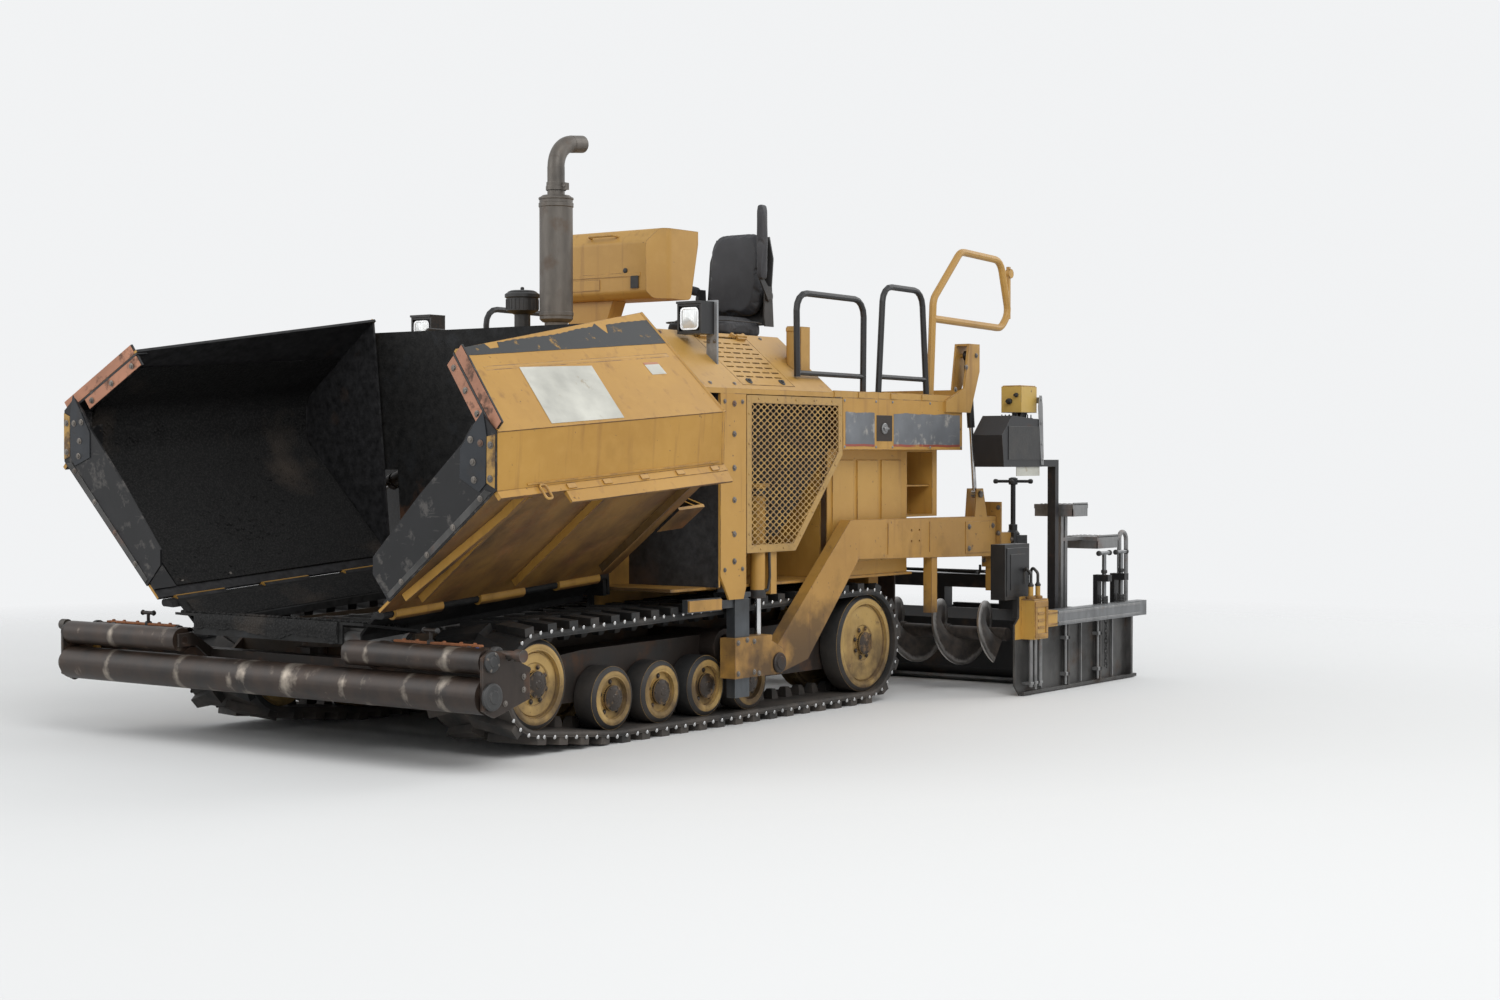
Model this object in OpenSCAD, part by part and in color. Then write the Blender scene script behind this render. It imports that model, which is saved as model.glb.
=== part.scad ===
// Asphalt paver on rubber tracks, with a folding hopper, push rollers, augers and an extending screed.
// X points forward to the hopper, Y to the machine's left, Z up from the ground. Millimetres.

/* [Track] */
// Width of a rubber belt
belt_w = 480; // [400:5:520]
// Outer edge of a belt, from the centre line
belt_out_y = 1077; // [1040:1:1082]
// Thickness of the belt under its lugs
belt_t = 28; // [20:1:32]
// Height of a lug
lug_h = 36; // [24:1:44]
// Distance between lugs along the belt
lug_pitch = 149; // [120:1:200]
// Length of a lug's foot along the belt
lug_foot = 84; // [50:1:100]
// Front idler radius over the lugs
idler_out_r = 270; // [240:1:280]
// Front idler centre, forward
idler_x = 2129; // [2050:1:2150]
// Front idler centre, above the ground
idler_z = 322; // [290:1:330]
// Drive wheel radius over the lugs
drive_out_r = 330; // [290:1:340]
// Drive wheel centre, forward
drive_x = -560; // [-620:1:-500]
// First road wheel centre, forward
road_x = 1590; // [1540:1:1620]
// Distance between road wheels
road_pitch = 362; // [340:1:380]
// Number of road wheels on one side
road_count = 4; // [3:1:4]
// Radius of a road wheel
road_r = 150; // [120:1:160]
// Width of one tyre of a road wheel
road_w = 120; // [90:1:140]
// Radius of an axle
axle_r = 34; // [25:1:45]

/* [Hopper] */
// Height of the wing hinge at its front end
hinge_z = 655; // [650:1:700]
// Distance of each wing hinge from the centre line
hinge_y = 722; // [715:1:740]
// Slope of the wing hinge, rising to the rear
hinge_slope = 4; // [2:0.5:5]
// Radius of the hinge pin
hinge_r = 14; // [10:1:16]
// Angle of the left wing above level, as it stands
wing_left_a = 36.6; // [12:0.1:54]
// Angle of the right wing above level, as it stands
wing_right_a = 46.5; // [12:0.1:54]
// Front edge of the wings
wing_x1 = 2800; // [2700:1:2810]
// Rear edge of the wings
wing_x0 = 1232; // [1222:1:1300]
// Width of a wing's floor
wing_floor = 925; // [820:1:940]
// Width of the outer facet
wing_facet = 250; // [200:1:260]
// Height of the upper plate at its front
wing_top = 480; // [400:1:500]
// Rise of the upper plate towards the rear
wing_rise = 190; // [100:1:200]
// Set back of the upper plate's front corner
wing_set = 130; // [80:1:160]
// Thickness of the wing plates
wing_t = 14; // [8:1:18]
// Depth of the flange along the outer edge of a wing's floor
flange_h = 94; // [60:1:100]
// Depth of the ribs under the wing
rib_h = 36; // [20:1:40]
// Top of the fixed wall behind the hopper
wall_z = 2000; // [1900:1:2030]

/* [Conveyor] */
// Width of one conveyor
conv_w = 500; // [420:1:510]
// Height of the conveyor floor
conv_z = 560; // [540:1:570]
// Radius of the conveyor's turn at each end
conv_r = 105; // [90:1:115]
// Distance between slats
slat_pitch = 170; // [140:1:240]
// Front shaft of the conveyors
conv_x1 = 2300; // [2250:1:2310]
// Rear shaft of the conveyors
conv_x0 = -960; // [-1000:1:-940]

/* [Tractor] */
// Outer face of the side panels, from the centre line
side_y = 1165; // [1160:1:1175]
// Height of the operator deck
deck_z = 1670; // [1640:1:1690]
// Rear edge of the operator deck
deck_x0 = -1400; // [-1430:1:-1350]
// Front edge of the deck and rear edge of the engine hood
hood_x0 = -90; // [-110:1:-60]
// Front edge of the slotted engine hood
hood_x1 = 700; // [680:1:760]
// Top of the engine hood
hood_z = 1985; // [1940:1:2000]
// Inner edge of the hood's slope, from the centre line
hood_y = 800; // [760:1:850]
// Thickness of sheet panels
sheet = 6; // [4:1:8]
// Thickness of frame plates
plate = 20; // [16:1:24]
// Rear face of the bolted front column
column_x0 = 690; // [680:1:720]
// Front face of the bolted front column
column_x1 = 902; // [880:1:920]
// Radius of the black guard rails
rail_r = 17; // [13:1:20]

/* [Exhaust and air] */
// Muffler radius
muffler_r = 86; // [75:1:95]
// Muffler place, forward
muffler_x = 940; // [900:1:960]
// Muffler place, sideways
muffler_y = 135; // [125:1:180]
// Top of the muffler
muffler_z = 2690; // [2600:1:2740]
// Tail pipe radius
pipe_r = 45; // [38:1:50]

/* [Push rollers] */
// Radius of the lower full width roller
low_r = 78; // [70:1:80]
// Radius of the two upper rollers
up_r = 55; // [45:1:58]
// Half the length of the roller assembly
roller_half = 1375; // [1300:1:1400]
// Centre of the lower roller, forward
roller_x = 2802; // [2790:1:2810]
// Centre of the lower roller, above the ground
roller_z = 345; // [320:1:360]
// Height of the upper rollers over the lower one
roller_rise = 146; // [140:1:160]
// Inner end of an upper roller
up_in_y = 560; // [500:1:620]
// Swing of the roller beam's pin
beam_pin_x = 2490; // [2480:1:2500]
// Radius of the steering guide's rod
guide_r = 19; // [14:1:22]

/* [Tow point and arms] */
// Tow pin centre, forward
pin_x = 430; // [420:1:440]
// Tow pin centre, above the ground
pin_z = 303; // [295:1:310]
// Radius of the tow pin
pin_r = 30; // [24:1:34]
// Inner face of a tow arm
arm_y0 = 1098; // [1098:1:1104]
// Thickness of a tow arm
arm_w = 66; // [50:1:66]
// Radius of the levelling cylinder's barrel
level_r = 38; // [32:1:40]

/* [Screed] */
// Half the width of the main screed
screed_half = 1525; // [1450:1:1530]
// Front face of the main screed
screed_x1 = -1950; // [-1960:1:-1930]
// Depth of the main screed, front to rear
screed_d = 400; // [360:1:410]
// Depth of an extension, front to rear
ext_d = 360; // [320:1:370]
// Inner end of an extension while it is in
ext_in_y = 520; // [400:1:600]
// Gap between the main screed's end and an end gate
gate_gap = 15; // [11:1:35]
// End gate front end
gate_x1 = -1330; // [-1360:1:-1320]
// End gate rear end
gate_x0 = -2790; // [-2820:1:-2770]
// Radius of an auger's flight
auger_r = 190; // [160:1:200]
// Height of the auger shaft
auger_z = 335; // [310:1:350]
// Auger shaft, forward
auger_x = -1480; // [-1500:1:-1460]

/* [Hidden] */
// Gap of a seated piece and radial clearance of a running fit
seat_gap = 0.3;
fit_gap = 0.05;
$fn = 48;

belt_in_y = belt_out_y - belt_w;
belt_mid_y = belt_out_y - belt_w / 2;
belt_all = belt_t + lug_h;
idler_r = idler_out_r - belt_all;
drive_r = drive_out_r - belt_all;
frame_y = belt_in_y - 12;
wing_len = wing_x1 - wing_x0;
wing_mid_x = (wing_x1 + wing_x0) / 2;
hinge_mid_z = hinge_z + wing_len / 2 * sin(hinge_slope);
roller_up_z = roller_z + roller_rise;
wall_x1 = wing_x0 - 20;
wall_x0 = wall_x1 - 16;
arm_y1 = arm_y0 + arm_w;
ext_x1 = screed_x1 - screed_d - 14;
ext_x0 = ext_x1 - ext_d;
gate_y = screed_half + gate_gap;
walk_y = screed_half - 25;
walk_x0 = screed_x1 - screed_d - 500;
walk_x1 = walk_x0 + 115;

yellow = [0.78, 0.56, 0.20];
dark = [0.14, 0.13, 0.13];
steel = [0.52, 0.52, 0.53];
rubber = [0.10, 0.10, 0.10];
rust = [0.42, 0.28, 0.20];

// A block between two corners
module block(a, b) {
    translate([min(a[0], b[0]), min(a[1], b[1]), min(a[2], b[2])])
        cube([abs(b[0] - a[0]), abs(b[1] - a[1]), abs(b[2] - a[2])]);
}

// The same form on the machine's left and right
module both() {
    children();
    mirror([0, 1, 0]) children();
}

module side(left) {
    if (left) children();
    else mirror([0, 1, 0]) children();
}

// A round bar along Y between two distances from the centre line
module bar_y(x, z, y0, y1, r) {
    translate([x, y0, z]) rotate([-90, 0, 0]) cylinder(r = r, h = y1 - y0);
}

// A plate in the XZ plane, from its outline, between two distances from the centre line
module side_plate(points, y0, y1) {
    translate([0, y1, 0]) rotate([90, 0, 0]) linear_extrude(y1 - y0) polygon(points);
}

// A plate in the YZ plane, from its outline, between two distances forward
module cross_plate(points, x0, x1) {
    translate([x0, 0, 0]) rotate([90, 0, 90]) linear_extrude(x1 - x0) polygon(points);
}

// Rounded polyline: each inner corner becomes an arc of the radius b
function corner(p, q, s, b, n) =
    let (u = (p - q) / norm(p - q), v = (s - q) / norm(s - q), half = acos(u * v) / 2)
    let (cut = min(b / tan(half), 0.48 * norm(p - q), 0.48 * norm(s - q)), r = cut * tan(half))
    let (mid = q + (u + v) / norm(u + v) * r / sin(half), t0 = q + u * cut - mid, t1 = q + v * cut - mid)
    [for (i = [0:n]) let (a = (180 - 2 * half) * i / n)
        mid + (t0 * sin(180 - 2 * half - a) + t1 * sin(a)) / sin(180 - 2 * half)];
function rounded(pts, b, n = 4) = concat([pts[0]],
    [for (i = [1:len(pts) - 2]) each corner(pts[i - 1], pts[i], pts[i + 1], b, n)], [pts[len(pts) - 1]]);

// Round pipe along a path that lies in a plane whose normal is side_v
module pipe(pts, r, side_v, sides = 10) {
    n = len(pts);
    function along(i) = let (d = pts[min(i + 1, n - 1)] - pts[max(i - 1, 0)]) d / norm(d);
    rings = [for (i = [0:n - 1]) let (t = along(i), v = cross(t, side_v))
        for (k = [0:sides - 1]) pts[i] + r * (side_v * cos(360 * k / sides) + v * sin(360 * k / sides))];
    faces = concat([[for (k = [0:sides - 1]) k]],
        [for (i = [0:n - 2]) for (k = [0:sides - 1])
            [i * sides + k, (i + 1) * sides + k, (i + 1) * sides + (k + 1) % sides, i * sides + (k + 1) % sides]],
        [[for (k = [sides - 1:-1:0]) (n - 1) * sides + k]]);
    polyhedron(rings, faces, convexity = 6);
}

// Belt path: the wheels that the belt wraps, anticlockwise seen from the right side: [x, z, radius over lugs]
belt_wheels = [[idler_x, idler_z, idler_out_r], [drive_x, drive_out_r, drive_out_r],
    [road_x, road_r + belt_all, road_r + belt_all]];
function wrap_angle(a, b) = let (dx = b[0] - a[0], dz = b[1] - a[1], d = norm([dx, dz]))
    atan2(dz, dx) - acos((a[2] - b[2]) / d);
function wheel(i) = belt_wheels[(i + 3) % 3];
function arc_from(i) = wrap_angle(wheel(i - 1), wheel(i));
function arc_to(i) = let (a0 = arc_from(i), a1 = wrap_angle(wheel(i), wheel(i + 1))) a1 < a0 ? a1 + 360 : a1;
// Outline of the belt, drawn in by a depth from the lug tips
function belt_outline(depth, n = 40) = [for (i = [0:2]) let (w = wheel(i), a0 = arc_from(i), a1 = arc_to(i))
    for (k = [0:n]) let (a = a0 + (a1 - a0) * k / n) [w[0] + (w[2] - depth) * cos(a), w[1] + (w[2] - depth) * sin(a)]];
// Pieces of the belt's path in order: an arc then a straight for each wheel, as [length, point, angle, radius]
function arc_len(i) = (arc_to(i) - arc_from(i)) * PI / 180 * (wheel(i)[2] - belt_all);
function tip(i, a) = [wheel(i)[0] + (wheel(i)[2] - lug_h) * cos(a), wheel(i)[1] + (wheel(i)[2] - lug_h) * sin(a)];
function run_len(i) = norm(tip(i + 1, arc_from(i + 1)) - tip(i, arc_to(i)));
lens = [for (i = [0:2]) [arc_len(i), run_len(i)]];
belt_len = lens[0][0] + lens[0][1] + lens[1][0] + lens[1][1] + lens[2][0] + lens[2][1];
lug_count = round(belt_len / lug_pitch);
// Place on the belt at a distance along it: [x, z, angle of the outward normal]
function place(s, i = 0) =
    s <= lens[i][0] ? let (a = arc_from(i) + (arc_to(i) - arc_from(i)) * s / lens[i][0]) concat(tip(i, a), [a]) :
    s <= lens[i][0] + lens[i][1] ?
        let (p = tip(i, arc_to(i)), q = tip(i + 1, arc_from(i + 1)), t = (s - lens[i][0]) / lens[i][1])
            concat(p + (q - p) * t, [arc_to(i)]) :
    place(s - lens[i][0] - lens[i][1], (i + 1) % 3);

module track_belt() {
    color(rubber) {
        difference() {
            side_plate(belt_outline(lug_h), belt_in_y, belt_out_y);
            side_plate(belt_outline(belt_all), belt_in_y - 1, belt_out_y + 1);
        }
        half = belt_w / 2 - 18;
        sweep = 70;
        for (k = [0:lug_count - 1], hand = [0, 1]) {
            p = place(belt_len * (k + 0.5 * hand) / lug_count);
            translate([p[0], belt_mid_y, p[1]]) rotate([0, 90 - p[2], 0]) translate([0, 0, -2]) mirror([0, hand, 0])
                linear_extrude(lug_h + 2) polygon([[-lug_foot / 2 - sweep / 2, 8], [lug_foot / 2 - sweep / 2, 8],
                    [lug_foot / 2 + sweep / 2 - 12, half + 14], [-lug_foot / 2 + sweep / 2 + 12, half + 14]]);
        }
    }
}

module wheel_disc(x, z, y0, y1, r, hub_r) {
    difference() {
        union() {
            bar_y(x, z, y0 + 12, y1 - 12, r);
            bar_y(x, z, y0, y1, r - 22);
        }
        bar_y(x, z, y0 - 1, y1 + 1, axle_r + fit_gap);
        for (s = [0, 1])
            difference() {
                bar_y(x, z, s == 0 ? y0 - 1 : y1 - 24, s == 0 ? y0 + 24 : y1 + 1, r - 52);
                bar_y(x, z, y0 - 1, y1 + 1, hub_r);
            }
    }
}

road_places = [for (k = [0:road_count - 1]) [road_x - k * road_pitch, road_r + belt_all + seat_gap, road_r]];
wheel_places = concat(road_places, [[idler_x, idler_z, idler_r - seat_gap], [drive_x, drive_out_r, drive_r - seat_gap]]);
out_wheel_y = belt_out_y - 22;
in_wheel_y = belt_in_y + 22;

module track_wheels() {
    color([0.62, 0.46, 0.20])
        for (p = wheel_places) {
            wheel_disc(p[0], p[1], out_wheel_y - road_w, out_wheel_y, p[2], 62);
            wheel_disc(p[0], p[1], in_wheel_y, in_wheel_y + road_w, p[2], 62);
        }
}

pivot_x = 685;
// Frame inside one track: a long beam between the wheels, its axles and the arms that join it to the tractor
module track_frame() {
    beam0 = in_wheel_y + road_w + 8;
    beam1 = out_wheel_y - road_w - 8;
    color(rust) {
        side_plate([[drive_x - 110, 200], [idler_x + 20, 200], [idler_x + 90, 270], [idler_x + 90, 390], [road_x + 80, 440],
            [drive_x + 250, 470], [drive_x - 110, 430]], beam0, beam1);
        for (p = wheel_places) bar_y(p[0], p[1], in_wheel_y - 4, out_wheel_y + 6, axle_r);
        // pivot tube of the frame and its boss
        difference() {
            bar_y(pivot_x, 395, frame_y + seat_gap, out_wheel_y - 30, 88);
            bar_y(pivot_x, 395, out_wheel_y - 60, out_wheel_y + 1, 60);
        }
        bar_y(drive_x, drive_out_r, frame_y + seat_gap, in_wheel_y - seat_gap, 120);
    }
}

// Floor plate, facet and upper plate of a wing as one outline across it, in the wing's own frame:
// the hinge is the origin, the floor runs along +Y
facet_a = 49;
top_a = 98;
facet_end = [wing_floor + wing_facet * cos(facet_a), wing_facet * sin(facet_a)];
function top_point(h) = facet_end + h * [cos(top_a), sin(top_a)];
function inward(a, d) = d * [-sin(a), cos(a)];
knuckle_r = hinge_r + 15;

// Puts a wing's own frame at its hinge, raised by an angle
module at_hinge(a) {
    translate([wing_mid_x, hinge_y, hinge_mid_z]) rotate([0, hinge_slope, 0]) rotate([a, 0, 0]) children();
}

// A sheet whose outline is drawn along the wing and across one of its plates
module wing_sheet(origin, a, points, t) {
    translate([0, origin[0], origin[1]]) rotate([a, 0, 0]) linear_extrude(t) polygon(points);
}

module hopper_wing() {
    half = wing_len / 2;
    floor_in = knuckle_r - 6;
    color(yellow) {
        difference() {
            union() {
                // floor and facet, folded from one plate
                translate([-half, 0, 0]) rotate([90, 0, 90]) linear_extrude(wing_len)
                    polygon([[floor_in, 0], [wing_floor, 0], facet_end, facet_end + inward(facet_a, wing_t),
                        [wing_floor - wing_t * tan(facet_a / 2), wing_t], [floor_in, wing_t]]);
                for (x = [-half + 90, -150, half - 390])
                    translate([x, 0, 0]) rotate([0, 90, 0]) cylinder(r = knuckle_r, h = 300);
            }
            translate([-half - 1, 0, 0]) rotate([0, 90, 0]) cylinder(r = hinge_r + fit_gap, h = wing_len + 2);
        }
        wing_sheet(facet_end, top_a, [[-half, -5], [half, -5], [half - wing_set, wing_top],
            [-half, wing_top + wing_rise]], wing_t);
        // rear end plate closes the wing
        translate([-half, 0, 0]) rotate([90, 0, 90]) linear_extrude(wing_t)
            polygon([[60, 5], [wing_floor - 4, 5], facet_end + inward(facet_a, 7) - [0, 5],
                top_point(wing_top + wing_rise - 10) + inward(top_a, 7)]);
        // ribs and edge flanges below the floor
        translate([-half, wing_floor - 22, -rib_h]) cube([wing_len, 20, rib_h + 2]);
        translate([-half + 1, 0, 0]) rotate([90, 0, 90]) linear_extrude(half + 370)
            polygon([[wing_floor - 21, 0], [wing_floor - 20, -flange_h], [wing_floor - 8, -flange_h], [wing_floor - 3, -5]]);
        for (x = [-half + 160, 0, half - 180])
            translate([x, 120, -rib_h]) cube([18, wing_floor - 130, rib_h + 2]);
        translate([0, 0, -rib_h]) linear_extrude(rib_h + 2)
            polygon([[half - 60, 160], [half - 30, 160], [half - 190, wing_floor - 30], [half - 220, wing_floor - 30]]);
        // bracket and ears for the folding cylinder, behind the end plate
        translate([cyl_x - 40, eye_at[0] - 90, -14]) cube([-wing_len / 2 + 4 - cyl_x + 40, 180, 16]);
        for (x = [cyl_x - 40, cyl_x + 22])
            translate([x, 0, 0]) rotate([90, 0, 90]) linear_extrude(18)
                polygon([[eye_at[0] - 90, 0], [eye_at[0] + 90, 0], [eye_at[0] + 34, eye_at[1] + 24],
                    [eye_at[0] - 34, eye_at[1] + 24]]);
    }
}

// Wear strips and corner plates on the inner side of a wing's front edge, the lip plate that closes the corner
// in front of them, and the strips that stand along the slanted edge of the upper plate, inside and outside
lip_t = 10;
lip_h = 112;
module wing_edging() {
    half = wing_len / 2;
    t = 10;
    function edge(v) = half - 12 - wing_set * v / wing_top;
    function rim(v) = half - 12 - wing_set * (v + 5) / (wing_top + 5);
    color([0.25, 0.24, 0.24]) {
        translate([half + seat_gap, 0, 0]) rotate([90, 0, 90]) linear_extrude(lip_t)
            polygon([[110, 1], [wing_floor - 1, 1], facet_end + [-2, 1], top_point(lip_h - 14) + inward(top_a, 1),
                top_point(lip_h) + inward(top_a, 80), [wing_floor - 20, 264], [560, 246], [160, 205], [110, 150]]);
        wing_sheet(facet_end + inward(top_a, wing_t + t + 2 * seat_gap), top_a, [[edge(lip_h + 4), lip_h + 4],
            [edge(lip_h + 4) + lip_t, lip_h + 4], [edge(wing_top - 10) + lip_t, wing_top - 10],
            [edge(wing_top - 10), wing_top - 10]], 58);
        wing_sheet(facet_end + inward(top_a, -40), top_a, [[rim(10), 10], [rim(10) + lip_t, 10],
            [rim(wing_top - 12) + lip_t, wing_top - 12], [rim(wing_top - 12), wing_top - 12]], 40 - seat_gap);
        translate([0, 0, wing_t])
            wing_sheet([0, 0], 0, [[half - 130, 70], [half, 70], [half, wing_floor - 20], [half - 130, wing_floor - 20]], t);
        translate([0, 0, 0])
            wing_sheet([wing_floor, 0] + wing_t * [-sin(facet_a), cos(facet_a)], facet_a,
                [[half - 200, 12], [half, 12], [half, wing_facet - 14], [half - 200, wing_facet - 14]], t);
        wing_sheet(facet_end + (wing_t + seat_gap) * [-sin(top_a), cos(top_a)], top_a,
            [[half - 66, 14], [half - 2, 14], [half - wing_set + 4, wing_top - 4], [half - wing_set - 60, wing_top - 4]], t);
    }
}

// Folding cylinder of a wing, seen in the wing's frame: base pin on the bulkhead, rod eye between the wing's ears
base_at = [-242, 600];
eye_at = [480, 56];
cyl_x = -wing_len / 2 - 158;
barrel_len = 440;
rod_len = 440;
function eye_of(a) = [eye_at[0] * cos(a) - eye_at[1] * sin(a), eye_at[0] * sin(a) + eye_at[1] * cos(a)];
function reach_of(a) = norm(eye_of(a) - base_at);
module at_base() {
    translate([wing_mid_x, hinge_y, hinge_mid_z]) rotate([0, hinge_slope, 0])
        translate([cyl_x, base_at[0], base_at[1]]) children();
}
module along_cylinder(a) {
    d = eye_of(a) - base_at;
    at_base() rotate([atan2(d[1], d[0]), 0, 0]) children();
}
module wing_barrel(a) {
    color(yellow) along_cylinder(a) difference() {
        union() {
            rotate([-90, 0, 0]) translate([0, 0, 20]) cylinder(r = 16, h = 40);
            rotate([-90, 0, 0]) translate([0, 0, 46]) cylinder(r = 38, h = barrel_len - 46);
            rotate([-90, 0, 0]) translate([0, 0, barrel_len - 26]) cylinder(r = 43, h = 26);
            translate([-17, 0, 0]) rotate([0, 90, 0]) cylinder(r = 36, h = 34);
        }
        rotate([-90, 0, 0]) translate([0, 0, 60]) cylinder(r = 20 + fit_gap, h = barrel_len);
        translate([-20, 0, 0]) rotate([0, 90, 0]) cylinder(r = 16 + fit_gap, h = 40);
    }
}
module wing_rod(a) {
    color(steel) along_cylinder(a) {
        rotate([-90, 0, 0]) translate([0, 0, reach_of(a) - rod_len]) cylinder(r = 20, h = rod_len - 20);
        translate([-15, reach_of(a), 0]) rotate([0, 90, 0]) cylinder(r = 30, h = 30);
    }
}

bulk_x = 1046;
frame_x0 = -1010;
frame_x1 = wall_x0 - 14;
frame_front = conv_x1 + 125;
post_y = frame_y + 260;
tie_r = 22;
tie_front = [frame_front + 31, 370];
tie_rear = [frame_x0 - 46, 450];
module main_frame() {
    in_y = frame_y - plate - seat_gap;
    color(yellow) {
        both() {
            // side plate, with a tie-down hole in its front corner
            difference() {
                side_plate([[frame_x0, 240], [frame_front - 45, 240], [frame_front + 15, 262], [frame_front + 69, 330],
                    [frame_front + 69, 420], [frame_front, 480], [frame_front, 545], [frame_x1, 590], [frame_x1, 915],
                    [bulk_x, 915], [bulk_x, deck_z - 10], [frame_x0, deck_z - 10]], frame_y - plate, frame_y);
                bar_y(tie_front[0], tie_front[1], frame_y - plate - 1, frame_y + 1, tie_r);
            }
            // shelf over the track
            block([frame_x0, frame_y + seat_gap, 690], [frame_x1, belt_out_y - 6, 704]);
            // rear corner post beside the auger, with a tie-down lug at its outer end
            block([frame_x0, frame_y + seat_gap, 260], [frame_x0 + 98, post_y, 690 - seat_gap]);
            difference() {
                side_plate([[frame_x0 + 1, 380], [frame_x0 + 1, 520], [frame_x0 - 60, 506], [frame_x0 - 90, 470],
                    [frame_x0 - 90, 430], [frame_x0 - 60, 394]], post_y - 16, post_y);
                bar_y(tie_rear[0], tie_rear[1], post_y - 17, post_y + 1, tie_r);
            }
        }
        block([-900, -in_y, 240], [900, in_y, 252]);
        block([-900, -in_y, 900], [frame_x1, in_y, 915]);
        block([frame_x0, -in_y, 900], [frame_x0 + 20, in_y, deck_z - 10]);
        block([frame_front - 20, -in_y, 250], [frame_front, in_y, 480]);
        // fork and swing pin of the roller beam
        for (z = [290, 468])
            translate([0, 0, z]) linear_extrude(22) polygon([[frame_front - 1, -160], [beam_pin_x + 26, -50],
                [beam_pin_x + 44, 0], [beam_pin_x + 26, 50], [frame_front - 1, 160]]);
        translate([beam_pin_x, 0, 286]) cylinder(r = 30, h = 208);
        // bulkhead with the base pins of the folding cylinders
        block([bulk_x - 16, -in_y, 915 + seat_gap], [bulk_x, in_y, deck_z - 10]);
        both() at_base() {
            translate([-38, 0, 0]) rotate([0, 90, 0]) cylinder(r = 16, h = 76);
            for (x = [-40, 22]) translate([x, 0, 0]) rotate([90, 0, 90]) linear_extrude(18)
                polygon([[-100, -60], [-100, 60], [24, 30], [34, 0], [24, -30]]);
            translate([-100, -100, -60]) cube([140, 30, 120]);
        }
    }
}

// Conveyor floor, side slopes with the wings' hinge pins, apron and the wall behind the hopper
module hopper_floor() {
    half = wing_len / 2;
    inner_y = frame_y - plate;
    lugs = [[-half + 24, 60], [-half + 395, 234], [155, 234], [half - 85, 60]];
    color(dark) {
        block([conv_x0 + 110, -inner_y + seat_gap, conv_z - 45], [conv_x1 - 90, inner_y - seat_gap, conv_z - 33]);
        both() at_hinge(0) {
            translate([-half, 0, 0]) rotate([90, 0, 90]) linear_extrude(wing_len - 62)
                polygon([[-62, 8], [-36, 14], [-36, 4], [-60, -6], [-164, -100], [-164, -128], [-174, -128], [-174, -94]]);
            for (l = lugs) translate([l[0], 0, 0]) rotate([0, 90, 0]) cylinder(r = 18, h = l[1]);
            for (l = lugs) translate([l[0], 0, 0]) rotate([90, 0, 90]) linear_extrude(l[1])
                polygon([[-64, -20], [4, -17], [-4, 17], [-50, 6]]);
            translate([-half + 24, 0, 0]) rotate([0, 90, 0]) cylinder(r = hinge_r, h = wing_len - 49);
            translate([-half - 20, -180, -100]) cube([24, 150, 110]);
        }
        // apron in front of the conveyors, with its lip
        side_plate([[2452, 560], [2786, 606], [2786, 618], [2452, 572]], -hinge_y + 96, hinge_y - 96);
        side_plate([[2774, 520], [2786, 520], [2786, 612], [2774, 612]], -495, 495);
        both() block([2436, 300, 556], [2458, hinge_y - 96, 572]);
        // wall behind the hopper leans forward with the wings; its doorway lets the conveyors and the wings' ears through
        leaning_wall() difference() {
            polygon([[-hinge_y + 22, lean(592)], [hinge_y - 22, lean(592)], [hinge_y - 22, lean(1280)], [side_y, lean(1280)],
                [side_y, lean(deck_z)], [hood_y + 30, lean(wall_z)], [-hood_y - 30, lean(wall_z)], [-side_y, lean(deck_z)],
                [-side_y, lean(1280)], [-hinge_y + 22, lean(1280)]]);
            translate([-inner_y - 1, lean(580)]) square([2 * inner_y + 2, 325]);
            for (s = [-1, 1]) translate([s * (hinge_y - 60), lean(570)]) square([130, 200], center = true);
        }
        // gates that set how much material passes
        for (s = [-1, 1])
            leaning_wall(15) translate([s * 270 - 240, lean(780)]) square([480, 400]);
    }
}
// The plane of the wall behind the hopper: heights are measured up along it
function lean(z) = (z - hinge_mid_z - (wing_len / 2 + 28) * sin(hinge_slope)) / cos(hinge_slope);
module leaning_wall(out = 0) {
    translate([wing_mid_x, 0, hinge_mid_z]) rotate([0, hinge_slope, 0])
        translate([-wing_len / 2 - 36 + out, 0, 0]) rotate([90, 0, 90]) linear_extrude(out > 0 ? 12 : 16) children();
}

module conveyor_loop() {
    z0 = conv_z - conv_r;
    steps = round((conv_x1 - conv_x0) / slat_pitch);
    pitch = (conv_x1 - conv_x0) / steps;
    for (y = [24, conv_w - 44]) {
        difference() {
            union() {
                block([conv_x0, y, z0 - conv_r], [conv_x1, y + 20, z0 + conv_r - 4]);
                for (x = [conv_x0, conv_x1]) bar_y(x, z0, y, y + 20, conv_r - 4);
            }
            block([conv_x0, y - 1, z0 - conv_r + 26], [conv_x1, y + 21, z0 + conv_r - 28]);
            for (x = [conv_x0, conv_x1]) bar_y(x, z0, y - 1, y + 21, conv_r - 28);
        }
    }
    for (k = [0:steps], s = [0, 1])
        translate([conv_x0 + k * pitch - 14, 15, s == 0 ? z0 + conv_r - 28 : z0 - conv_r - 2]) cube([28, conv_w - 15, 26]);
    for (x = [conv_x0, conv_x1]) bar_y(x, z0, 15, conv_w, conv_r - 28.5);
}
module conveyors() {
    color([0.2, 0.18, 0.17]) both() conveyor_loop();
    color([0.2, 0.18, 0.17]) for (x = [conv_x0, conv_x1])
        bar_y(x, conv_z - conv_r, -frame_y + plate + seat_gap, frame_y - plate - seat_gap, 34);
}

module engine_block() {
    color(dark) block([120, -330, 915 + seat_gap], [930, 330, 1560]);
}

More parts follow.
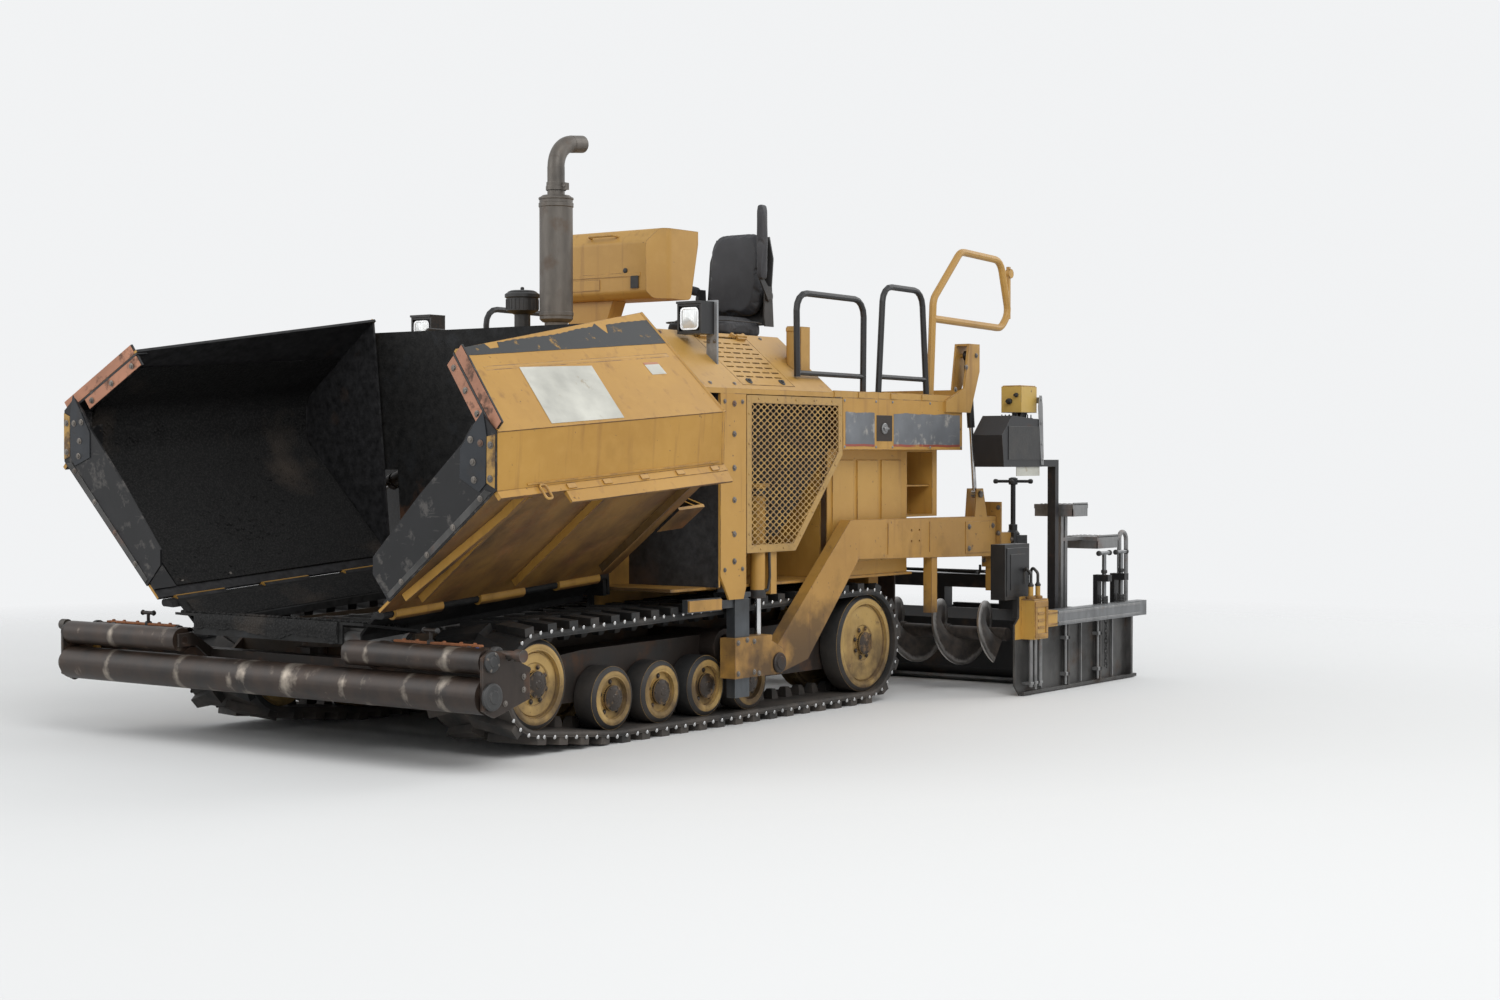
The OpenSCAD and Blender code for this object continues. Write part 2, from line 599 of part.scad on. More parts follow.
// Cowl over the engine: flat top, sloped sides with a doorway each, front and rear plates
module cowl_section(grow) {
    polygon([[-side_y + grow, deck_z - 10], [side_y - grow, deck_z - 10], [side_y - grow, deck_z + 16 - grow / 2],
        [hood_y - grow / 2, hood_z - grow], [-hood_y + grow / 2, hood_z - grow], [-side_y + grow, deck_z + 16 - grow / 2]]);
}
function slope_z(y) = hood_z - (y - hood_y) * (hood_z - deck_z - 16) / (side_y - hood_y);
slope_a = atan2(hood_z - deck_z - 16, side_y - hood_y);
slope_len = norm([hood_z - deck_z - 16, side_y - hood_y]);
door_x0 = 236;
door_x1 = hood_x1 - 20;
door_in = 34;
door_len = slope_len - 70;
// Frame of the left slope: origin on its upper edge, +Y down the slope, +Z out of it
module at_slope() {
    translate([0, hood_y, hood_z]) rotate([-slope_a, 0, 0]) children();
}
module engine_cowl() {
    x1 = wall_x0 + 60 - seat_gap;
    color(yellow) both() {
        cross_plate([[940, slope_z(940) + 0.4], [1034, slope_z(1034) + 0.4], [1034, 2030], [940, 2030]], -56, 26);
        difference() {
            translate([62, 1000, slope_z(1000) - 30]) cylinder(r = 26, h = 2060 - slope_z(1000));
            at_slope() translate([0, 0, -200]) cube([130, slope_len + 40, 200.4]);
        }
    }
    color(yellow) difference() {
        union() {
            difference() {
                translate([hood_x0, 0, 0]) rotate([90, 0, 90]) linear_extrude(x1 - hood_x0) cowl_section(0);
                translate([hood_x0 + sheet, 0, -1]) rotate([90, 0, 90]) linear_extrude(x1 - hood_x0 - 2 * sheet) cowl_section(sheet);
                translate([hood_x0 + sheet, -side_y + sheet, deck_z - 20]) cube([x1 - hood_x0 - 2 * sheet, 2 * side_y - 2 * sheet, 12]);
            }
        }
        both() at_slope() translate([door_x0 - 4, door_in - 4, -20]) cube([door_x1 - door_x0 + 8, door_len + 8, 40]);
    }
    // door hinge pins with their brackets
    color(dark) both() at_slope() for (x = [door_x0 + 30, door_x1 - 90]) {
        translate([x - 26, door_in, 14]) rotate([0, 90, 0]) cylinder(r = 6, h = 112);
        for (e = [x - 26, x + 68]) translate([e, door_in - 24, -1]) cube([18, 30, 17]);
    }
}
// Slotted door in the slope of the cowl, on two hinges at its upper edge
module hood_door() {
    color(yellow) at_slope() difference() {
        union() {
            translate([door_x0, door_in + 12, -sheet]) cube([door_x1 - door_x0, door_len - 12, sheet]);
            for (x = [door_x0 + 30, door_x1 - 90]) {
                translate([x - 4, door_in, 14]) rotate([0, 90, 0]) cylinder(r = 10, h = 68);
                translate([x - 4, door_in + 6.5, -sheet]) cube([68, 16, 20]);
            }
        }
        for (x = [door_x0 + 30, door_x1 - 90])
            translate([x - 5, door_in, 14]) rotate([0, 90, 0]) cylinder(r = 6 + fit_gap, h = 70);
        for (row = [0:7], k = [0:4])
            translate([door_x0 + 22 + k * 82 + (row % 2) * 16, door_in + 50 + row * 40, -sheet - 1]) cube([62, 10, sheet + 2]);
    }
}

// Perforated side panel over the radiator and its edge frame
grille_pts = [[262, 866], [684, 866], [684, 1656], [-170, 1656], [-170, 1357]];
module side_grilles() {
    hole_x = 106;
    hole_z = 64;
    color([0.74, 0.60, 0.34]) both() side_plate_holes() {
        polygon(grille_pts);
        intersection() {
            offset(delta = -46) polygon(grille_pts);
            for (i = [0:8], j = [0:12], h = [0, 1])
                translate([-170 + 40 + (i + h / 2) * hole_x, 900 + (j + h / 2) * hole_z])
                    polygon([[-42, 0], [0, -24], [42, 0], [0, 24]]);
        }
    }
    // angle frame behind the sheet
    color(yellow) both() {
        block([640, side_y - 60, 866], [684, side_y - sheet + 1, 880]);
        block([676, side_y - 60, 866], [684, side_y - sheet + 1, panel_z]);
    }
}
module side_plate_holes() {
    translate([0, side_y, 0]) rotate([90, 0, 0]) linear_extrude(sheet) difference() {
        children(0);
        children(1);
    }
}

// Bolted front column, band panel, recessed panel and the open cabinet
panel_z = deck_z - 10 - seat_gap;
band_z = 1386;
cab_x0 = -1262;
cab_x1 = -968;
module side_panels() {
    in_y = belt_out_y - 20;
    color(yellow) both() {
        side_plate([[column_x0, 700], [712, 641], [830, 641], [column_x1, 760], [column_x1, panel_z], [column_x0, panel_z]],
            side_y - 12, side_y);
        block([column_x1 - 12, frame_y + seat_gap, 704.3], [column_x1, side_y - 12, panel_z]);
        block([column_x0, side_y - 80, 704.3], [column_x0 + 10, side_y - 12, panel_z]);
        // band panel with its folded edges
        block([deck_x0, side_y - sheet, band_z], [-176, side_y, panel_z]);
        block([deck_x0, in_y - 40, band_z], [-176, side_y - sheet + 1, band_z + 6]);
        block([deck_x0, frame_y + seat_gap, band_z], [deck_x0 + sheet, side_y - sheet + 1, panel_z]);
        // recessed panel and posts below the band
        block([cab_x1 + seat_gap, in_y, 704.3], [-176, in_y + sheet, band_z - seat_gap]);
        block([-186, frame_y + seat_gap, 704.3], [-176, in_y - 42, panel_z]);
        // cabinet with its shelf, bracket and rear post
        difference() {
            block([cab_x0, in_y - 330, 1010], [cab_x1, in_y, band_z - seat_gap]);
            block([cab_x0 + 12, in_y - 318, 1022], [cab_x1 - 12, in_y + 1, band_z - 12]);
        }
        block([cab_x0 + 11, in_y - 319, 1180], [cab_x1 - 11, in_y - 20, 1188]);
        block([cab_x0, frame_y + seat_gap, 1010], [cab_x1, in_y - 329, 1022]);
        block([cab_x0 - 38, in_y - 40, 1010], [cab_x0 + 1, in_y, band_z - seat_gap]);
    }
}

module operator_deck() {
    color(yellow) {
        block([deck_x0, -side_y, deck_z - 10 + seat_gap], [hood_x0 - seat_gap, side_y, deck_z]);
        block([deck_x0, -side_y, deck_z - 60], [deck_x0 - 10, side_y, deck_z + 60]);
        both() block([deck_x0, side_y - 8, deck_z - 1], [hood_x0 - seat_gap, side_y, deck_z + 26]);
    }
    color(yellow) {
        // ring that the seat's post turns in
        difference() {
            translate([seat_at[0], seat_at[1], deck_z - 1]) cylinder(r = 84, h = 71);
            translate([seat_at[0], seat_at[1], deck_z - 20]) cylinder(r = seat_r + fit_gap, h = 100);
        }
        // brackets with the pins that the lift cylinders hang from
        both() {
            side_plate([[-1200, 1600], [-1200, 1662], [-1404, 1740], [-1452, 1990], [-1572, 1990], [-1572, 1840],
                [-1470, 1600]], side_y + seat_gap, side_y + 14);
            side_plate([[deck_x0 - 10 - seat_gap, 1640], [deck_x0 - 10 - seat_gap, 1740], [-1452, 1990], [-1572, 1990],
                [-1572, 1840], [-1450, 1640]], side_y - 82, side_y - 70);
            block([-1572, side_y - 82, 1984], [-1452, side_y + 14, 1996]);
            bar_y(lift_top[0], lift_top[1], side_y - 72, side_y + 4, 14);
        }
    }
}

module exhaust() {
    color([0.33, 0.27, 0.22]) translate([muffler_x, muffler_y, 0]) difference() {
        union() {
            rotate_extrude() polygon([[0, hood_z + seat_gap], [60, hood_z + seat_gap], [60, hood_z + 52],
                [muffler_r - 14, hood_z + 56], [muffler_r, hood_z + 70], [muffler_r, muffler_z - 62],
                [muffler_r + 4, muffler_z - 58], [muffler_r + 4, muffler_z - 40], [muffler_r, muffler_z - 36],
                [muffler_r, muffler_z - 12], [muffler_r - 14, muffler_z], [0, muffler_z]]);
            translate([0, 0, muffler_z + 26]) cylinder(r = pipe_r + 5, h = 42);
            translate([0, 0, muffler_z - 1]) cylinder(r = pipe_r, h = 150);
            translate([-130, 0, muffler_z + 148]) rotate([90, 0, 0]) rotate_extrude(angle = 84)
                translate([130, 0]) circle(r = pipe_r - 1);
            translate([-130, 0, muffler_z + 148]) rotate([0, -84, 0]) translate([130, 0, -2]) cylinder(r = pipe_r, h = 92);
        }
        translate([-130, 0, muffler_z + 148]) rotate([0, -84, 0]) translate([130, 0, 20]) cylinder(r = pipe_r - 4, h = 80);
    }
}

module air_precleaner() {
    color(dark) translate([905, -130, 0]) rotate_extrude() polygon([[0, hood_z + seat_gap], [42, hood_z + seat_gap], [42, 2090], [84, 2110],
        [84, 2175], [92, 2180], [92, 2196], [78, 2206], [0, 2206]]);
}

// Black guard rails on the deck edge and on the cowl's slope
module guard_rail(x0, z0, x1, z1, top, lean) {
    side = [0, 1, 0];
    pipe(rounded([[x0, 0, z0], [x0 - lean, 0, top], [x1 + lean, 0, top - 6], [x1, 0, z1]], 90), rail_r, side);
    pipe([[x0 - lean * 0.26, 0, z1 + 112], [x1 + lean * 0.1, 0, z1 + 108]], rail_r * 0.8, side, 8);
}
module guard_rails() {
    foot = deck_z + 2;
    color(dark) both() {
        translate([0, side_y - 75, 0]) guard_rail(140, slope_z(side_y - 94), -480, foot, 2200, -8);
        translate([0, side_y - 55, 0]) guard_rail(-600, foot, -1100, foot, 2280, 50);
    }
}

// Yellow grab rail at the rear corner of the deck with its post and hook plate
module grab_rail() {
    y = side_y - 70;
    color(yellow) {
        pipe(rounded([[-1160, y, deck_z + 2], [-1196, y, 2240], [-1496, y, 2530], [-1955, y, 2510], [-2051, y, 2200],
            [-1960, y, 2110], [-1192, y, 2130]], 90), 21, [0, 1, 0]);
        block([-1220, y - 34, deck_z + seat_gap], [-1132, y + 34, deck_z + 12]);
        block([-2040, y - 8, 2170], [-2064, y + 8, 2480]);
        bar_y(-2062, 2440, y - 14, y + 14, 28);
    }
}

// Work lamps on posts at the front of the cowl
module work_lamps() {
    color(dark) both() {
        cross_plate([[950, slope_z(950) + 0.4], [1015, slope_z(1015) + 0.4], [1015, 2130], [950, 2130]],
            hood_x1 + 20, hood_x1 + 34);
        translate([hood_x1 + 44, 940, 1960]) lamp_body();
    }
}
module lamp_body() {
    difference() {
        block([-10, -90, 0], [100, 60, 150]);
        block([84, -80, 12], [101, 50, 138]);
    }
    block([-11, -90, 150], [110, 60, 162]);
}

// Vertical rails that the tow points slide on
rail_x0 = 655;
rail_x1 = 775;
rail_y0 = 1106;
rail_y1 = 1158;
module tow_rails() {
    color(steel) both() {
        block([rail_x0, rail_y0, 150], [rail_x1, rail_y1, 640]);
        block([rail_x0, rail_y0, 630], [rail_x1, side_y - 13, 672]);
        block([rail_x0 - 20, 1040, 648], [rail_x1 + 20, side_y - 13, 672]);
        block([rail_x0, 1040, 650], [rail_x1, 1052, 690 - seat_gap]);
        block([880, 1120, 590], [1150, 1150, 655]);
        block([rail_x1 - 10, 1108, 600], [900, 1150, 640]);
    }
}
level_x = 525;
level_y = 1116;
module leveling_barrels() {
    color(yellow) both() {
        difference() {
            translate([level_x, level_y, 636]) cylinder(r = level_r, h = 560);
            translate([level_x, level_y, 630]) cylinder(r = 17 + fit_gap, h = 480);
        }
        block([level_x - 60, 1050, 1196], [level_x + 60, 1150, 1214]);
        block([level_x - 60, frame_y + seat_gap, 1196], [level_x + 60, 1051, 1208]);
        block([level_x - 128, level_y - 26, 650], [level_x - 76, level_y + 26, 864]);
        block([level_x - 128, level_y - 26, 864], [level_x - 20, level_y + 26, 880]);
    }
}

// Sliding tow point: a block around the rail and two cheeks that hold the tow pin
module tow_carriages() {
    y0 = arm_y0 - 14;
    y1 = arm_y1 + 14;
    color(yellow) both() {
        difference() {
            block([rail_x0 - 34, y0, 247], [rail_x1 + 24, y1, 449]);
            block([rail_x0 - 1, rail_y0 - 1, 240], [rail_x1 + 1, rail_y1 + 1, 460]);
        }
        for (y = [[y0, arm_y0 - 1], [arm_y1 + 1, y1]])
            side_plate([[rail_x0 - 33, 247], [rail_x0 - 33, 449], [560, 449], [400, 380], [366, 330], [366, 280], [400, 247]], y[0], y[1]);
        bar_y(pin_x, pin_z, y0, y1 + 18, pin_r);
        block([level_x - 40, y0, 420], [rail_x0 - 33, y1, 449]);
    }
}
module leveling_rods() {
    color(steel) both() translate([level_x, level_y, 449 + seat_gap]) cylinder(r = 17, h = 420);
}

// Long arm from the tow pin back to the screed, with four holes for a grade sensor's bracket
sensor_at = [-900, 910];
sensor_r = 6.5;
module tow_arms() {
    color(yellow) both() {
        difference() {
            union() {
                side_plate([[452, 362], [-250, 1010], [-1790, 1000], [-1790, 765], [-330, 800], [150, 300], [430, 240]],
                    arm_y0, arm_y1);
                bar_y(pin_x, pin_z, arm_y0, arm_y1, 64);
            }
            bar_y(pin_x, pin_z, arm_y0 - 1, arm_y1 + 1, pin_r + fit_gap);
            for (x = [-40, 40], z = [-30, 30]) bar_y(sensor_at[0] + x, sensor_at[1] + z, arm_y0 - 1, arm_y1 + 1, sensor_r);
        }
        block([-1790, arm_y0 - 30, 700], [-1806, arm_y1 + 30, 1083]);
        block([-1800, arm_y0 - 10, 700], [screed_x1, arm_y1 + 10, 900]);
        block([-1800, arm_y0 - 10, 560], [screed_x1, arm_y1 + 10, 701]);
        block([-1140, arm_y0 + 6, 470], [-1080, arm_y1 - 6, 800]);
        // ears for the lift cylinder's eye
        for (y = [arm_y0, arm_y1 - 6])
            side_plate([[-1690, 990], [-1545, 990], [-1566, lift_eye[1] + 34], [-1640, lift_eye[1] + 34]], y, y + 6);
    }
}

// Lift cylinders hang from brackets at the rear of the deck
lift_top = [-1512, 1930];
lift_eye = [-1600, 1130];
lift_len = norm(lift_eye - lift_top);
lift_y = (arm_y0 + arm_y1) / 2;
module along_lift() {
    both() translate([lift_top[0], lift_y, lift_top[1]])
        rotate([0, 180 + atan2(lift_top[0] - lift_eye[0], lift_top[1] - lift_eye[1]), 0]) children();
}
module lift_barrels() {
    color(dark) along_lift() difference() {
        union() {
            translate([0, 0, 10]) cylinder(r = 17, h = 60);
            translate([0, 0, 56]) cylinder(r = 22, h = 360);
            translate([0, -14, 0]) rotate([-90, 0, 0]) cylinder(r = 28, h = 28);
        }
        translate([0, 0, 66]) cylinder(r = 13 + fit_gap, h = 420);
        translate([0, -20, 0]) rotate([-90, 0, 0]) cylinder(r = 14 + fit_gap, h = 40);
    }
}
module lift_rods() {
    color(steel) along_lift() {
        translate([0, 0, lift_len - 420]) cylinder(r = 13, h = 400);
        translate([0, -12, lift_len]) rotate([-90, 0, 0]) cylinder(r = 24, h = 24);
    }
}

// Roller beam: knuckle on the swing pin, cross beam, end plates and guide tubes
tube_x = 2690;
tube_z = 512;
plate_y = roller_half + 5;
module push_beam() {
    beam_x = beam_pin_x + 70;
    color(rust) {
        difference() {
            union() {
                translate([beam_pin_x, 0, 313]) cylinder(r = 56, h = 154);
                block([beam_pin_x, -50, 313], [beam_x + 6, 50, 467]);
            }
            translate([beam_pin_x, 0, 300]) cylinder(r = 30 + fit_gap, h = 180);
        }
        block([beam_x, -plate_y - 16, 330], [beam_x + 80, plate_y + 16, 440]);
        block([beam_x, -900, 300], [beam_x + 80, 900, 332]);
        both() {
            // end plate with the shafts' seats
            difference() {
                side_plate([[beam_x, 318], [roller_x - 20, 255], [roller_x + 50, 290], [roller_x + 50, roller_up_z + 20],
                    [roller_x, roller_up_z + 50], [roller_x - 60, roller_up_z + 40], [beam_x, 452]], plate_y, plate_y + 16);
                bar_y(roller_x, roller_z, plate_y - 1, plate_y + 17, 22 + fit_gap);
                bar_y(roller_x, roller_up_z, plate_y - 1, plate_y + 17, 18 + fit_gap);
                bar_y(tube_x, tube_z, plate_y - 1, plate_y + 17, guide_r + 5);
            }
            // inner carrier of the upper roller
            difference() {
                side_plate([[beam_x + 70, 380], [beam_x + 70, 440], [roller_x - 44, roller_up_z + 34], [roller_x + 34, roller_up_z + 30],
                    [roller_x + 34, roller_up_z - 30], [roller_x - 70, roller_up_z - 30]], up_in_y - 20, up_in_y - 6);
                bar_y(roller_x, roller_up_z, up_in_y - 21, up_in_y - 5, 18 + fit_gap);
            }
            // guide tube with its brackets and locking handle
            difference() {
                bar_y(tube_x, tube_z, 640, 1330, 27);
                bar_y(tube_x, tube_z, 639, 1331, guide_r + fit_gap);
            }
            for (y = [700, 1240]) difference() {
                side_plate([[beam_x + 40, 430], [beam_x + 40, 470], [tube_x - 10, tube_z + 18], [tube_x + 16, tube_z - 20],
                    [beam_x + 80, 430]], y, y + 24);
                bar_y(tube_x, tube_z, y - 1, y + 25, guide_r + 4);
            }
            translate([tube_x, 940, tube_z + 24]) cylinder(r = 8, h = 62);
            bar_y(tube_x, tube_z + 84, 904, 976, 9);
            // steering foot of the beam's outer end
            side_plate([[beam_x - 60, 260], [beam_x + 40, 260], [beam_x + 70, 332], [beam_x, 332]], 1120, 1240);
        }
    }
}
module push_roller(y0, y1, z, r, shaft_r) {
    color(rust) {
        bar_y(roller_x, z, y0, y1, r);
        bar_y(roller_x, z, y0 - 20, y1 + 20, shaft_r);
    }
}
module guide_rod(out) {
    color(steel) {
        bar_y(tube_x, tube_z, 660 + out, 1440 + out, guide_r);
        bar_y(tube_x, tube_z, 1438 + out, 1478 + out, 27);
    }
}

// Auger: a shaft with a helical flight, carried by the case at the centre line
auger_y0 = 118;
auger_y1 = 1400;
auger_pitch = 300;
auger_steps = 12;
module auger() {
    count = round((auger_y1 - auger_y0 - 40) / auger_pitch * auger_steps);
    tilt = atan(auger_pitch / (PI * (auger_r + 40)));
    turn = 360 / auger_steps;
    color(dark) {
        bar_y(auger_x, auger_z, auger_y0, auger_y1 + 20, 38);
        for (k = [0:count])
            translate([auger_x, auger_y0 + 26 + k * auger_pitch / auger_steps, auger_z]) rotate([0, k * turn, 0])
                rotate([tilt, 0, 0]) translate([0, 9, 0]) rotate([90, 0, 0]) linear_extrude(18)
                    polygon([[30, -9], [auger_r * cos(turn / 2), -auger_r * sin(turn / 2)], [auger_r, 0],
                        [auger_r * cos(turn / 2), auger_r * sin(turn / 2)], [30, 9]]);
    }
}
module auger_case() {
    color(dark) {
        side_plate([[-1540, 240], [-1500, 200], [-1450, 200], [-1420, 240], [-1420, 900], [-1540, 900]], -105, 105);
        block([-1130, -frame_y, 740], [-1010 - seat_gap, frame_y, 860]);
        both() block([-1424, 50, 750], [-1128, 90, 850]);
        both() block([-1130, frame_y - 40, 300], [-1118, frame_y + 300, 880]);
    }
}

module console() {
    color(yellow) {
        intersection() {
            side_plate(rounded([[150, 2480], [215, 2180], [470, 2180], [500, 2215], [500, 2480], [440, 2550], [150, 2550]],
                34), -420, 450);
            translate([0, 0, 2100]) linear_extrude(500)
                polygon(rounded([[120, -420], [440, -420], [520, -350], [520, 360], [400, 450], [120, 450]], 70));
        }
        cross_plate([[-260, 2184], [100, 2184], [20, hood_z + seat_gap], [-180, hood_z + seat_gap]], 330, 440);
    }
    color(dark) block([320, -200, hood_z + seat_gap], [452, 40, hood_z + 12]);
}

// Seat on a turning post
seat_at = [-330, 200];
seat_r = 60;
module seat_stand() {
    color(dark) {
        translate([seat_at[0], seat_at[1], deck_z + 1]) cylinder(r = seat_r, h = 300);
        block([seat_at[0] - 150, seat_at[1] - 140, 1960], [seat_at[0] + 140, seat_at[1] + 140, 1999.7]);
    }
}
module seat_pads() {
    x = seat_at[0];
    y = seat_at[1];
    color([0.12, 0.12, 0.13]) {
        block([x - 230, y - 240, 2000], [x + 240, y + 240, 2112]);
        side_plate([[x - 240, 2060], [x - 120, 2100], [x - 170, 2640], [x - 262, 2650]], y - 230, y + 230);
        side_plate([[x - 190, 2130], [x - 130, 2130], [x - 60, 2350], [x - 60, 2750], [x - 130, 2750], [x - 130, 2350]],
            y + 236, y + 276);
        side_plate([[x - 190, 2260], [x + 120, 2300], [x + 120, 2350], [x - 190, 2330]], y - 276, y - 236);
        both_at(y) block([x - 210, 216, 2200], [x - 150, 240, 2290]);
    }
}
module both_at(y) {
    translate([0, y, 0]) both() children();
}

// Main screed box with its crown beam, posts and guide bushings
box_z = 300;
rod_x = -2300;
rod_z = 388;
rod_r = 28;
module screed_frame() {
    x0 = screed_x1 - screed_d;
    color(dark) {
        difference() {
            block([x0, -screed_half, 21], [screed_x1, screed_half, box_z]);
            block([x0 - 1, -screed_half + 14, 37], [screed_x1 - 14, screed_half - 14, box_z - 14]);
        }
        for (y = [-900, -300, 286, 886]) block([x0 + 4, y, 36], [screed_x1 - 13, y + 14, box_z - 13]);
        side_plate([[screed_x1, 40], [screed_x1 + 40, 90], [screed_x1 + 40, 380], [screed_x1 - 20, 440],
            [screed_x1 - 20, 298]], -screed_half, screed_half);
        both() {
            difference() {
                block([rod_x - 46, screed_half - 95, box_z - 1], [rod_x + 46, screed_half - 25, rod_z + 46]);
                bar_y(rod_x, rod_z, 1429, 1501, rod_r + fit_gap);
            }
            // mast that the tow arm bolts to
            block([screed_x1 - 160, arm_y0 - 30, box_z - 1], [screed_x1 - 40, arm_y1 + 30, 880]);
            block([screed_x1 - 42, arm_y0 - 28, 520], [screed_x1 - 0.3, arm_y1 + 28, 900]);
            for (y = [160, 620]) block([screed_x1 - 150, y, box_z - 1], [screed_x1 - 60, y + 60, 620]);
            // depth crank on the mast: socket, screw, hub and handles
            translate([screed_x1 - 100, (arm_y0 + arm_y1) / 2, 880 - 1]) {
                rotate_extrude() polygon([[0, 0], [40, 0], [40, 12], [26, 30], [26, 64], [15, 68], [15, 300], [27, 304],
                    [27, 340], [12, 346], [0, 346]]);
                for (a = [25, 115]) rotate([0, 0, a]) translate([-90, 0, 322]) rotate([0, 90, 0]) cylinder(r = 9, h = 180);
            }
        }
        block([screed_x1 - 150, -arm_y0 + 29, 560], [screed_x1 - 60, arm_y0 - 29, 640]);
        // arms that reach back to the walkway
        for (y = [-470, -30, 410])
            block([-2734, y, box_z - 22], [x0 + 4, y + 60, box_z + 18]);
    }
}
module screed_plates() {
    x0 = screed_x1 - screed_d;
    color(steel) side_plate([[x0, 0], [screed_x1 - 30, 0], [screed_x1 + 30, 26], [screed_x1 + 30, 38],
        [screed_x1 + 0.3, 38], [screed_x1 + 0.3, 20.7], [x0, 20.7]], -screed_half, screed_half);
}
module screed_walkway() {
    color(steel) {
        difference() {
            block([walk_x0, -walk_y, 318.5], [walk_x1, walk_y, 338]);
            for (k = [0:18]) block([walk_x0 + 12, -walk_y + 20 + k * (walk_y - 79) / 9, 318],
                [walk_x1 - 12, -walk_y + 138 + k * (walk_y - 79) / 9, 339]);
        }
        block([walk_x1 - 9, -walk_y, 318.5], [walk_x1, walk_y, 350]);
        for (y = [-470, -30, 410]) block([walk_x1 - 9, y, 318.5], [walk_x1 + 175, y + 60, 330]);
        both() {
            // steps above the screed with their posts
            block([-2300, walk_y - 260, 1040], [-2110, walk_y, 1066]);
            block([-2700, walk_y - 260, 840], [-2420, walk_y, 866]);
            for (x = [-2230, -2180]) block([x, walk_y - 130, box_z + seat_gap], [x + 30, walk_y - 100, 1041]);
            block([-2440, walk_y - 130, 846], [-2180, walk_y - 100, 866]);
            // hoop at the rear corner
            translate([walk_x0, walk_y - 22, 0]) pipe(rounded([[99, 0, 336], [99, 0, 892], [8, 0, 880], [8, 0, 336]], 60), 14, [0, 1, 0], 8);
        }
    }
}

// Extension of the screed: box, sole plate, guide rod and the brackets of the end gate
gate_screw_x = [-2420, -2640];
module extension() {
    y1 = screed_half;
    color(dark) {
        difference() {
            block([ext_x0, ext_in_y, 16], [ext_x1, y1, 250]);
            block([ext_x0 + 12, ext_in_y + 12, 30], [ext_x1 + 1, y1 - 14, 238]);
        }
        side_plate([[ext_x0, 0], [ext_x1 - 20, 0], [ext_x1, 17], [ext_x0, 17]], ext_in_y, y1);
        side_plate([[ext_x1 - 40, 249], [ext_x1 - 10, 249], [ext_x1 - 10, 440], [ext_x1 - 60, 440]], ext_in_y, y1);
        side_plate([[ext_x0, 249], [ext_x1, 249], [ext_x1, 440], [ext_x0 + 90, 440]], y1 - 14, y1);
        block([ext_x1 - 20, y1 - 14, 340], [rod_x + 34, y1, 440]);
        bar_y(rod_x, rod_z, ext_in_y, y1 - 1, rod_r);
        block([ext_x1 - 12, ext_in_y, 350], [rod_x - 20, ext_in_y + 16, 426]);
        for (x = gate_screw_x) {
            block([x - 26, y1 - 40, 249], [x + 26, y1 - 10, 640]);
            difference() {
                block([x - 26, y1 - 40, 600], [x + 26, gate_y + 44, 640]);
                translate([x, gate_y + 6, 590]) cylinder(r = 13 + fit_gap, h = 60);
            }
        }
    }
}

// End gate: long plate with its stiffening beam, gear box, depth screws and the box at its front
module end_gate() {
    y1 = gate_y + 12;
    color(steel) {
        side_plate([[gate_x0, 0], [gate_x0, 380], [gate_x0 + 40, 450], [gate_x1 - 60, 450], [gate_x1, 400], [gate_x1, 60],
            [gate_x1 - 60, 0]], gate_y, y1);
        block([gate_x0, y1 - 1, 6], [gate_x1 - 60, y1 + 26, 24]);
        block([walk_x0, y1 - 1, 380], [-1700, y1 + 62, 470]);
        for (x = [-2700, -2300, -1900]) block([x, y1 - 1, 24], [x + 14, y1 + 40, 380]);
        for (x = gate_screw_x) {
            translate([x, gate_y + 6, 440]) cylinder(r = 13, h = 330);
            translate([x - 60, gate_y + 6, 770]) rotate([0, 90, 0]) cylinder(r = 11, h = 120);
        }
    }
    color(yellow) {
        block([-1698, y1 - 1, 380], [-1500, y1 + 70, 470]);
        block([-1560, y1 - 1, 320], [-1400, y1 + 84, 540]);
        translate([-1440, y1 + 40, 530]) cylinder(r = 14, h = 86);
        translate([-1520, y1 + 40, 530]) cylinder(r = 14, h = 86);
    }
    color(dark) {
        block([-1521, gate_y - 96, 545], [-1245, gate_y - 4, 856]);
        block([-1450, gate_y - 30, 440], [-1380, y1, 560]);
    }
}

// Control boxes on stands at the screed's ends
module screed_panels() {
    y = screed_half - 125;
    color([0.4, 0.4, 0.41]) both() {
        block([-2070, y - 26, box_z + seat_gap], [-2030, y + 26, 1330]);
        side_plate([[-2070, 1290], [-1740, 1290], [-1740, 1330], [-2070, 1330]], y - 26, y + 26);
    }
    color(dark) both() {
        side_plate([[-1750, 1290], [-1310, 1290], [-1290, 1470], [-1400, 1580], [-1750, 1560]], y - 100, y + 90);
        block([-1660, y - 20, 1560], [-1630, y + 20, 1601]);
    }
    color(yellow) both() block([-1740, y - 70, 1600], [-1560, y + 60, 1750]);
}

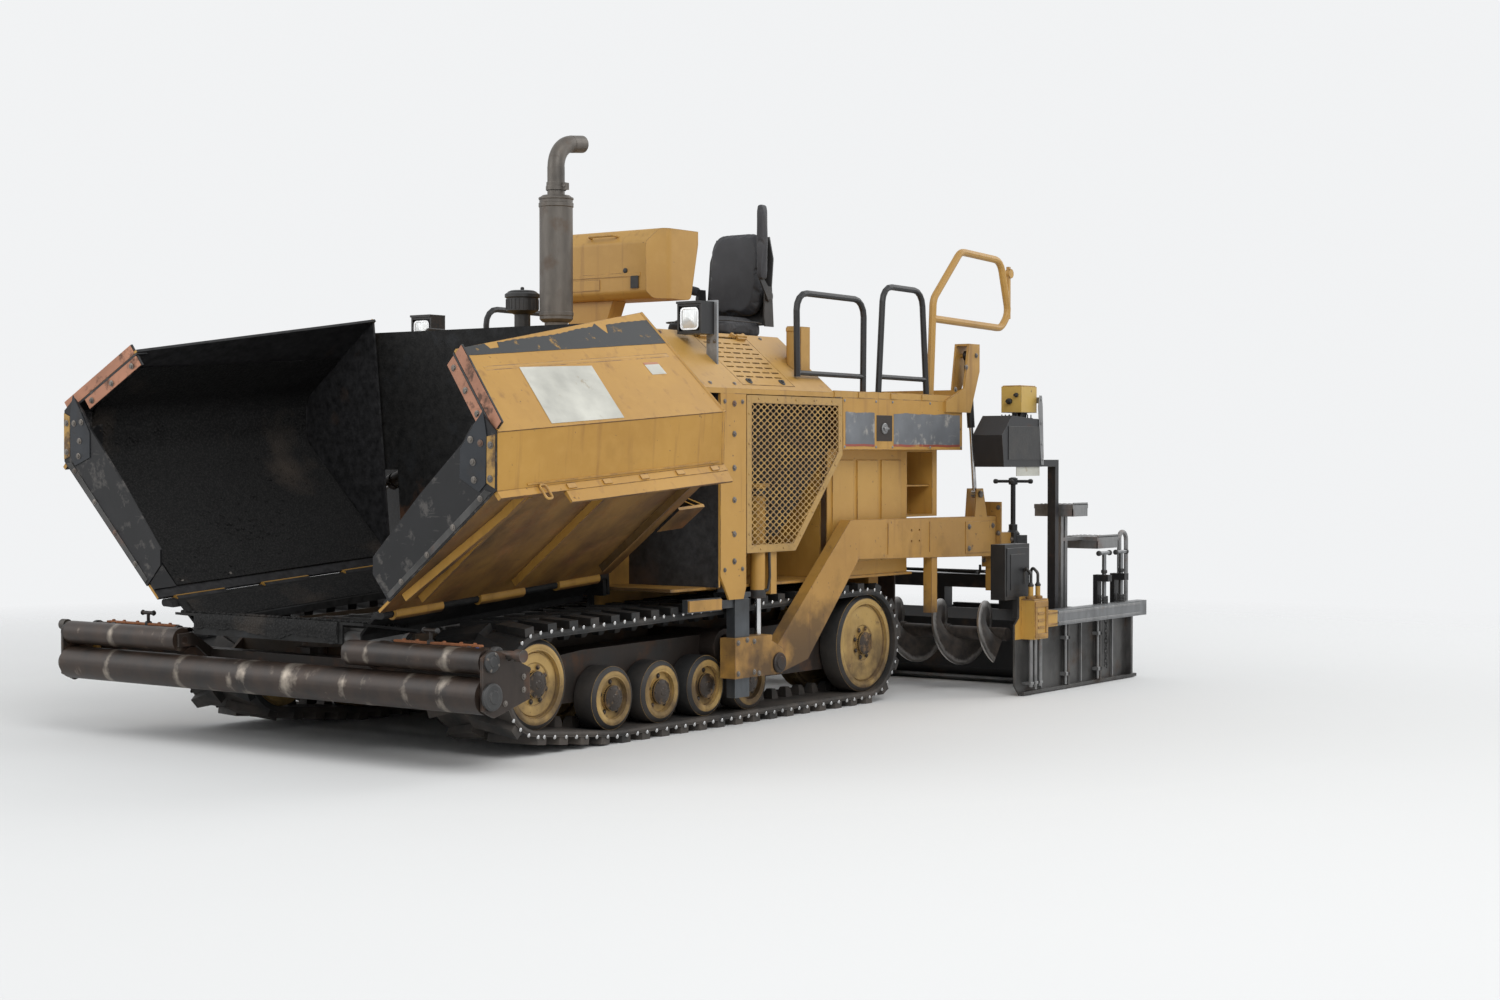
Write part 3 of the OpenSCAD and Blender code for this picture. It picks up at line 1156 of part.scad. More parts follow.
main_frame();
hopper_floor();
conveyors();
side(true) track_belt();  // track_belt_left
side(false) track_belt();  // track_belt_right
side(true) track_frame();  // track_frame_left
side(false) track_frame();  // track_frame_right
side(true) track_wheels();  // track_wheels_left
side(false) track_wheels();  // track_wheels_right
engine_block();
engine_cowl();
side_grilles();
side_panels();
operator_deck();
exhaust();
air_precleaner();
guard_rails();
grab_rail();
work_lamps();
tow_rails();
leveling_barrels();
auger_case();
console();
side(true) hood_door();  // hood_door_left
side(false) hood_door();  // hood_door_right
side(true) at_hinge(wing_left_a) hopper_wing();  // hopper_wing_left
side(false) at_hinge(wing_right_a) hopper_wing();  // hopper_wing_right
side(true) at_hinge(wing_left_a) wing_edging();  // wing_edging_left
side(false) at_hinge(wing_right_a) wing_edging();  // wing_edging_right
side(true) wing_barrel(wing_left_a);  // wing_barrel_left
side(false) wing_barrel(wing_right_a);  // wing_barrel_right
side(true) wing_rod(wing_left_a);  // wing_rod_left
side(false) wing_rod(wing_right_a);  // wing_rod_right
push_beam();
push_roller(-roller_half, roller_half, roller_z, low_r, 22);  // push_roller_lower
side(true) push_roller(up_in_y, roller_half, roller_up_z, up_r, 18);  // push_roller_left
side(false) push_roller(up_in_y, roller_half, roller_up_z, up_r, 18);  // push_roller_right
side(true) guide_rod(0);  // guide_rod_left
side(false) guide_rod(120);  // guide_rod_right
tow_carriages();
leveling_rods();
tow_arms();
screed_frame();
screed_plates();
screed_walkway();
side(true) extension();  // extension_left
side(false) extension();  // extension_right
side(true) end_gate();  // end_gate_left
side(false) end_gate();  // end_gate_right
side(true) auger();  // auger_left
side(false) auger();  // auger_right
lift_barrels();
lift_rods();
seat_stand();
seat_pads();
screed_panels();
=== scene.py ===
import bmesh
import bpy
import math
import numpy as np
from itertools import product
from mathutils import Matrix, Vector


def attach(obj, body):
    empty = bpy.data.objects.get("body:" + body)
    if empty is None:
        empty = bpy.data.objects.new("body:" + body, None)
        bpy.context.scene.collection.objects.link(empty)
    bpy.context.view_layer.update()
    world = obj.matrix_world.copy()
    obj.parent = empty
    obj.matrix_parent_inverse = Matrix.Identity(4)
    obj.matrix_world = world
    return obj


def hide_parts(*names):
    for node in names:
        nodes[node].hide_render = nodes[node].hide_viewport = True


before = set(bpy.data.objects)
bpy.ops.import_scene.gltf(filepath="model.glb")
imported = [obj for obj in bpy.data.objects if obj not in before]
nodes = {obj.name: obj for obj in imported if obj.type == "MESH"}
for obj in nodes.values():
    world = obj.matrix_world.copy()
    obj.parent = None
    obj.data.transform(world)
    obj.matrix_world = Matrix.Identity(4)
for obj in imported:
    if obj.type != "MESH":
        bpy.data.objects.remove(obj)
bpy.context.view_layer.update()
print("frame loaded")

# Camera: eye height and direction of the photograph

view = {"place": (9.72, 7.789, 1.346), "forward": (-0.80716, -0.59002, -0.01911), "lens": 54.0}
camData = bpy.data.cameras.new("camera")
camData.sensor_width = 36
camData.lens = view["lens"]
camera = bpy.data.objects.new("camera", camData)
camera.location = view["place"]
camera.rotation_mode = "QUATERNION"
camera.rotation_quaternion = Vector(view["forward"]).to_track_quat("-Z", "Y")
bpy.context.scene.collection.objects.link(camera)
bpy.context.scene.camera = camera
camData.clip_start, camData.clip_end = 0.1, 200
bpy.context.scene.view_settings.view_transform = "Standard"


# Shader helpers

class Wire:
    # a node's output; arithmetic on it adds Math nodes
    def __init__(self, tree, socket):
        self.tree, self.socket = tree, socket

    def math(self, operation, other=0.0, third=None):
        n = self.tree.nodes.new("ShaderNodeMath")
        n.operation = operation
        for i, v in enumerate((self, other, third)):
            if isinstance(v, Wire):
                self.tree.links.new(v.socket, n.inputs[i])
            elif v is not None:
                n.inputs[i].default_value = v
        return Wire(self.tree, n.outputs[0])

    def __add__(self, v):
        return self.math("ADD", v)

    __radd__ = __add__

    def __mul__(self, v):
        return self.math("MULTIPLY", v)

    __rmul__ = __mul__

    def __sub__(self, v):
        return self.math("SUBTRACT", v)

    def __rsub__(self, v):
        return (self * -1.0) + v

    def __pow__(self, v):
        return self.math("POWER", v)

    def capped(self):
        return self.math("MINIMUM", 1.0)

    def over(self, lo, hi):
        # 0 below lo, 1 above hi, a ramp between
        n = self.tree.nodes.new("ShaderNodeMapRange")
        n.inputs["From Min"].default_value, n.inputs["From Max"].default_value = lo, hi
        self.tree.links.new(self.socket, n.inputs["Value"])
        return Wire(self.tree, n.outputs[0])


class Finish:
    # one material and its node tree
    def __init__(self, name):
        self.mat = bpy.data.materials.new(name)
        self.mat.use_nodes = True
        self.tree = self.mat.node_tree
        self.shader = self.tree.nodes["Principled BSDF"]
        self.coord = Wire(self.tree, self.tree.nodes.new("ShaderNodeTexCoord").outputs["Object"])

    def node(self, kind, out=0, settings=None, **sockets):
        n = self.tree.nodes.new("ShaderNode" + kind)
        for k, v in (settings or {}).items():
            setattr(n, k, v)
        for k, v in sockets.items():
            target = (n.inputs[int(k[1:])] if k[0] == "i" and k[1:].isdigit()
                else n.inputs[k.replace("_", " ")])
            if isinstance(v, Wire):
                self.tree.links.new(v.socket, target)
            else:
                target.default_value = v
        return Wire(self.tree, n.outputs[out])

    def noise(self, scale, detail=4.0, stretch=None, rough=0.55, shift=0.0):
        at = self.coord
        if stretch or shift:
            at = self.node("Mapping", i0=self.coord, i1=(shift, shift * 0.7, shift * 1.3),
                i3=stretch or (1, 1, 1))
        return self.node("TexNoise", Vector=at, Scale=scale, Detail=detail, Roughness=rough)

    def cells(self, scale):
        return self.node("TexVoronoi", Vector=self.coord, Scale=scale)

    def edges(self, radius):
        # 1 along sharp edges: how far a rounded normal turns away from the face's own
        soft = self.node("Bevel", settings={"samples": 4}, Radius=radius)
        own = self.node("NewGeometry", out=1)
        return (1 - self.node("VectorMath", out=1, settings={"operation": "DOT_PRODUCT"}, i0=soft,
            i1=own)).over(0.015, 0.16)

    def axis(self, i):
        return self.node("SeparateXYZ", out=i, i0=self.coord)

    def mix(self, mask, a, b):
        # colour b where the mask is 1, colour a where it is 0
        return self.node("Mix", out=2, settings={"data_type": "RGBA"}, i0=mask, i6=a, i7=b)

    def put(self, colour=None, rough=None, metal=None, bump=None, height=0.002, strength=0.5, **others):
        for name, v in (("Base Color", colour), ("Roughness", rough), ("Metallic", metal)):
            if isinstance(v, Wire):
                self.tree.links.new(v.socket, self.shader.inputs[name])
            elif v is not None:
                self.shader.inputs[name].default_value = v
        for name, v in others.items():
            self.shader.inputs[name.replace("_", " ")].default_value = v
        if bump is not None:
            b = self.node("Bump", Height=bump, Distance=height, Strength=strength)
            self.tree.links.new(b.socket, self.shader.inputs["Normal"])
        return self.mat


def rgb(r, g, b):
    return (r, g, b, 1.0)


# Finishes

def paintLook(f, base, dirtAndShadeTop=0.8, dirtAndShade=0.7, chips=0.5):
    # faded paint: cloudy colour, dust and painted shade that thicken towards the ground, rusty streaks,
    # chips to dark steel
    r, g, b = base
    cloud = f.noise(1.6, 3)
    fine = f.noise(14, 6, shift=3.1)
    colour = f.mix(cloud.over(0.35, 0.7), rgb(r, g, b), rgb(r * 0.84, g * 0.81, b * 0.76))
    colour = f.mix(fine.over(0.45, 0.85) * 0.45, colour,
        rgb(min(1, r * 1.12), min(1, g * 1.17), min(1, b * 1.5)))
    streak = f.noise(5.5, 4, stretch=(3.2, 3.2, 0.22), shift=1.7).over(0.58, 0.8)
    colour = f.mix(streak * 0.6, colour, rgb(0.2, 0.085, 0.03))
    # darker towards the ground: dust, and painted shade low down
    low = (1 - f.axis(2).over(0.15, dirtAndShadeTop)) * dirtAndShade
    grime = (f.noise(4.2, 6, shift=7.7) + low * 0.3).over(0.6, 0.84)
    grime = (grime * (low * 0.8 + 0.3)).capped()
    colour = f.mix(grime * 0.85, colour, rgb(0.055, 0.036, 0.024))
    spots = f.noise(38, 3, shift=4.4).over(0.735 - 0.06 * chips, 0.76)
    flakes = f.noise(9, 8, rough=0.7, shift=9.2).over(0.69 - 0.05 * chips, 0.7)
    rubbed = f.edges(0.007) * fine.over(0.44 - 0.06 * chips, 0.56)
    bare = (spots + flakes + rubbed).capped()
    colour = f.mix(bare * 0.9, colour, rgb(0.1, 0.055, 0.035))
    return colour, 0.43 + fine * 0.12 + grime * 0.35, 0.0, fine * 0.25 - bare * 0.8 + grime * 0.5


def steelLook(f, base, rough=0.45, rust=0.35, metal=0.8, soot=0.3, rustColour=(0.16, 0.06, 0.025)):
    # bare steel: brushed variation, rust blotches and dark oil
    r, g, b = base
    brush = f.noise(30, 5, stretch=(1, 1, 0.3))
    blot = f.noise(6, 7, rough=0.65, shift=2.7)
    colour = f.mix(brush.over(0.3, 0.75), rgb(r * 0.72, g * 0.72, b * 0.72), rgb(r, g, b))
    rustMask = blot.over(0.62 - 0.2 * rust, 0.72 - 0.1 * rust) * min(1, rust * 2)
    colour = f.mix(rustMask * 0.85, colour, rgb(*rustColour))
    oil = f.noise(3.1, 5, shift=8.8).over(0.62 - 0.25 * soot, 0.8 - 0.2 * soot)
    colour = f.mix(oil * 0.85, colour, rgb(0.01, 0.009, 0.008))
    rubbed = f.edges(0.005) * brush.over(0.38, 0.6)
    colour = f.mix(rubbed * 0.55, colour, rgb(min(1, r + 0.13), min(1, g + 0.12), min(1, b + 0.11)))
    roughness = rough + rustMask * 0.35 + brush * 0.1
    shine = (1 - rustMask * 0.9) * (1 - oil * 0.7) * metal
    return colour, roughness, shine, brush * 0.4 + blot * 0.6


def filmLook(f):
    # asphalt film: black crust, dull brown where it thins out
    crust = f.noise(26, 8, rough=0.66, shift=2.2)
    colour = f.mix(crust.over(0.35, 0.75), rgb(0.008, 0.008, 0.0085), rgb(0.044, 0.043, 0.045))
    colour = f.mix(f.noise(2.3, 5, shift=5.9).over(0.64, 0.74) * 0.6, colour, rgb(0.085, 0.052, 0.036))
    return colour, 0.46 + crust * 0.35, 0.0, crust * 2.2


def joined(f, mask, one, two):
    # the second look where the mask is 1
    colour = f.mix(mask, one[0], two[0])
    return (colour, *(p * (1 - mask) + mask * q for p, q in zip(one[1:], two[1:])))


def paintFinish(name, base, *settings):
    f = Finish(name)
    return f.put(*paintLook(f, base, *settings), height=0.0018, strength=0.55)


def steelFinish(name, base, *settings):
    f = Finish(name)
    return f.put(*steelLook(f, base, *settings), height=0.0015, strength=0.5)


def wingFinish(name, base, innerSide):
    # hopper sheet: paint outside, black film inside, painted shade with rust and oil stains on the plate
    # that faces the ground
    f = Finish(name)
    way = f.node("TexCoord", out=1)
    x, y, z = (f.node("SeparateXYZ", out=i, i0=way) for i in range(3))
    ahead = x.over(0.45, 0.6) * (1 - f.axis(0).over(1.4, 1.5))
    inner = (y * innerSide).over(0.25, 0.5).math("MAXIMUM", ahead)
    # the plate that faces the ground turns to dark rusty steel: painted shade, broken up by rust stains
    under = (z * -1.0).over(0.35, 0.6)
    under = under * (f.noise(3.4, 6, stretch=(1, 0.5, 0.5), shift=4.8).over(0.3, 0.55) * 0.35 + 0.62)
    look = joined(f, under, paintLook(f, base, dirtAndShadeTop=1.0, chips=0.35),
        steelLook(f, (0.125, 0.062, 0.024), rough=0.5, rust=0.4, metal=0.0, soot=0.45))
    return f.put(*joined(f, inner, look, filmLook(f)), height=0.0022, strength=0.6, Specular_IOR_Level=0.3)


def frameFinish(name):
    # paint above; dark oily steel with painted shade low down and under the hopper
    f = Finish(name)
    # low down and under the hopper the paint gives way to dark oily steel: oil, and painted shade
    low = 1 - (f.axis(2) + f.noise(3.0, 5, shift=1.2) * 0.25).over(0.6, 0.78)
    front = f.axis(0).over(1.12, 1.2) * (1 - f.axis(2).over(1.2, 1.4))
    rear = 1 - f.axis(0).over(-1.02, -0.94)
    mask = low.math("MAXIMUM", front) * (1 - rear * 0.75)
    look = paintLook(f, (0.45, 0.24, 0.052), dirtAndShadeTop=1.1, dirtAndShade=0.9, chips=0.8)
    mask = mask * 0.94
    oilAndShade = steelLook(f, (0.035, 0.028, 0.024), 0.5, 0.5, 0.3, 0.6, (0.1, 0.05, 0.026))
    return f.put(*joined(f, mask, look, oilAndShade), height=0.002, strength=0.6)


def panelFinish(name, base):
    # side panels: paint, but black film on the inner flange that faces into the hopper
    f = Finish(name)
    ahead = f.node("SeparateXYZ", out=0, i0=f.node("TexCoord", out=1)).over(0.5, 0.6)
    ahead = ahead * f.axis(0).over(0.86, 0.87)
    ahead = ahead * (1 - f.axis(1).math("ABSOLUTE").over(1.15, 1.1515))
    return f.put(*joined(f, ahead, paintLook(f, base), filmLook(f)), height=0.0018, strength=0.55)


def gateFinish(name):
    # end gate: smeared dark plate, silvery beam on top, yellow gear box, black case at the front
    f = Finish(name)
    z, y, x = f.axis(2), f.axis(1).math("ABSOLUTE"), f.axis(0)
    plate = steelLook(f, (0.115, 0.112, 0.108), rough=0.42, rust=0.45, metal=0.5, soot=0.85,
        rustColour=(0.1, 0.065, 0.045))
    beam = steelLook(f, (0.23, 0.235, 0.24), rough=0.34, rust=0.15, metal=0.8, soot=0.35)
    paint = paintLook(f, (0.55, 0.32, 0.07), dirtAndShadeTop=0.9, dirtAndShade=0.4, chips=0.9)
    black = steelLook(f, (0.022, 0.022, 0.023), rough=0.4, rust=0.15, metal=0.2, soot=0.2)
    outside = y.over(1.5505, 1.5515)
    motor = x.over(-1.6995, -1.6985) * z.over(0.379, 0.38)
    box = motor.math("MAXIMUM", x.over(-1.5615, -1.5605) * z.over(0.319, 0.32)) * outside
    look = joined(f, z.over(0.378, 0.38) * outside, plate, beam)
    look = joined(f, box, look, paint)
    case = (1 - y.over(1.537, 1.538)) * z.over(0.43, 0.432)
    return f.put(*joined(f, case, look, black), height=0.0018, strength=0.55)


def splitFinish(name, axis, at, below, above):
    # one look below a height or distance, another above it
    f = Finish(name)
    mask = f.axis(axis).math("ABSOLUTE").over(at - 0.0005, at + 0.0005)
    return f.put(*joined(f, mask, below(f), above(f)), height=0.0016, strength=0.5)


def rollerFinish(name):
    # dark brown roller: bright worn bands round it where tyres rub, rust and asphalt film elsewhere
    f = Finish(name)
    band = f.node("TexNoise", Vector=f.node("Mapping", i0=f.coord, i3=(0.02, 3.0, 0.02)), Scale=2.2,
        Detail=5.0)
    smear = f.noise(7, 7, rough=0.62)
    worn = (band * 0.7 + smear * 0.45).over(0.63, 0.72)
    colour = f.mix(smear.over(0.35, 0.7), rgb(0.012, 0.008, 0.006), rgb(0.048, 0.028, 0.018))
    colour = f.mix(worn * 0.8, colour, rgb(0.42, 0.37, 0.31))
    return f.put(colour, 0.32 + smear * 0.22 - worn * 0.05, worn * 0.7 + 0.15, smear, height=0.002,
        strength=0.5)


def rubberFinish(name, base=0.018, dust=0.5, shine=0.6):
    f = Finish(name)
    grit = f.noise(60, 5)
    patch = f.noise(5, 6, shift=3.3)
    low = 1 - f.axis(2).over(0.02, 0.5)
    mask = (patch + low * 0.2).over(0.5, 0.78) * dust
    colour = f.mix(mask, rgb(base, base, base), rgb(0.13, 0.105, 0.085))
    return f.put(colour, shine + grit * 0.2, 0.0, grit * 0.5 + patch * 0.6, height=0.002, strength=0.6)


def asphaltFinish(name):
    # crusted mix: black binder with grey stones
    f = Finish(name)
    stones = f.cells(95)
    lumps = f.noise(30, 7, rough=0.7)
    colour = f.mix(stones.over(0.0, 0.6), rgb(0.026, 0.025, 0.024), rgb(0.005, 0.005, 0.005))
    colour = f.mix(f.noise(2.0, 5, shift=6.1).over(0.58, 0.75) * 0.6, colour, rgb(0.075, 0.058, 0.045))
    return f.put(colour, 0.62 + lumps * 0.3, 0.0, lumps - stones * 0.7, height=0.006, strength=0.8,
        Specular_IOR_Level=0.3)


def hopperFinish(name):
    # black film over steel, scraped blue-grey where mix slides, rust brown round the gates
    f = Finish(name)
    crust = f.noise(24, 8, rough=0.68)
    scrape = f.noise(5, 6, stretch=(0.35, 1.6, 1.6), shift=4.1).over(0.55, 0.68)
    colour = f.mix(crust.over(0.35, 0.75), rgb(0.005, 0.005, 0.005), rgb(0.026, 0.025, 0.024))
    colour = f.mix(scrape * 0.5, colour, rgb(0.045, 0.047, 0.05))
    wall = (1 - f.axis(0).over(1.34, 1.44)) * (1 - f.axis(2).over(1.05, 1.3)) * f.axis(2).over(0.66, 0.8)
    brown = (f.noise(3.4, 6, rough=0.6, shift=6.6) + wall * 0.25).over(0.68, 0.78) * wall
    colour = f.mix(brown, colour, rgb(0.105, 0.052, 0.03))
    return f.put(colour, 0.5 + crust * 0.35 - scrape * 0.1, scrape * 0.4, crust, height=0.005, strength=0.7,
        Specular_IOR_Level=0.25)


def bandFinish(name, base, worn, amount=0.5, rough=0.4, metal=0.3):
    # one paint rubbed through to another colour in patches and scratches
    f = Finish(name)
    patch = f.noise(11, 7, rough=0.66)
    scratch = f.noise(26, 4, stretch=(0.25, 0.25, 2.4), shift=5.3).over(0.66, 0.7)
    mask = patch.over(0.66 - 0.22 * amount, 0.72 - 0.16 * amount) * 0.85
    mask = (mask + scratch * 0.6 * amount).capped()
    cloud = f.noise(4, 4, shift=1.9)
    r, g, b = base
    colour = f.mix(cloud.over(0.35, 0.7), rgb(r * 0.75, g * 0.75, b * 0.75),
        rgb(min(1, r * 1.2), min(1, g * 1.2), min(1, b * 1.2)))
    colour = f.mix(mask, colour, rgb(*worn))
    return f.put(colour, rough + mask * 0.25 + cloud * 0.1, (1 - mask) * metal, patch - mask * 0.5,
        height=0.0015, strength=0.5)


def finFinish(name):
    # dark cooler core: close upright fins
    f = Finish(name)
    fins = (f.axis(0) * 900.0).math("SINE")
    dust = f.noise(9, 5).over(0.5, 0.8)
    colour = f.mix(dust * 0.6, rgb(0.01, 0.01, 0.01), rgb(0.06, 0.048, 0.038))
    return f.put(colour, 0.6 + dust * 0.2, 0.3, fins * 0.5 + dust, height=0.002, strength=0.7)


def lensFinish(name):
    # clear fluted lamp glass over a bright pan
    f = Finish(name)
    flute = (f.axis(1) * 520.0).math("SINE")
    dust = f.noise(14, 5).over(0.5, 0.85)
    colour = f.mix(dust * 0.5, rgb(0.74, 0.77, 0.78), rgb(0.42, 0.38, 0.32))
    return f.put(colour, 0.1 + dust * 0.4, 0.25, flute, height=0.0012, strength=0.4, Coat_Weight=1.0)


def augerFinish(name):
    # screw: rusty black near the shaft, polished bright towards the rim
    f = Finish(name)
    x, z = f.axis(0) + 1.48, f.axis(2) - 0.335
    far = (x * x + z * z) ** 0.5
    smear = f.noise(18, 6, rough=0.62)
    bright = (far.over(0.1, 0.2) + smear * 0.5).over(0.75, 1.05)
    colour = f.mix(smear.over(0.35, 0.7), rgb(0.014, 0.012, 0.011), rgb(0.06, 0.045, 0.035))
    colour = f.mix(bright, colour, rgb(0.4, 0.38, 0.36))
    return f.put(colour, 0.62 - bright * 0.32, bright * 0.9, smear, height=0.002, strength=0.5)


def vinylFinish(name):
    f = Finish(name)
    grain = f.cells(420)
    fold = f.noise(7, 4)
    colour = f.mix(fold.over(0.35, 0.75), rgb(0.02, 0.02, 0.023), rgb(0.05, 0.05, 0.055))
    dusty = f.noise(3.2, 6, shift=2.9).over(0.55, 0.8)
    colour = f.mix(dusty * 0.5, colour, rgb(0.14, 0.125, 0.11))
    return f.put(colour, 0.5 + fold * 0.2, 0.0, grain * 0.4 + fold * 0.5, height=0.001, strength=0.4)


ochre = (0.5, 0.274, 0.058)
finishes = {
    "wingLeft": wingFinish("hopperSheetLeft", ochre, -1),
    "wingRight": wingFinish("hopperSheetRight", ochre, 1),
    "frame": frameFinish("frameOchre"),
    "sidePanel": panelFinish("panelOchre", ochre),
    "gate": gateFinish("gateSteel"),
    "panels": splitFinish("controlCases", 2, 1.6015, lambda f: steelLook(f, (0.02, 0.02, 0.022), rough=0.4,
    rust=0.12, metal=0.15, soot=0.2),
                          lambda f: paintLook(f, (0.6, 0.4, 0.1), chips=0.4)),
    "lampSteel": splitFinish("lampSteel", 0, 0.7345, lambda f: steelLook(f, (0.34, 0.35, 0.36), rough=0.45,
    rust=0.12, metal=0.2, soot=0.15),
                             lambda f: steelLook(f, (0.018, 0.018, 0.019), rough=0.4, rust=0.1, metal=0.2,
                             soot=0.1)),
    "roller": rollerFinish("rollerSkin"),
    "asphalt": asphaltFinish("asphaltCrust"),
    "hopperBlack": hopperFinish("hopperFilm"),
    "core": finFinish("coolerCore"),
    "lens": lensFinish("lampGlass"),
    "augerSteel": augerFinish("augerSteel"),
    "vinyl": vinylFinish("charcoalVinyl"),
}

# faded paints: material, colour, height up to which dust and painted shade reach, strength of dust and
# painted shade, chips
paintRows = {
    "paint": ("fadedOchre", ochre),
    "paintHigh": ("fadedOchreUpper", (0.51, 0.29, 0.07), 0.6, 0.3, 0.2),
    "paintLow": ("fadedOchreLower", (0.455, 0.246, 0.056), 1.0, 1.15, 1.1),
    "rim": ("greasyRim", (0.49, 0.32, 0.105), 0.7, 0.95, 1.2),
    "mesh": ("meshOchre", (0.46, 0.28, 0.085), 1.2, 0.9, 0.8),
}

# steels: material, colour, roughness, rust, metal, soot, colour of the rust
steelRows = {
    "blackPaint": ("wornBlack", (0.017, 0.017, 0.018), 0.42, 0.22, 0.15, 0.2, (0.1, 0.055, 0.03)),
    "grime": ("oilySteel", (0.042, 0.031, 0.025), 0.5, 0.5, 0.35, 0.6, (0.11, 0.055, 0.03)),
    "rail": ("railSteel", (0.1, 0.11, 0.12), 0.36, 0.2, 0.6, 0.4),
    "dull": ("dullSteel", (0.1, 0.09, 0.08), 0.45, 0.4, 0.5, 0.6),
    "orangeRust": ("orangeRust", (0.36, 0.13, 0.045), 0.6, 0.4, 0.1, 0.3, (0.3, 0.1, 0.03)),
    "wear": ("hopperSteel", (0.1, 0.098, 0.095), 0.38, 0.25, 0.6, 0.55),
    "bare": ("greySteel", (0.29, 0.29, 0.29), 0.4, 0.25, 0.75, 0.35),
    "rod": ("brightRod", (0.66, 0.66, 0.66), 0.14, 0.0, 1.0, 0.0),
    "cast": ("darkCasting", (0.06, 0.06, 0.06), 0.55, 0.3, 0.3, 0.6),
    "exhaust": ("brownExhaust", (0.155, 0.138, 0.12), 0.42, 0.35, 0.55, 0.2, (0.115, 0.075, 0.05)),
    "wornBolt": ("boltSteel", (0.2, 0.18, 0.16), 0.42, 0.45, 0.7, 0.3),
}

# rubbed paints: material, colour, the colour below, amount, roughness, metal
bandRows = {
    "yellowWorn": ("rubbedYellow", (0.44, 0.26, 0.07), (0.075, 0.045, 0.032), 1.0, 0.5, 0.1),
    "bluedSteel": ("bluedSteel", (0.042, 0.045, 0.05), (0.016, 0.015, 0.015), 0.6, 0.34, 0.7),
    "lipSteel": ("lipSteel", (0.011, 0.011, 0.012), (0.085, 0.078, 0.072), 0.5, 0.4, 0.3),
    "pinkRust": ("pinkishRust", (0.46, 0.215, 0.13), (0.085, 0.048, 0.034), 0.6, 0.6, 0.15),
    "bluedPaint": ("slateBand", (0.014, 0.016, 0.017), (0.46, 0.26, 0.062), 0.18, 0.5, 0.0),
    "signWhite": ("agedWhite", (0.56, 0.55, 0.485), (0.36, 0.29, 0.19), 0.16, 0.45, 0.0),
    "fadedGrey": ("fadedGrey", (0.15, 0.158, 0.17), (0.36, 0.34, 0.31), 0.45, 0.42, 0.0),
    "fadedRed": ("fadedRed", (0.33, 0.07, 0.045), (0.5, 0.29, 0.08), 0.3, 0.42, 0.0),
    "blueTape": ("blueTape", (0.02, 0.13, 0.4), (0.05, 0.05, 0.05), 0.2, 0.4, 0.0),
    "hubGrease": ("greasyHub", (0.036, 0.026, 0.019), (0.2, 0.115, 0.045), 0.5, 0.26, 0.3),
}

# rubbers: material, grey, dust, shine
rubberRows = {
    "tyre": ("wheelRubber", 0.012, 0.25, 0.5),
    "rubber": ("trackRubber",),
    "plastic": ("blackPlastic", 0.022, 0.25, 0.42),
    "soot": ("soot", 0.008, 0.1, 0.85),
    "blackHose": ("hoseRubber", 0.012, 0.35, 0.38),
}
for make, rows in ((paintFinish, paintRows), (steelFinish, steelRows), (bandFinish, bandRows),
        (rubberFinish, rubberRows)):
    finishes.update({key: make(*row) for key, row in rows.items()})
print("finishes made")

finishNodes = {
    "frame": "main_frame",
    "hopperBlack": "hopper_floor",
    "wear": "conveyors auger_left auger_right",
    "rubber": "track_belt_left track_belt_right",
    "grime": "track_frame_left track_frame_right auger_case wing_barrel_left wing_barrel_right push_beam",
    "rim": "track_wheels_left track_wheels_right",
    "cast": "engine_block",
    "paintHigh": "engine_cowl operator_deck grab_rail console hood_door_left hood_door_right",
    "mesh": "side_grilles",
    "sidePanel": "side_panels",
    "exhaust": "exhaust",
    "plastic": "air_precleaner",
    "blackPaint": "guard_rails screed_frame extension_left extension_right lift_barrels seat_stand",
    "lampSteel": "work_lamps",
    "rail": "tow_rails",
    "paint": "leveling_barrels",
    "wingLeft": "hopper_wing_left",
    "wingRight": "hopper_wing_right",
    "lipSteel": "wing_edging_left wing_edging_right",
    "rod": "wing_rod_left wing_rod_right leveling_rods lift_rods",
    "roller": "push_roller_lower push_roller_left push_roller_right",
    "dull": "guide_rod_left guide_rod_right",
    "paintLow": "tow_carriages tow_arms",
    "bare": "screed_plates screed_walkway",
    "gate": "end_gate_left end_gate_right",
    "vinyl": "seat_pads",
    "panels": "screed_panels",
}
for name, finish in [(name, finish) for finish, group in finishNodes.items() for name in group.split()]:
    mats = nodes[name].data.materials
    mats.clear()
    mats.append(finishes[finish])
print("nodes finished")

# the slot of a piece by its finish; all others take yellow_paint
slots = {finish: slot for slot, group in {
    "worn_steel": "asphalt augerSteel bluedSteel orangeRust pinkRust wear",
    "bare_steel": "bare lens",
    "rubber": "blackHose rubber tyre",
    "black_paint": "blackPaint bluedPaint core grime",
    "black_plastic": "blueTape plastic",
    "cast_metal": "cast hubGrease wornBolt",
    "exhaust_steel": "exhaust soot",
    "greasy_yellow": "rim",
    "bright_rod": "rod",
}.items() for finish in group.split()}


# Shape helpers: all sizes in metres, whole arrays, faces counterclockwise from outside

toTop = (0, 0, 1)


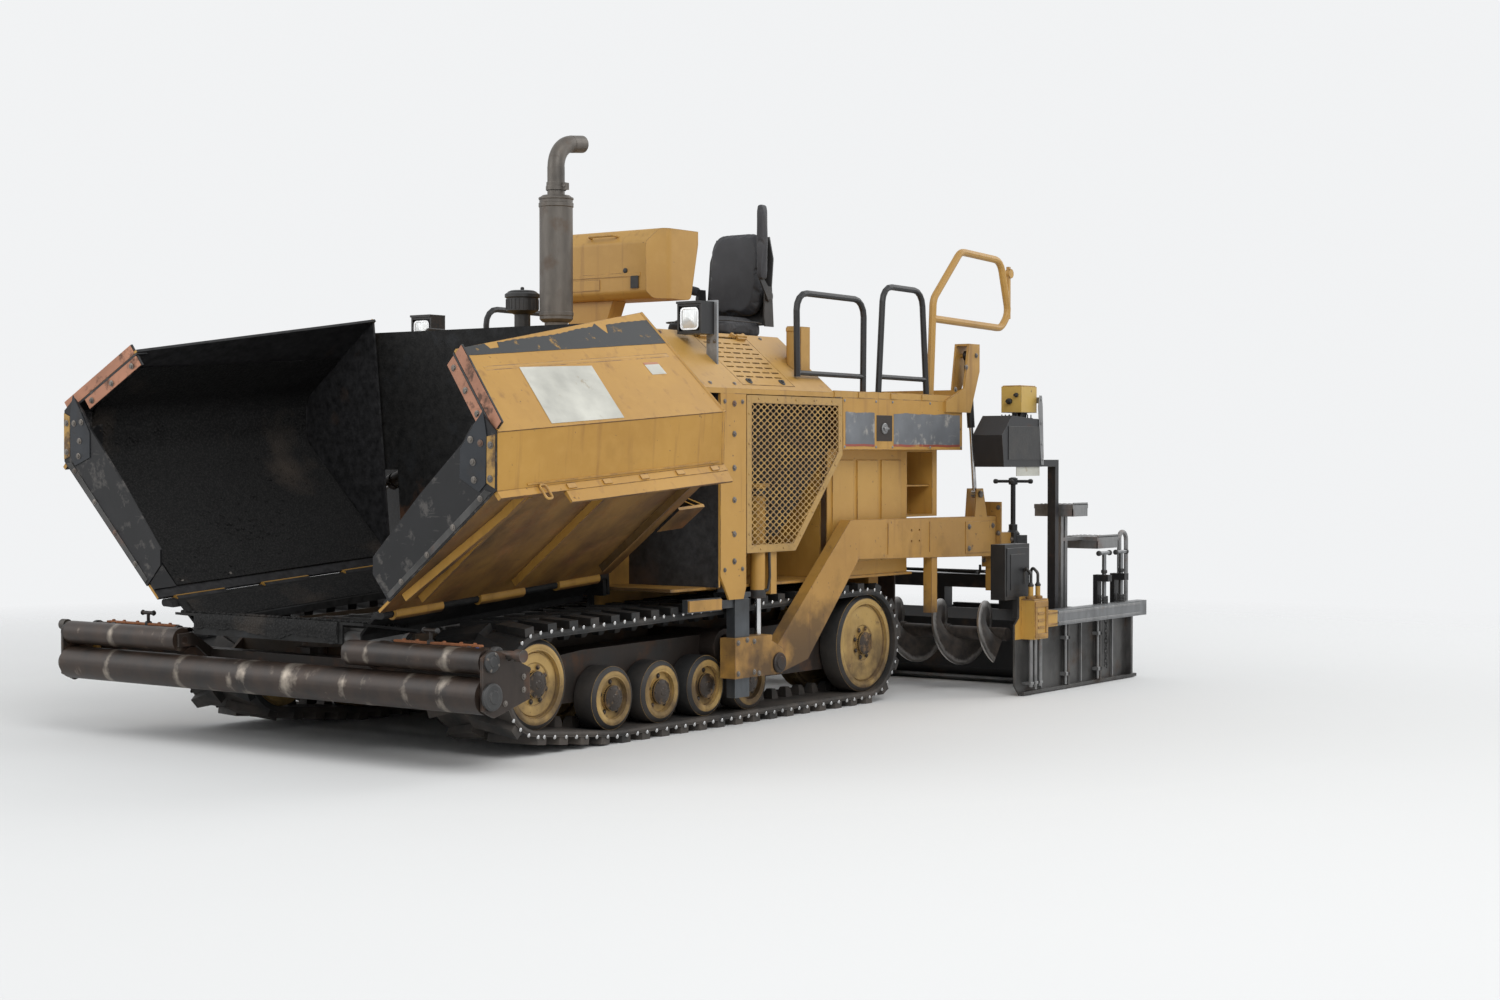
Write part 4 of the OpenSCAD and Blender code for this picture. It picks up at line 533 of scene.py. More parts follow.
class Piece:
    # gathers surfaces of one finish; make() turns them into one object that rides on a body
    def __init__(self, name, finish, body="machine", slot=None, smooth=35, replaces=()):
        self.name, self.finish, self.body, self.smooth, self.replaces = name, finish, body, smooth, replaces
        self.slot = slot or slots.get(finish, "yellow_paint")
        self.points, self.faces, self.count = [], [], 0

    def add(self, points, faces):
        self.points.append(np.asarray(points, float).reshape(-1, 3))
        faces = faces.tolist() if isinstance(faces, np.ndarray) else faces
        self.faces += [[i + self.count for i in f] for f in faces]
        self.count += len(self.points[-1])

    def make(self):
        mesh = bpy.data.meshes.new(self.name)
        mesh.from_pydata(np.concatenate(self.points).tolist(), [], self.faces)
        mesh.validate()
        mesh.shade_smooth()
        mesh.set_sharp_from_angle(angle=math.radians(self.smooth))
        mesh.materials.append(finishes[self.finish])
        piece = bpy.data.objects.new(self.name, mesh)
        bpy.context.scene.collection.objects.link(piece)
        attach(piece, self.body)
        if self.replaces:
            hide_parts(*self.replaces)

    def grid(self, points, closeU=False, closeV=False):
        # points[u, v] as one open or closed surface
        self.add(points, gridFaces(*points.shape[:2], closeU, closeV))

    def shell(self, top, back):
        # two grids joined round the rim
        nu, nv = top.shape[:2]
        one = gridFaces(nu, nv)
        ids = np.arange(nu * nv).reshape(nu, nv)
        rim = np.concatenate([ids[:-1, 0], ids[-1, :-1], ids[:0:-1, -1], ids[0, :0:-1]])
        nxt, m = np.roll(rim, -1), nu * nv
        self.add(np.concatenate([top.reshape(-1, 3), back.reshape(-1, 3)]),
            np.concatenate([one, one[:, ::-1] + m, np.stack([rim + m, nxt + m, nxt, rim], 1)]))

    def rings(self, points):
        # points[around, along] closed round and capped at both ends
        around, along = points.shape[:2]
        ids = np.arange(around) * along
        self.add(points, gridFaces(around, along, True).tolist() + [ids[::-1].tolist(),
            (ids + along - 1).tolist()])

    def tube(self, path, radius, sides=12):
        # circle of the radius carried along a path: point + r (a cos t + b sin t)
        path = np.asarray(path, float)
        a, b = crossFrame(np.gradient(path, axis=0))
        t = circle(sides)[:, None, None]
        r = np.broadcast_to(np.asarray(radius, float), len(path))[None, :, None]
        self.rings(path[None] + r * (a[None] * np.cos(t) + b[None] * np.sin(t)))

    def turn(self, origin, axis, profile, sides=24, ring=False):
        # profile of (distance along the axis, radius) turned round the axis
        axis = np.asarray(axis, float) / np.linalg.norm(axis)
        a, b = crossFrame(axis[None])
        t = circle(sides)[:, None, None]
        profile = np.asarray(profile, float)
        spokes = profile[None, :, 1:] * (a * np.cos(t) + b * np.sin(t))
        points = np.asarray(origin, float) + axis * profile[None, :, :1] + spokes
        if ring:
            self.grid(points, True, True)
        else:
            self.rings(points)

    def prism(self, outline, origin, ex, ey, depth, chamfer=0.0015):
        # outline in the plane of ex and ey, pushed out along ex x ey, its far edge chamfered
        o, ex, ey = np.asarray(outline, float), np.asarray(ex, float), np.asarray(ey, float)
        area = np.sum(o[:, 0] * np.roll(o[:, 1], -1) - np.roll(o[:, 0], -1) * o[:, 1])
        o = o if area > 0 else o[::-1]
        inset, ez = insetOutline(o, chamfer), np.cross(ex, ey)
        place = lambda p, h: np.asarray(origin, float) + p[:, :1] * ex + p[:, 1:] * ey + h * ez
        self.rings(np.stack([place(o, 0.0), place(o, depth - chamfer), place(inset, depth)], 1))

    def block(self, low, high, chamfer=0.002):
        low, high = np.asarray(low, float), np.asarray(high, float)
        s = high - low
        self.prism([(0, 0), (s[0], 0), (s[0], s[1]), (0, s[1])], low, (1, 0, 0), (0, 1, 0), s[2],
            min(chamfer, 0.4 * s.min()))

    def sideBlock(self, side, x, y, z, chamfer=0.002):
        # block between two distances from the centre line, on the left (1) or the right (-1)
        ys = sorted((side * y[0], side * y[1]))
        self.block((x[0], ys[0], z[0]), (x[1], ys[1], z[1]), chamfer)

    def sidePlate(self, side, outline, y, depth, chamfer=0.0015):
        # plate in the XZ plane that grows outward from a distance y off the centre line
        if side > 0:
            self.prism([(z, x) for x, z in outline], (0, y, 0), (0, 0, 1), (1, 0, 0), depth, chamfer)
        else:
            self.prism(outline, (0, -y, 0), (1, 0, 0), (0, 0, 1), depth, chamfer)

    def sideTurn(self, side, origin, profile, sides=24, ring=False):
        # turned outward from the left or right flank, its origin given for the left
        x, y, z = origin
        self.turn((x, side * y, z), (0, side, 0), profile, sides, ring)

    def bolts(self, side, y, spots, size):
        # bolts on an upright face at a distance from the centre line, at places (x, z)
        self.scatter(boltShape, [(x, side * y, z) for x, z in spots], (0, side, 0), size)

    def scatter(self, template, places, normals, size):
        # one small template put at every place, its axis along the normal there
        points, faces = template
        places = np.asarray(places, float).reshape(-1, 3)
        normals = np.asarray(normals, float).reshape(-1, 3)
        normals = np.broadcast_to(normals / np.linalg.norm(normals, axis=1)[:, None], places.shape)
        a, b = crossFrame(normals)
        along = points[:, 2:] * normals[:, None]
        p = places[:, None] + size * (points[:, :1] * a[:, None] + points[:, 1:2] * b[:, None] + along)
        for k in range(len(places)):
            self.add(p[k], faces)

    def loop(self, path, radius, sides=8):
        # the same tube along a closed path
        a, b = crossFrame(np.roll(path, -1, 0) - np.roll(path, 1, 0))
        t = circle(sides)[:, None, None]
        self.grid(path[None] + radius * (a[None] * np.cos(t) + b[None] * np.sin(t)), True, True)


begun = []


def begin(*words, **settings):
    # a piece that finishStage makes when its surfaces are all there
    begun.append(Piece(*words, **settings))
    return begun[-1]


def finishStage(text):
    for piece in begun:
        piece.make()
    begun.clear()
    print(text)


def circle(count):
    # angles of evenly spaced points round a circle
    return np.linspace(0, 2 * np.pi, count, endpoint=False)


def around(x, z, radius, angles):
    # places on a circle
    return [(x + radius * math.cos(t), z + radius * math.sin(t)) for t in angles]


def xyz(x, y, z):
    # points of the three coordinates, each an array or one number
    return np.stack(np.broadcast_arrays(x, y, z), -1)


def net(u, v):
    return np.meshgrid(u, v, indexing="ij")


def insetOutline(outline, d):
    # every edge of a counterclockwise outline moved inward by d
    o = np.asarray(outline, float)
    edge = np.roll(o, -1, 0) - o
    n1 = np.stack([-edge[:, 1], edge[:, 0]], 1) / np.linalg.norm(edge, axis=1)[:, None]
    n0 = np.roll(n1, 1, 0)
    return o + d * (n0 + n1) / (1 + np.sum(n0 * n1, 1))[:, None]


def gridFaces(nu, nv, closeU=False, closeV=False):
    # quads of points[u, v], their normal along dP/du x dP/dv
    i, j = net(np.arange(nu - (not closeU)), np.arange(nv - (not closeV)))
    i, j = i.ravel(), j.ravel()
    k, l = (i + 1) % nu, (j + 1) % nv
    return np.stack([i * nv + j, k * nv + j, k * nv + l, i * nv + l], 1)


def surfaceNormals(grid):
    n = np.cross(np.gradient(grid, axis=0), np.gradient(grid, axis=1))
    return n / np.maximum(np.linalg.norm(n, axis=2, keepdims=True), 1e-12)


def crossFrame(t):
    # two unit vectors across each direction, a x b = t, from the axis that is least along any of them
    t = t / np.linalg.norm(t, axis=1, keepdims=True)
    ref = np.eye(3)[np.argmin(np.abs(t).max(0))]
    a = np.cross(ref, t)
    a /= np.linalg.norm(a, axis=1, keepdims=True)
    return a, np.cross(t, a)


def facing(grid, toward):
    # the grid, turned over if its faces look away from a direction
    return grid if np.sum(surfaceNormals(grid) * np.asarray(toward, float)) > 0 else grid[::-1]


def roundPath(points, radius, steps=6):
    # polyline whose inner corners become arcs of the radius
    points = [np.asarray(p, float) for p in points]
    out = [points[0]]
    for p, q, s in zip(points, points[1:], points[2:]):
        u, v = (p - q) / np.linalg.norm(p - q), (s - q) / np.linalg.norm(s - q)
        half = math.acos(max(-1, min(1, float(u @ v)))) / 2
        cut = min(radius / math.tan(half), 0.48 * np.linalg.norm(p - q), 0.48 * np.linalg.norm(s - q))
        r = cut * math.tan(half)
        mid = q + (u + v) / np.linalg.norm(u + v) * r / math.sin(half)
        k = np.linspace(0, 1, steps)[:, None]
        span = math.pi - 2 * half
        out += list(mid + ((q + u * cut - mid) * np.sin(span * (1 - k))
            + (q + v * cut - mid) * np.sin(span * k)) / math.sin(span))
    return np.array(out + [points[-1]])


def roundedOutline(low, high, r, steps=5):
    # rectangle in the plane with quarter circles of radius r at its corners, counterclockwise
    t = np.linspace(0, np.pi / 2, steps)
    quarters = []
    for k, (cx, cy) in enumerate(((high[0] - r, high[1] - r), (low[0] + r, high[1] - r),
            (low[0] + r, low[1] + r), (high[0] - r, low[1] + r))):
        a = t + k * np.pi / 2
        quarters.append(np.stack([cx + r * np.cos(a), cy + r * np.sin(a)], 1))
    return np.concatenate(quarters)


def resample(path, count):
    # the same path with evenly spaced points
    d = np.concatenate([[0], np.cumsum(np.linalg.norm(np.diff(path, axis=0), axis=1))])
    t = np.linspace(0, d[-1], count)
    return np.stack([np.interp(t, d, path[:, k]) for k in range(path.shape[1])], 1)


def ripple(u, v, seed, octaves=5, base=1.0):
    # sine waves of random direction and phase, each octave twice as fine and half as high; about -1 to 1
    r = np.random.default_rng(seed)
    total = 0
    for k in range(octaves):
        for _ in range(3):
            w = r.normal(size=2) * base * 2 ** k
            total = total + np.sin(w[0] * u + w[1] * v + r.uniform(0, 6.28)) * 0.5 ** k
    return total / 4.5


def mergedTemplate(*parts):
    p = Piece("template", "paint")
    for profile, sides in parts:
        p.turn((0, 0, 0), (0, 0, 1), profile, sides)
    return np.concatenate(p.points), p.faces


boltShape = mergedTemplate(([(0, 1.5), (0.22, 1.5), (0.28, 1.4)], 10),
    ([(0.2, 1.0), (0.75, 1.0), (0.92, 0.8)], 6))
rivetShape = mergedTemplate(([(0, 1.0), (0.3, 0.9), (0.5, 0.6), (0.56, 0.2)], 8))
stoneShape = mergedTemplate(([(-1.0, 0.35), (-0.55, 0.86), (0.25, 1.0), (0.8, 0.62), (1.0, 0.2)], 7))


# Hopper wings, in a wing's own frame: x along the hinge, v up a plate, n into the hopper

hinge = {"x": 2.016, "y": 0.722, "z": 0.70969, "slope": 4.0, "left": 36.6, "right": 46.5}
wing = {"half": 0.784, "floor": 0.925, "facet": 0.25, "top": 0.48, "rise": 0.19, "setBack": 0.13,
    "lip": 0.7943}
plates = {"floor": (0.0, 0.0, 0.0), "facet": (wing["floor"], 0.0, 49.0),
    "top": (wing["floor"] + wing["facet"] * math.cos(math.radians(49)),
    wing["facet"] * math.sin(math.radians(49)), 98.0)}
# the ending of the names of pieces on each side, and the sign of Y there
sides = {"Left": 1, "Right": -1}


def wingPoint(side, x, y, z):
    # raised by the wing's angle about X, tipped by the hinge's slope about Y, mirrored on the right
    a, s = math.radians(hinge["left"] if side > 0 else hinge["right"]), math.radians(hinge["slope"])
    x, y, z = np.broadcast_arrays(*(np.asarray(v, float) for v in (x, y, z)))
    y1, z1 = y * math.cos(a) - z * math.sin(a), y * math.sin(a) + z * math.cos(a)
    return xyz(hinge["x"] + x * math.cos(s) + z1 * math.sin(s), side * (hinge["y"] + y1),
        hinge["z"] - x * math.sin(s) + z1 * math.cos(s))


def platePoint(side, plate, x, v, n):
    oy, oz, a = plates[plate]
    c, s = math.cos(math.radians(a)), math.sin(math.radians(a))
    v, n = np.asarray(v, float), np.asarray(n, float)
    return wingPoint(side, x, oy + v * c - n * s, oz + v * s + n * c)


def topEdge(x):
    # height of the upper plate: it rises towards the rear
    length = 2 * wing["half"] - wing["setBack"]
    return wing["top"] + np.maximum(wing["half"] - wing["setBack"] - x, 0) / length * wing["rise"]


def between(piece, top, back):
    # slab between two grids, turned so that its faces look out
    if np.sum(surfaceNormals(top) * (top - back)) < 0:
        top, back = top[::-1], back[::-1]
    piece.shell(top, back)


def slab(piece, side, plate, x, v, n1, n0):
    between(piece, platePoint(side, plate, x, v, n1), platePoint(side, plate, x, v, n0))


def pad(piece, side, plate, x, v, n, tilt=0.0):
    # slab on a wing plate; tilt moves its upper end along x
    X, V = net(x, v)
    X = X + tilt * (V - v[0])
    slab(piece, side, plate, X, V, n[1], n[0])


def frontPad(piece, side, outline, x, depth):
    # plate on the front end of a wing, its outline given across the wing as (y, z)
    o = wingPoint(side, x, 0, 0)
    ey, ez = wingPoint(side, x, 1, 0) - o, wingPoint(side, x, 0, 1) - o
    if side < 0:
        piece.prism([(b, a) for a, b in outline], o, ez, ey, depth)
    else:
        piece.prism(outline, o, ey, ez, depth)


def makeCrust(end, side):
    # asphalt stuck to floor and facet: the section with its corners filled, pushed out by a rough thickness
    section = roundPath([(0.075, 0.0145), (wing["floor"] - 0.006, 0.0145),
        (plates["top"][0] - 0.02, plates["top"][1] - 0.001),
        (plates["top"][0] - 0.07, plates["top"][1] + 0.35)], 0.16, 9)
    path = resample(section, 90)
    s, x = np.linspace(0, 1, 90), np.linspace(-0.762, 0.648, 110)
    X, S = net(x, s)
    tangent = np.gradient(path, axis=0)
    tangent /= np.linalg.norm(tangent, axis=1)[:, None]
    rough = np.clip(0.5 + 0.6 * ripple(X * 5, S * 9, 11 + side, 5), 0, 1.4)
    fade = np.clip((1 - S) / 0.22 + 0.35 * ripple(X * 9, S * 3, 5 + side), 0, 1)
    fade = fade * np.clip((X + 0.775) / 0.03, 0.1, 1)
    peaks = np.clip(ripple(X * 14, S * 26, 17 + side, 4) - 0.15, 0, 1)
    h = 0.0006 + (0.003 + 0.012 * rough + 0.01 * peaks) * fade
    y = path[None, :, 0] - tangent[None, :, 1] * h
    z = path[None, :, 1] + tangent[None, :, 0] * h
    piece = begin("asphaltCrust" + end, "asphalt", "wing_" + end.lower(), smooth=60)
    base = wingPoint(side, X, path[None, :, 0] + tangent[None, :, 1] * 0.0002,
        path[None, :, 1] - tangent[None, :, 0] * 0.0002)
    between(piece, wingPoint(side, X, y, z), base)


def makeWingFront(end, side):
    # strips, corner plate and bolts on the front end, placed along the floor, facet and upper plate
    lip = wing["lip"]
    facetAt = lambda v, n: (plates["facet"][0] + v * 0.6561 - n * 0.7547, v * 0.7547 + n * 0.6561)
    strip = begin("facetStrip" + end, "yellowWorn", "wing_" + end.lower())
    frontPad(strip, side, [facetAt(0.012, 0.004), facetAt(0.236, 0.004), facetAt(0.224, 0.048),
        facetAt(0.03, 0.048)], lip, 0.005)
    corner = begin("cornerPlate" + end, "bluedSteel", "wing_" + end.lower())
    frontPad(corner, side, [facetAt(0.026, 0.052), facetAt(0.23, 0.05), (1.088, 0.296), (1.01, 0.282),
        (0.88, 0.25), (0.8, 0.16), (0.85, 0.05)], lip, 0.005)
    floorStrip = begin("floorStrip" + end, "wear", "wing_" + end.lower())
    frontPad(floorStrip, side, [(0.125, 0.008), (0.905, 0.008), (0.88, 0.04), (0.125, 0.032)], lip, 0.004)
    # pinkish rusty strips along the slanted edge, inside and outside
    slant = begin("slantedStrips" + end, "pinkRust", "wing_" + end.lower())
    tilt = -wing["setBack"] / wing["top"]
    inner = wing["half"] - 0.002 - 0.13 / 0.48 * 0.116
    pad(slant, side, "top", (inner + 0.0003, inner + 0.004), (0.12, 0.466), (0.026, 0.081), tilt)
    outer = wing["half"] - 0.0022 - 0.13 / 0.485 * 0.015
    pad(slant, side, "top", (outer + 0.0003, outer + 0.004), (0.014, 0.464), (-0.038, 0.012), tilt * 0.99)
    bolts = begin("lipBolts" + end, "wornBolt", "wing_" + end.lower())
    forward = wingPoint(side, 1, 0, 0) - wingPoint(side, 0, 0, 0)
    spots = [(0.234, 0.022), (0.434, 0.023), (0.634, 0.024), (0.838, 0.025)]
    bolts.scatter(boltShape, [wingPoint(side, lip + 0.004, y, z) for y, z in spots], forward, 0.0095)
    spots = [(0.99, 0.2), (0.905, 0.165), (0.862, 0.105), facetAt(0.05, 0.026), facetAt(0.19, 0.026),
        (0.955, 0.245)]
    bolts.scatter(boltShape, [wingPoint(side, lip + 0.005, y, z) for y, z in spots], forward, 0.0105)
    v = np.array([0.15, 0.285, 0.42])
    bolts.scatter(boltShape, platePoint(side, "top", inner + 0.004 + tilt * (v - 0.12), v, 0.054), forward,
        0.0105)
    x = np.linspace(-0.6, 0.6, 5)
    bolts.scatter(boltShape, platePoint(side, "floor", x, 0.1, 0.0165), platePoint(side, "floor", 0, 0, 1)
        - platePoint(side, "floor", 0, 0, 0), 0.009)


def makeWingOutside(end, side):
    # pressed bead, lifting ring and tabs that both wings have outside
    bead = begin("pressedBead" + end, "paint", "wing_" + end.lower())
    X, T = net(np.linspace(0.575, -0.705, 64), np.linspace(-1, 1, 11))
    fade = np.clip((0.64 - np.abs(X + 0.065)) / 0.05, 0, 1) ** 0.5
    rise = 0.0002 + 0.0055 * np.cos(T * math.pi / 2) ** 2 * fade
    V = np.interp(X, (-0.705, 0.575), (0.378, 0.357)) + T * 0.013
    slab(bead, side, "top", X, V, -rise, 0.001)
    X, T = net(np.linspace(0.6, -0.74, 40), (0.0, 1.0))
    between(bead, platePoint(side, "facet", X, 0.01 + T * 0.006, -0.0045),
        platePoint(side, "facet", X, 0.008 + T * 0.01, 0.001))
    # rolled edge down the rear end, over the upper plate and the facet
    for plate, v0, v1 in (("top", 0.004, topEdge(-0.78) - 0.004), ("facet", 0.004, 0.246)):
        T, S = net(np.linspace(0, 1, 12), np.linspace(-1, 1, 7))
        V, lift = v0 + (v1 - v0) * T, 0.0004 + 0.0058 * np.cos(S * math.pi / 2) ** 2
        slab(bead, side, plate, -0.77 + 0.009 * S, V, -lift, 0.001)
    # raised tabs along the lower flange
    for x in (-0.72, -0.46, -0.2, 0.06, 0.3):
        X, Z = net((x, x + 0.055), (-0.03, -0.006))
        between(bead, wingPoint(side, X, wing["floor"] + 0.004, Z),
            wingPoint(side, X, wing["floor"] - 0.003, Z))
    ring = begin("liftingRing" + end, "paintHigh", "wing_" + end.lower())
    t = circle(28)
    x = 0.512 + np.sign(np.cos(t)) * 0.006 + 0.014 * np.cos(t)
    z = -0.036 + np.sign(np.sin(t)) * 0.02 + 0.016 * np.sin(t)
    path = wingPoint(side, x, wing["floor"] + 0.008, z)
    ring.loop(path, 0.0055)


def makeLeftPanels():
    # dark band along the top with its peeled edge, the bare sign and a small pale plate
    side = 1
    frac = ((0.62, 1.0), (0.457, 0.995), (0.445, 0.93), (0.385, 0.925), (0.372, 0.985), (0.259, 0.985),
        (-0.039, 0.954), (-0.218, 0.966), (-0.329, 0.961), (-0.366, 0.985), (-0.405, 0.86), (-0.44, 0.955),
        (-0.586, 0.945), (-0.779, 0.925))
    x = np.linspace(-0.775, 0.605, 190)
    top = topEdge(x) * np.interp(x, [p[0] for p in frac[::-1]], [p[1] for p in frac[::-1]])
    top = top - 0.0035 * (1 + ripple(x * 60, x * 0, 3, 4)) * (x < 0.36)
    bottom = np.interp(x, (-0.775, 0.605), (0.455, 0.438)) + 0.0015 * ripple(x * 30, x * 0, 8)
    t = np.linspace(0, 1, 5)
    X = np.repeat(x[:, None], 5, 1)
    V = bottom[:, None] + (np.maximum(top, bottom + 0.004) - bottom)[:, None] * t
    V = np.minimum(V, topEdge(X) - 0.001)
    band = begin("darkBand", "bluedPaint", "wing_left")
    slab(band, side, "top", X, V, -0.0014, -0.0002)
    sign = begin("bareSign", "signWhite", "wing_left")
    u, w = net(np.linspace(0, 1, 24), np.linspace(0, 1, 18))
    quad = np.array([(0.436, 0.013), (-0.046, 0.01), (0.36, 0.352), (-0.11, 0.335)])
    X = (quad[0, 0] * (1 - u) + quad[1, 0] * u) * (1 - w) + (quad[2, 0] * (1 - u) + quad[3, 0] * u) * w
    V = (quad[0, 1] * (1 - u) + quad[1, 1] * u) * (1 - w) + (quad[2, 1] * (1 - u) + quad[3, 1] * u) * w
    lift = 0.0018 + 0.0006 * (1 + ripple(X * 8, V * 8, 21, 3))
    slab(sign, side, "top", X, V, -lift, -0.0002)
    small = begin("palePlate", "signWhite", "wing_left")
    pad(small, side, "top", (-0.583, -0.478), (0.258, 0.322), (-0.0016, -0.0002))
    cap = begin("palePlateEdge", "pinkRust", "wing_left", slot="yellow_paint")
    pad(cap, side, "top", (-0.583, -0.478), (0.3225, 0.336), (-0.0016, -0.0002))


def makeHopper():
    for end, side in sides.items():
        makeCrust(end, side)
        makeWingFront(end, side)
        makeWingOutside(end, side)
    makeLeftPanels()
    # crust banked along the foot of the leaning wall and the side slopes
    bank = begin("bankedAsphalt", "asphalt", smooth=60)
    for side in sides.values():
        X, T = net(np.linspace(1.3, 2.7, 90), np.linspace(0, 1, 14))
        rough = np.clip(0.5 + 0.6 * ripple(X * 6, T * 3, 31 + side), 0, 1.3)
        h = 0.003 + 0.01 * rough * np.sin(T * math.pi) ** 0.5
        drop = 0.655 - (X - 2.8) * math.tan(math.radians(4))
        Y, Z = 0.655 - 0.1 * T, drop + 0.0035 - 0.091 * T
        top = xyz(X, side * (Y - h * 0.67), Z + h * 0.74)
        base = xyz(X, side * (Y - 0.0002), Z + 0.0002)
        between(bank, top, base)


def makeLumps():
    # loose lumps of mix caught in the hopper: small stones at random places just above the crust
    r = np.random.default_rng(19)
    for end, side in sides.items():
        piece = begin("looseMix" + end, "asphalt", "wing_" + end.lower(), smooth=60)
        n = 260
        x, v = r.uniform(-0.74, 0.62, n), 0.1 + 0.8 * r.beta(1.1, 1.6, n)
        piece.scatter(stoneShape, platePoint(side, "floor", x, v, 0.0205), r.normal(size=(n, 3)), 0.0105)
        n = 120
        x, v = r.uniform(-0.74, 0.6, n), r.uniform(0.01, 0.22, n)
        piece.scatter(stoneShape, platePoint(side, "facet", x, v, 0.0205), r.normal(size=(n, 3)), 0.0085)
    floor = begin("looseMixFloor", "asphalt", smooth=60)
    n = 420
    x, y = r.uniform(2.455, 2.78, n), r.uniform(-0.6, 0.6, n)
    floor.scatter(stoneShape, xyz(x, y, 0.572 + (x - 2.452) * 0.1377 + 0.004), r.normal(size=(n, 3)),
        0.0095)
    # ragged skirt of stuck mix that hangs from the apron's edge
    y = np.linspace(-0.47, 0.47, 130)
    drop = 0.055 + 0.035 * np.clip(0.5 + ripple(y * 14, y * 0, 43, 4), 0, 1.4)
    T = np.linspace(0, 1, 9)
    Y = np.repeat(y[:, None], 9, 1)
    Z = 0.6185 - drop[:, None] * T
    swell = np.sin(np.clip(T * 1.1 + 0.08, 0, 1) * np.pi)
    depth = 0.0045 + 0.006 * (1 + ripple(Y * 22, Z * 30, 44, 4)) * swell
    between(floor, xyz(2.7866 + depth, Y, Z), xyz(2.7863, Y, Z))


makeHopper()
makeLumps()
finishStage("hopper dressed")


# Machine sides: perforated panel, column, band panel, tow point

# outer face of the side panels, top of the hood, top of the deck's plate
flank, hoodTop, deckTop = 1.165, 1.985, 1.67

grille = {"outline": [(0.262, 0.866), (0.684, 0.866), (0.684, 1.656), (-0.17, 1.656), (-0.17, 1.357)],
    "pitchX": 0.053, "pitchZ": 0.033, "margin": 0.04}


def inside(points, outline):
    # True where every edge of the convex outline has the point on its left
    o = np.asarray(outline, float)
    e = np.roll(o, -1, 0) - o
    p = points[:, None] - o[None]
    return np.all(e[None, :, 0] * p[..., 1] - e[None, :, 1] * p[..., 0] > 0, axis=1)


def makeGrilles():
    # rhombus tiles with a rounded rhombus hole each, and flat margins over the cut tiles
    g = grille
    panel = begin("perforatedPanels", "mesh", smooth=30, replaces=["side_grilles"])
    rivets = begin("grilleRivets", "mesh")
    core = begin("radiatorCores", "core")
    i, j = net(np.arange(-2, 18), np.arange(0, 26))
    centres = np.concatenate([np.stack([(i + h) * g["pitchX"] - 0.1, 0.87 + (j + h) * g["pitchZ"]],
        -1).reshape(-1, 2) for h in (0, 0.5)])
    centres = centres[inside(centres, insetOutline(g["outline"], g["margin"] - 0.012))]
    a, b = g["pitchX"] / 2, g["pitchZ"] / 2
    outer = np.array([(a, 0), (a / 2, b / 2), (0, b), (-a / 2, b / 2), (-a, 0), (-a / 2, -b / 2), (0, -b),
        (a / 2, -b / 2)])
    hole = outer * np.where(np.arange(8)[:, None] % 2, 0.86, 0.72)
    y1, y0 = flank, flank - 0.0035
    loops = [(outer, y1), (hole, y1), (hole, y0), (outer, y0)]
    n, k = len(centres), np.arange(8)
    ids = np.arange(n)[:, None] * 32
    quads = np.concatenate([np.stack([ids + p * 8 + k, ids + p * 8 + (k + 1) % 8, ids + q * 8 + (k + 1) % 8,
        ids + q * 8 + k], -1).reshape(-1, 4) for p, q in ((0, 1), (1, 2), (2, 3), (3, 0))])
    o, m = insetOutline(g["outline"], 0.0), insetOutline(g["outline"], g["margin"])
    ring = np.stack([o, o, m, m], 1)
    depth = np.array([y0 - 0.0025, y1 + 0.0002, y1 + 0.0012, y0 - 0.0025])
    mid = insetOutline(g["outline"], 0.018)
    rows = []
    for p, q in zip(mid, np.roll(mid, -1, 0)):
        c = max(2, int(np.linalg.norm(q - p) / 0.15))
        rows.append(p + (q - p) * (np.arange(c)[:, None] + 0.5) / c)
    rows = np.concatenate(rows)
    for side in sides.values():
        points = np.stack([xyz(centres[:, None, 0] + r[None, :, 0], side * y,
            centres[:, None, 1] + r[None, :, 1]) for r, y in loops], 1)
        panel.add(points, quads[:, ::-1] if side > 0 else quads)
        margin = xyz(ring[..., 0], side * depth, ring[..., 1])
        panel.grid(margin[::-1] if side > 0 else margin, True, True)
        panel.sideBlock(side, (0.64, 0.684), (1.105, 1.1585), (0.866, 0.88))
        panel.sideBlock(side, (0.676, 0.684), (1.105, 1.1585), (0.882, 1.6595))
        rivets.scatter(rivetShape, xyz(rows[:, 0], side * (flank + 0.001), rows[:, 1]), (0, side, 0),
            0.0065)
        core.sidePlate(side, [(0.325, 0.94), (0.66, 0.94), (0.66, 1.64), (-0.15, 1.64), (-0.15, 1.4)],
            1.088, 0.012)


def makeColumn(end, side):
    # bolts down the column and the bar across its foot
    piece = begin("columnBolts" + end, "wornBolt")
    z = (1.61, 1.46, 1.292, 1.134, 0.965, 0.83)
    piece.bolts(side, flank, product((0.79,), z), 0.0105)
    piece.bolts(side, flank, product((0.722, 0.868), (0.79, 1.62)), 0.008)
    lower = begin("footBar" + end, "paintLow")
    lower.sideBlock(side, (0.884, 1.146), (1.1505, 1.16), (0.596, 0.65))


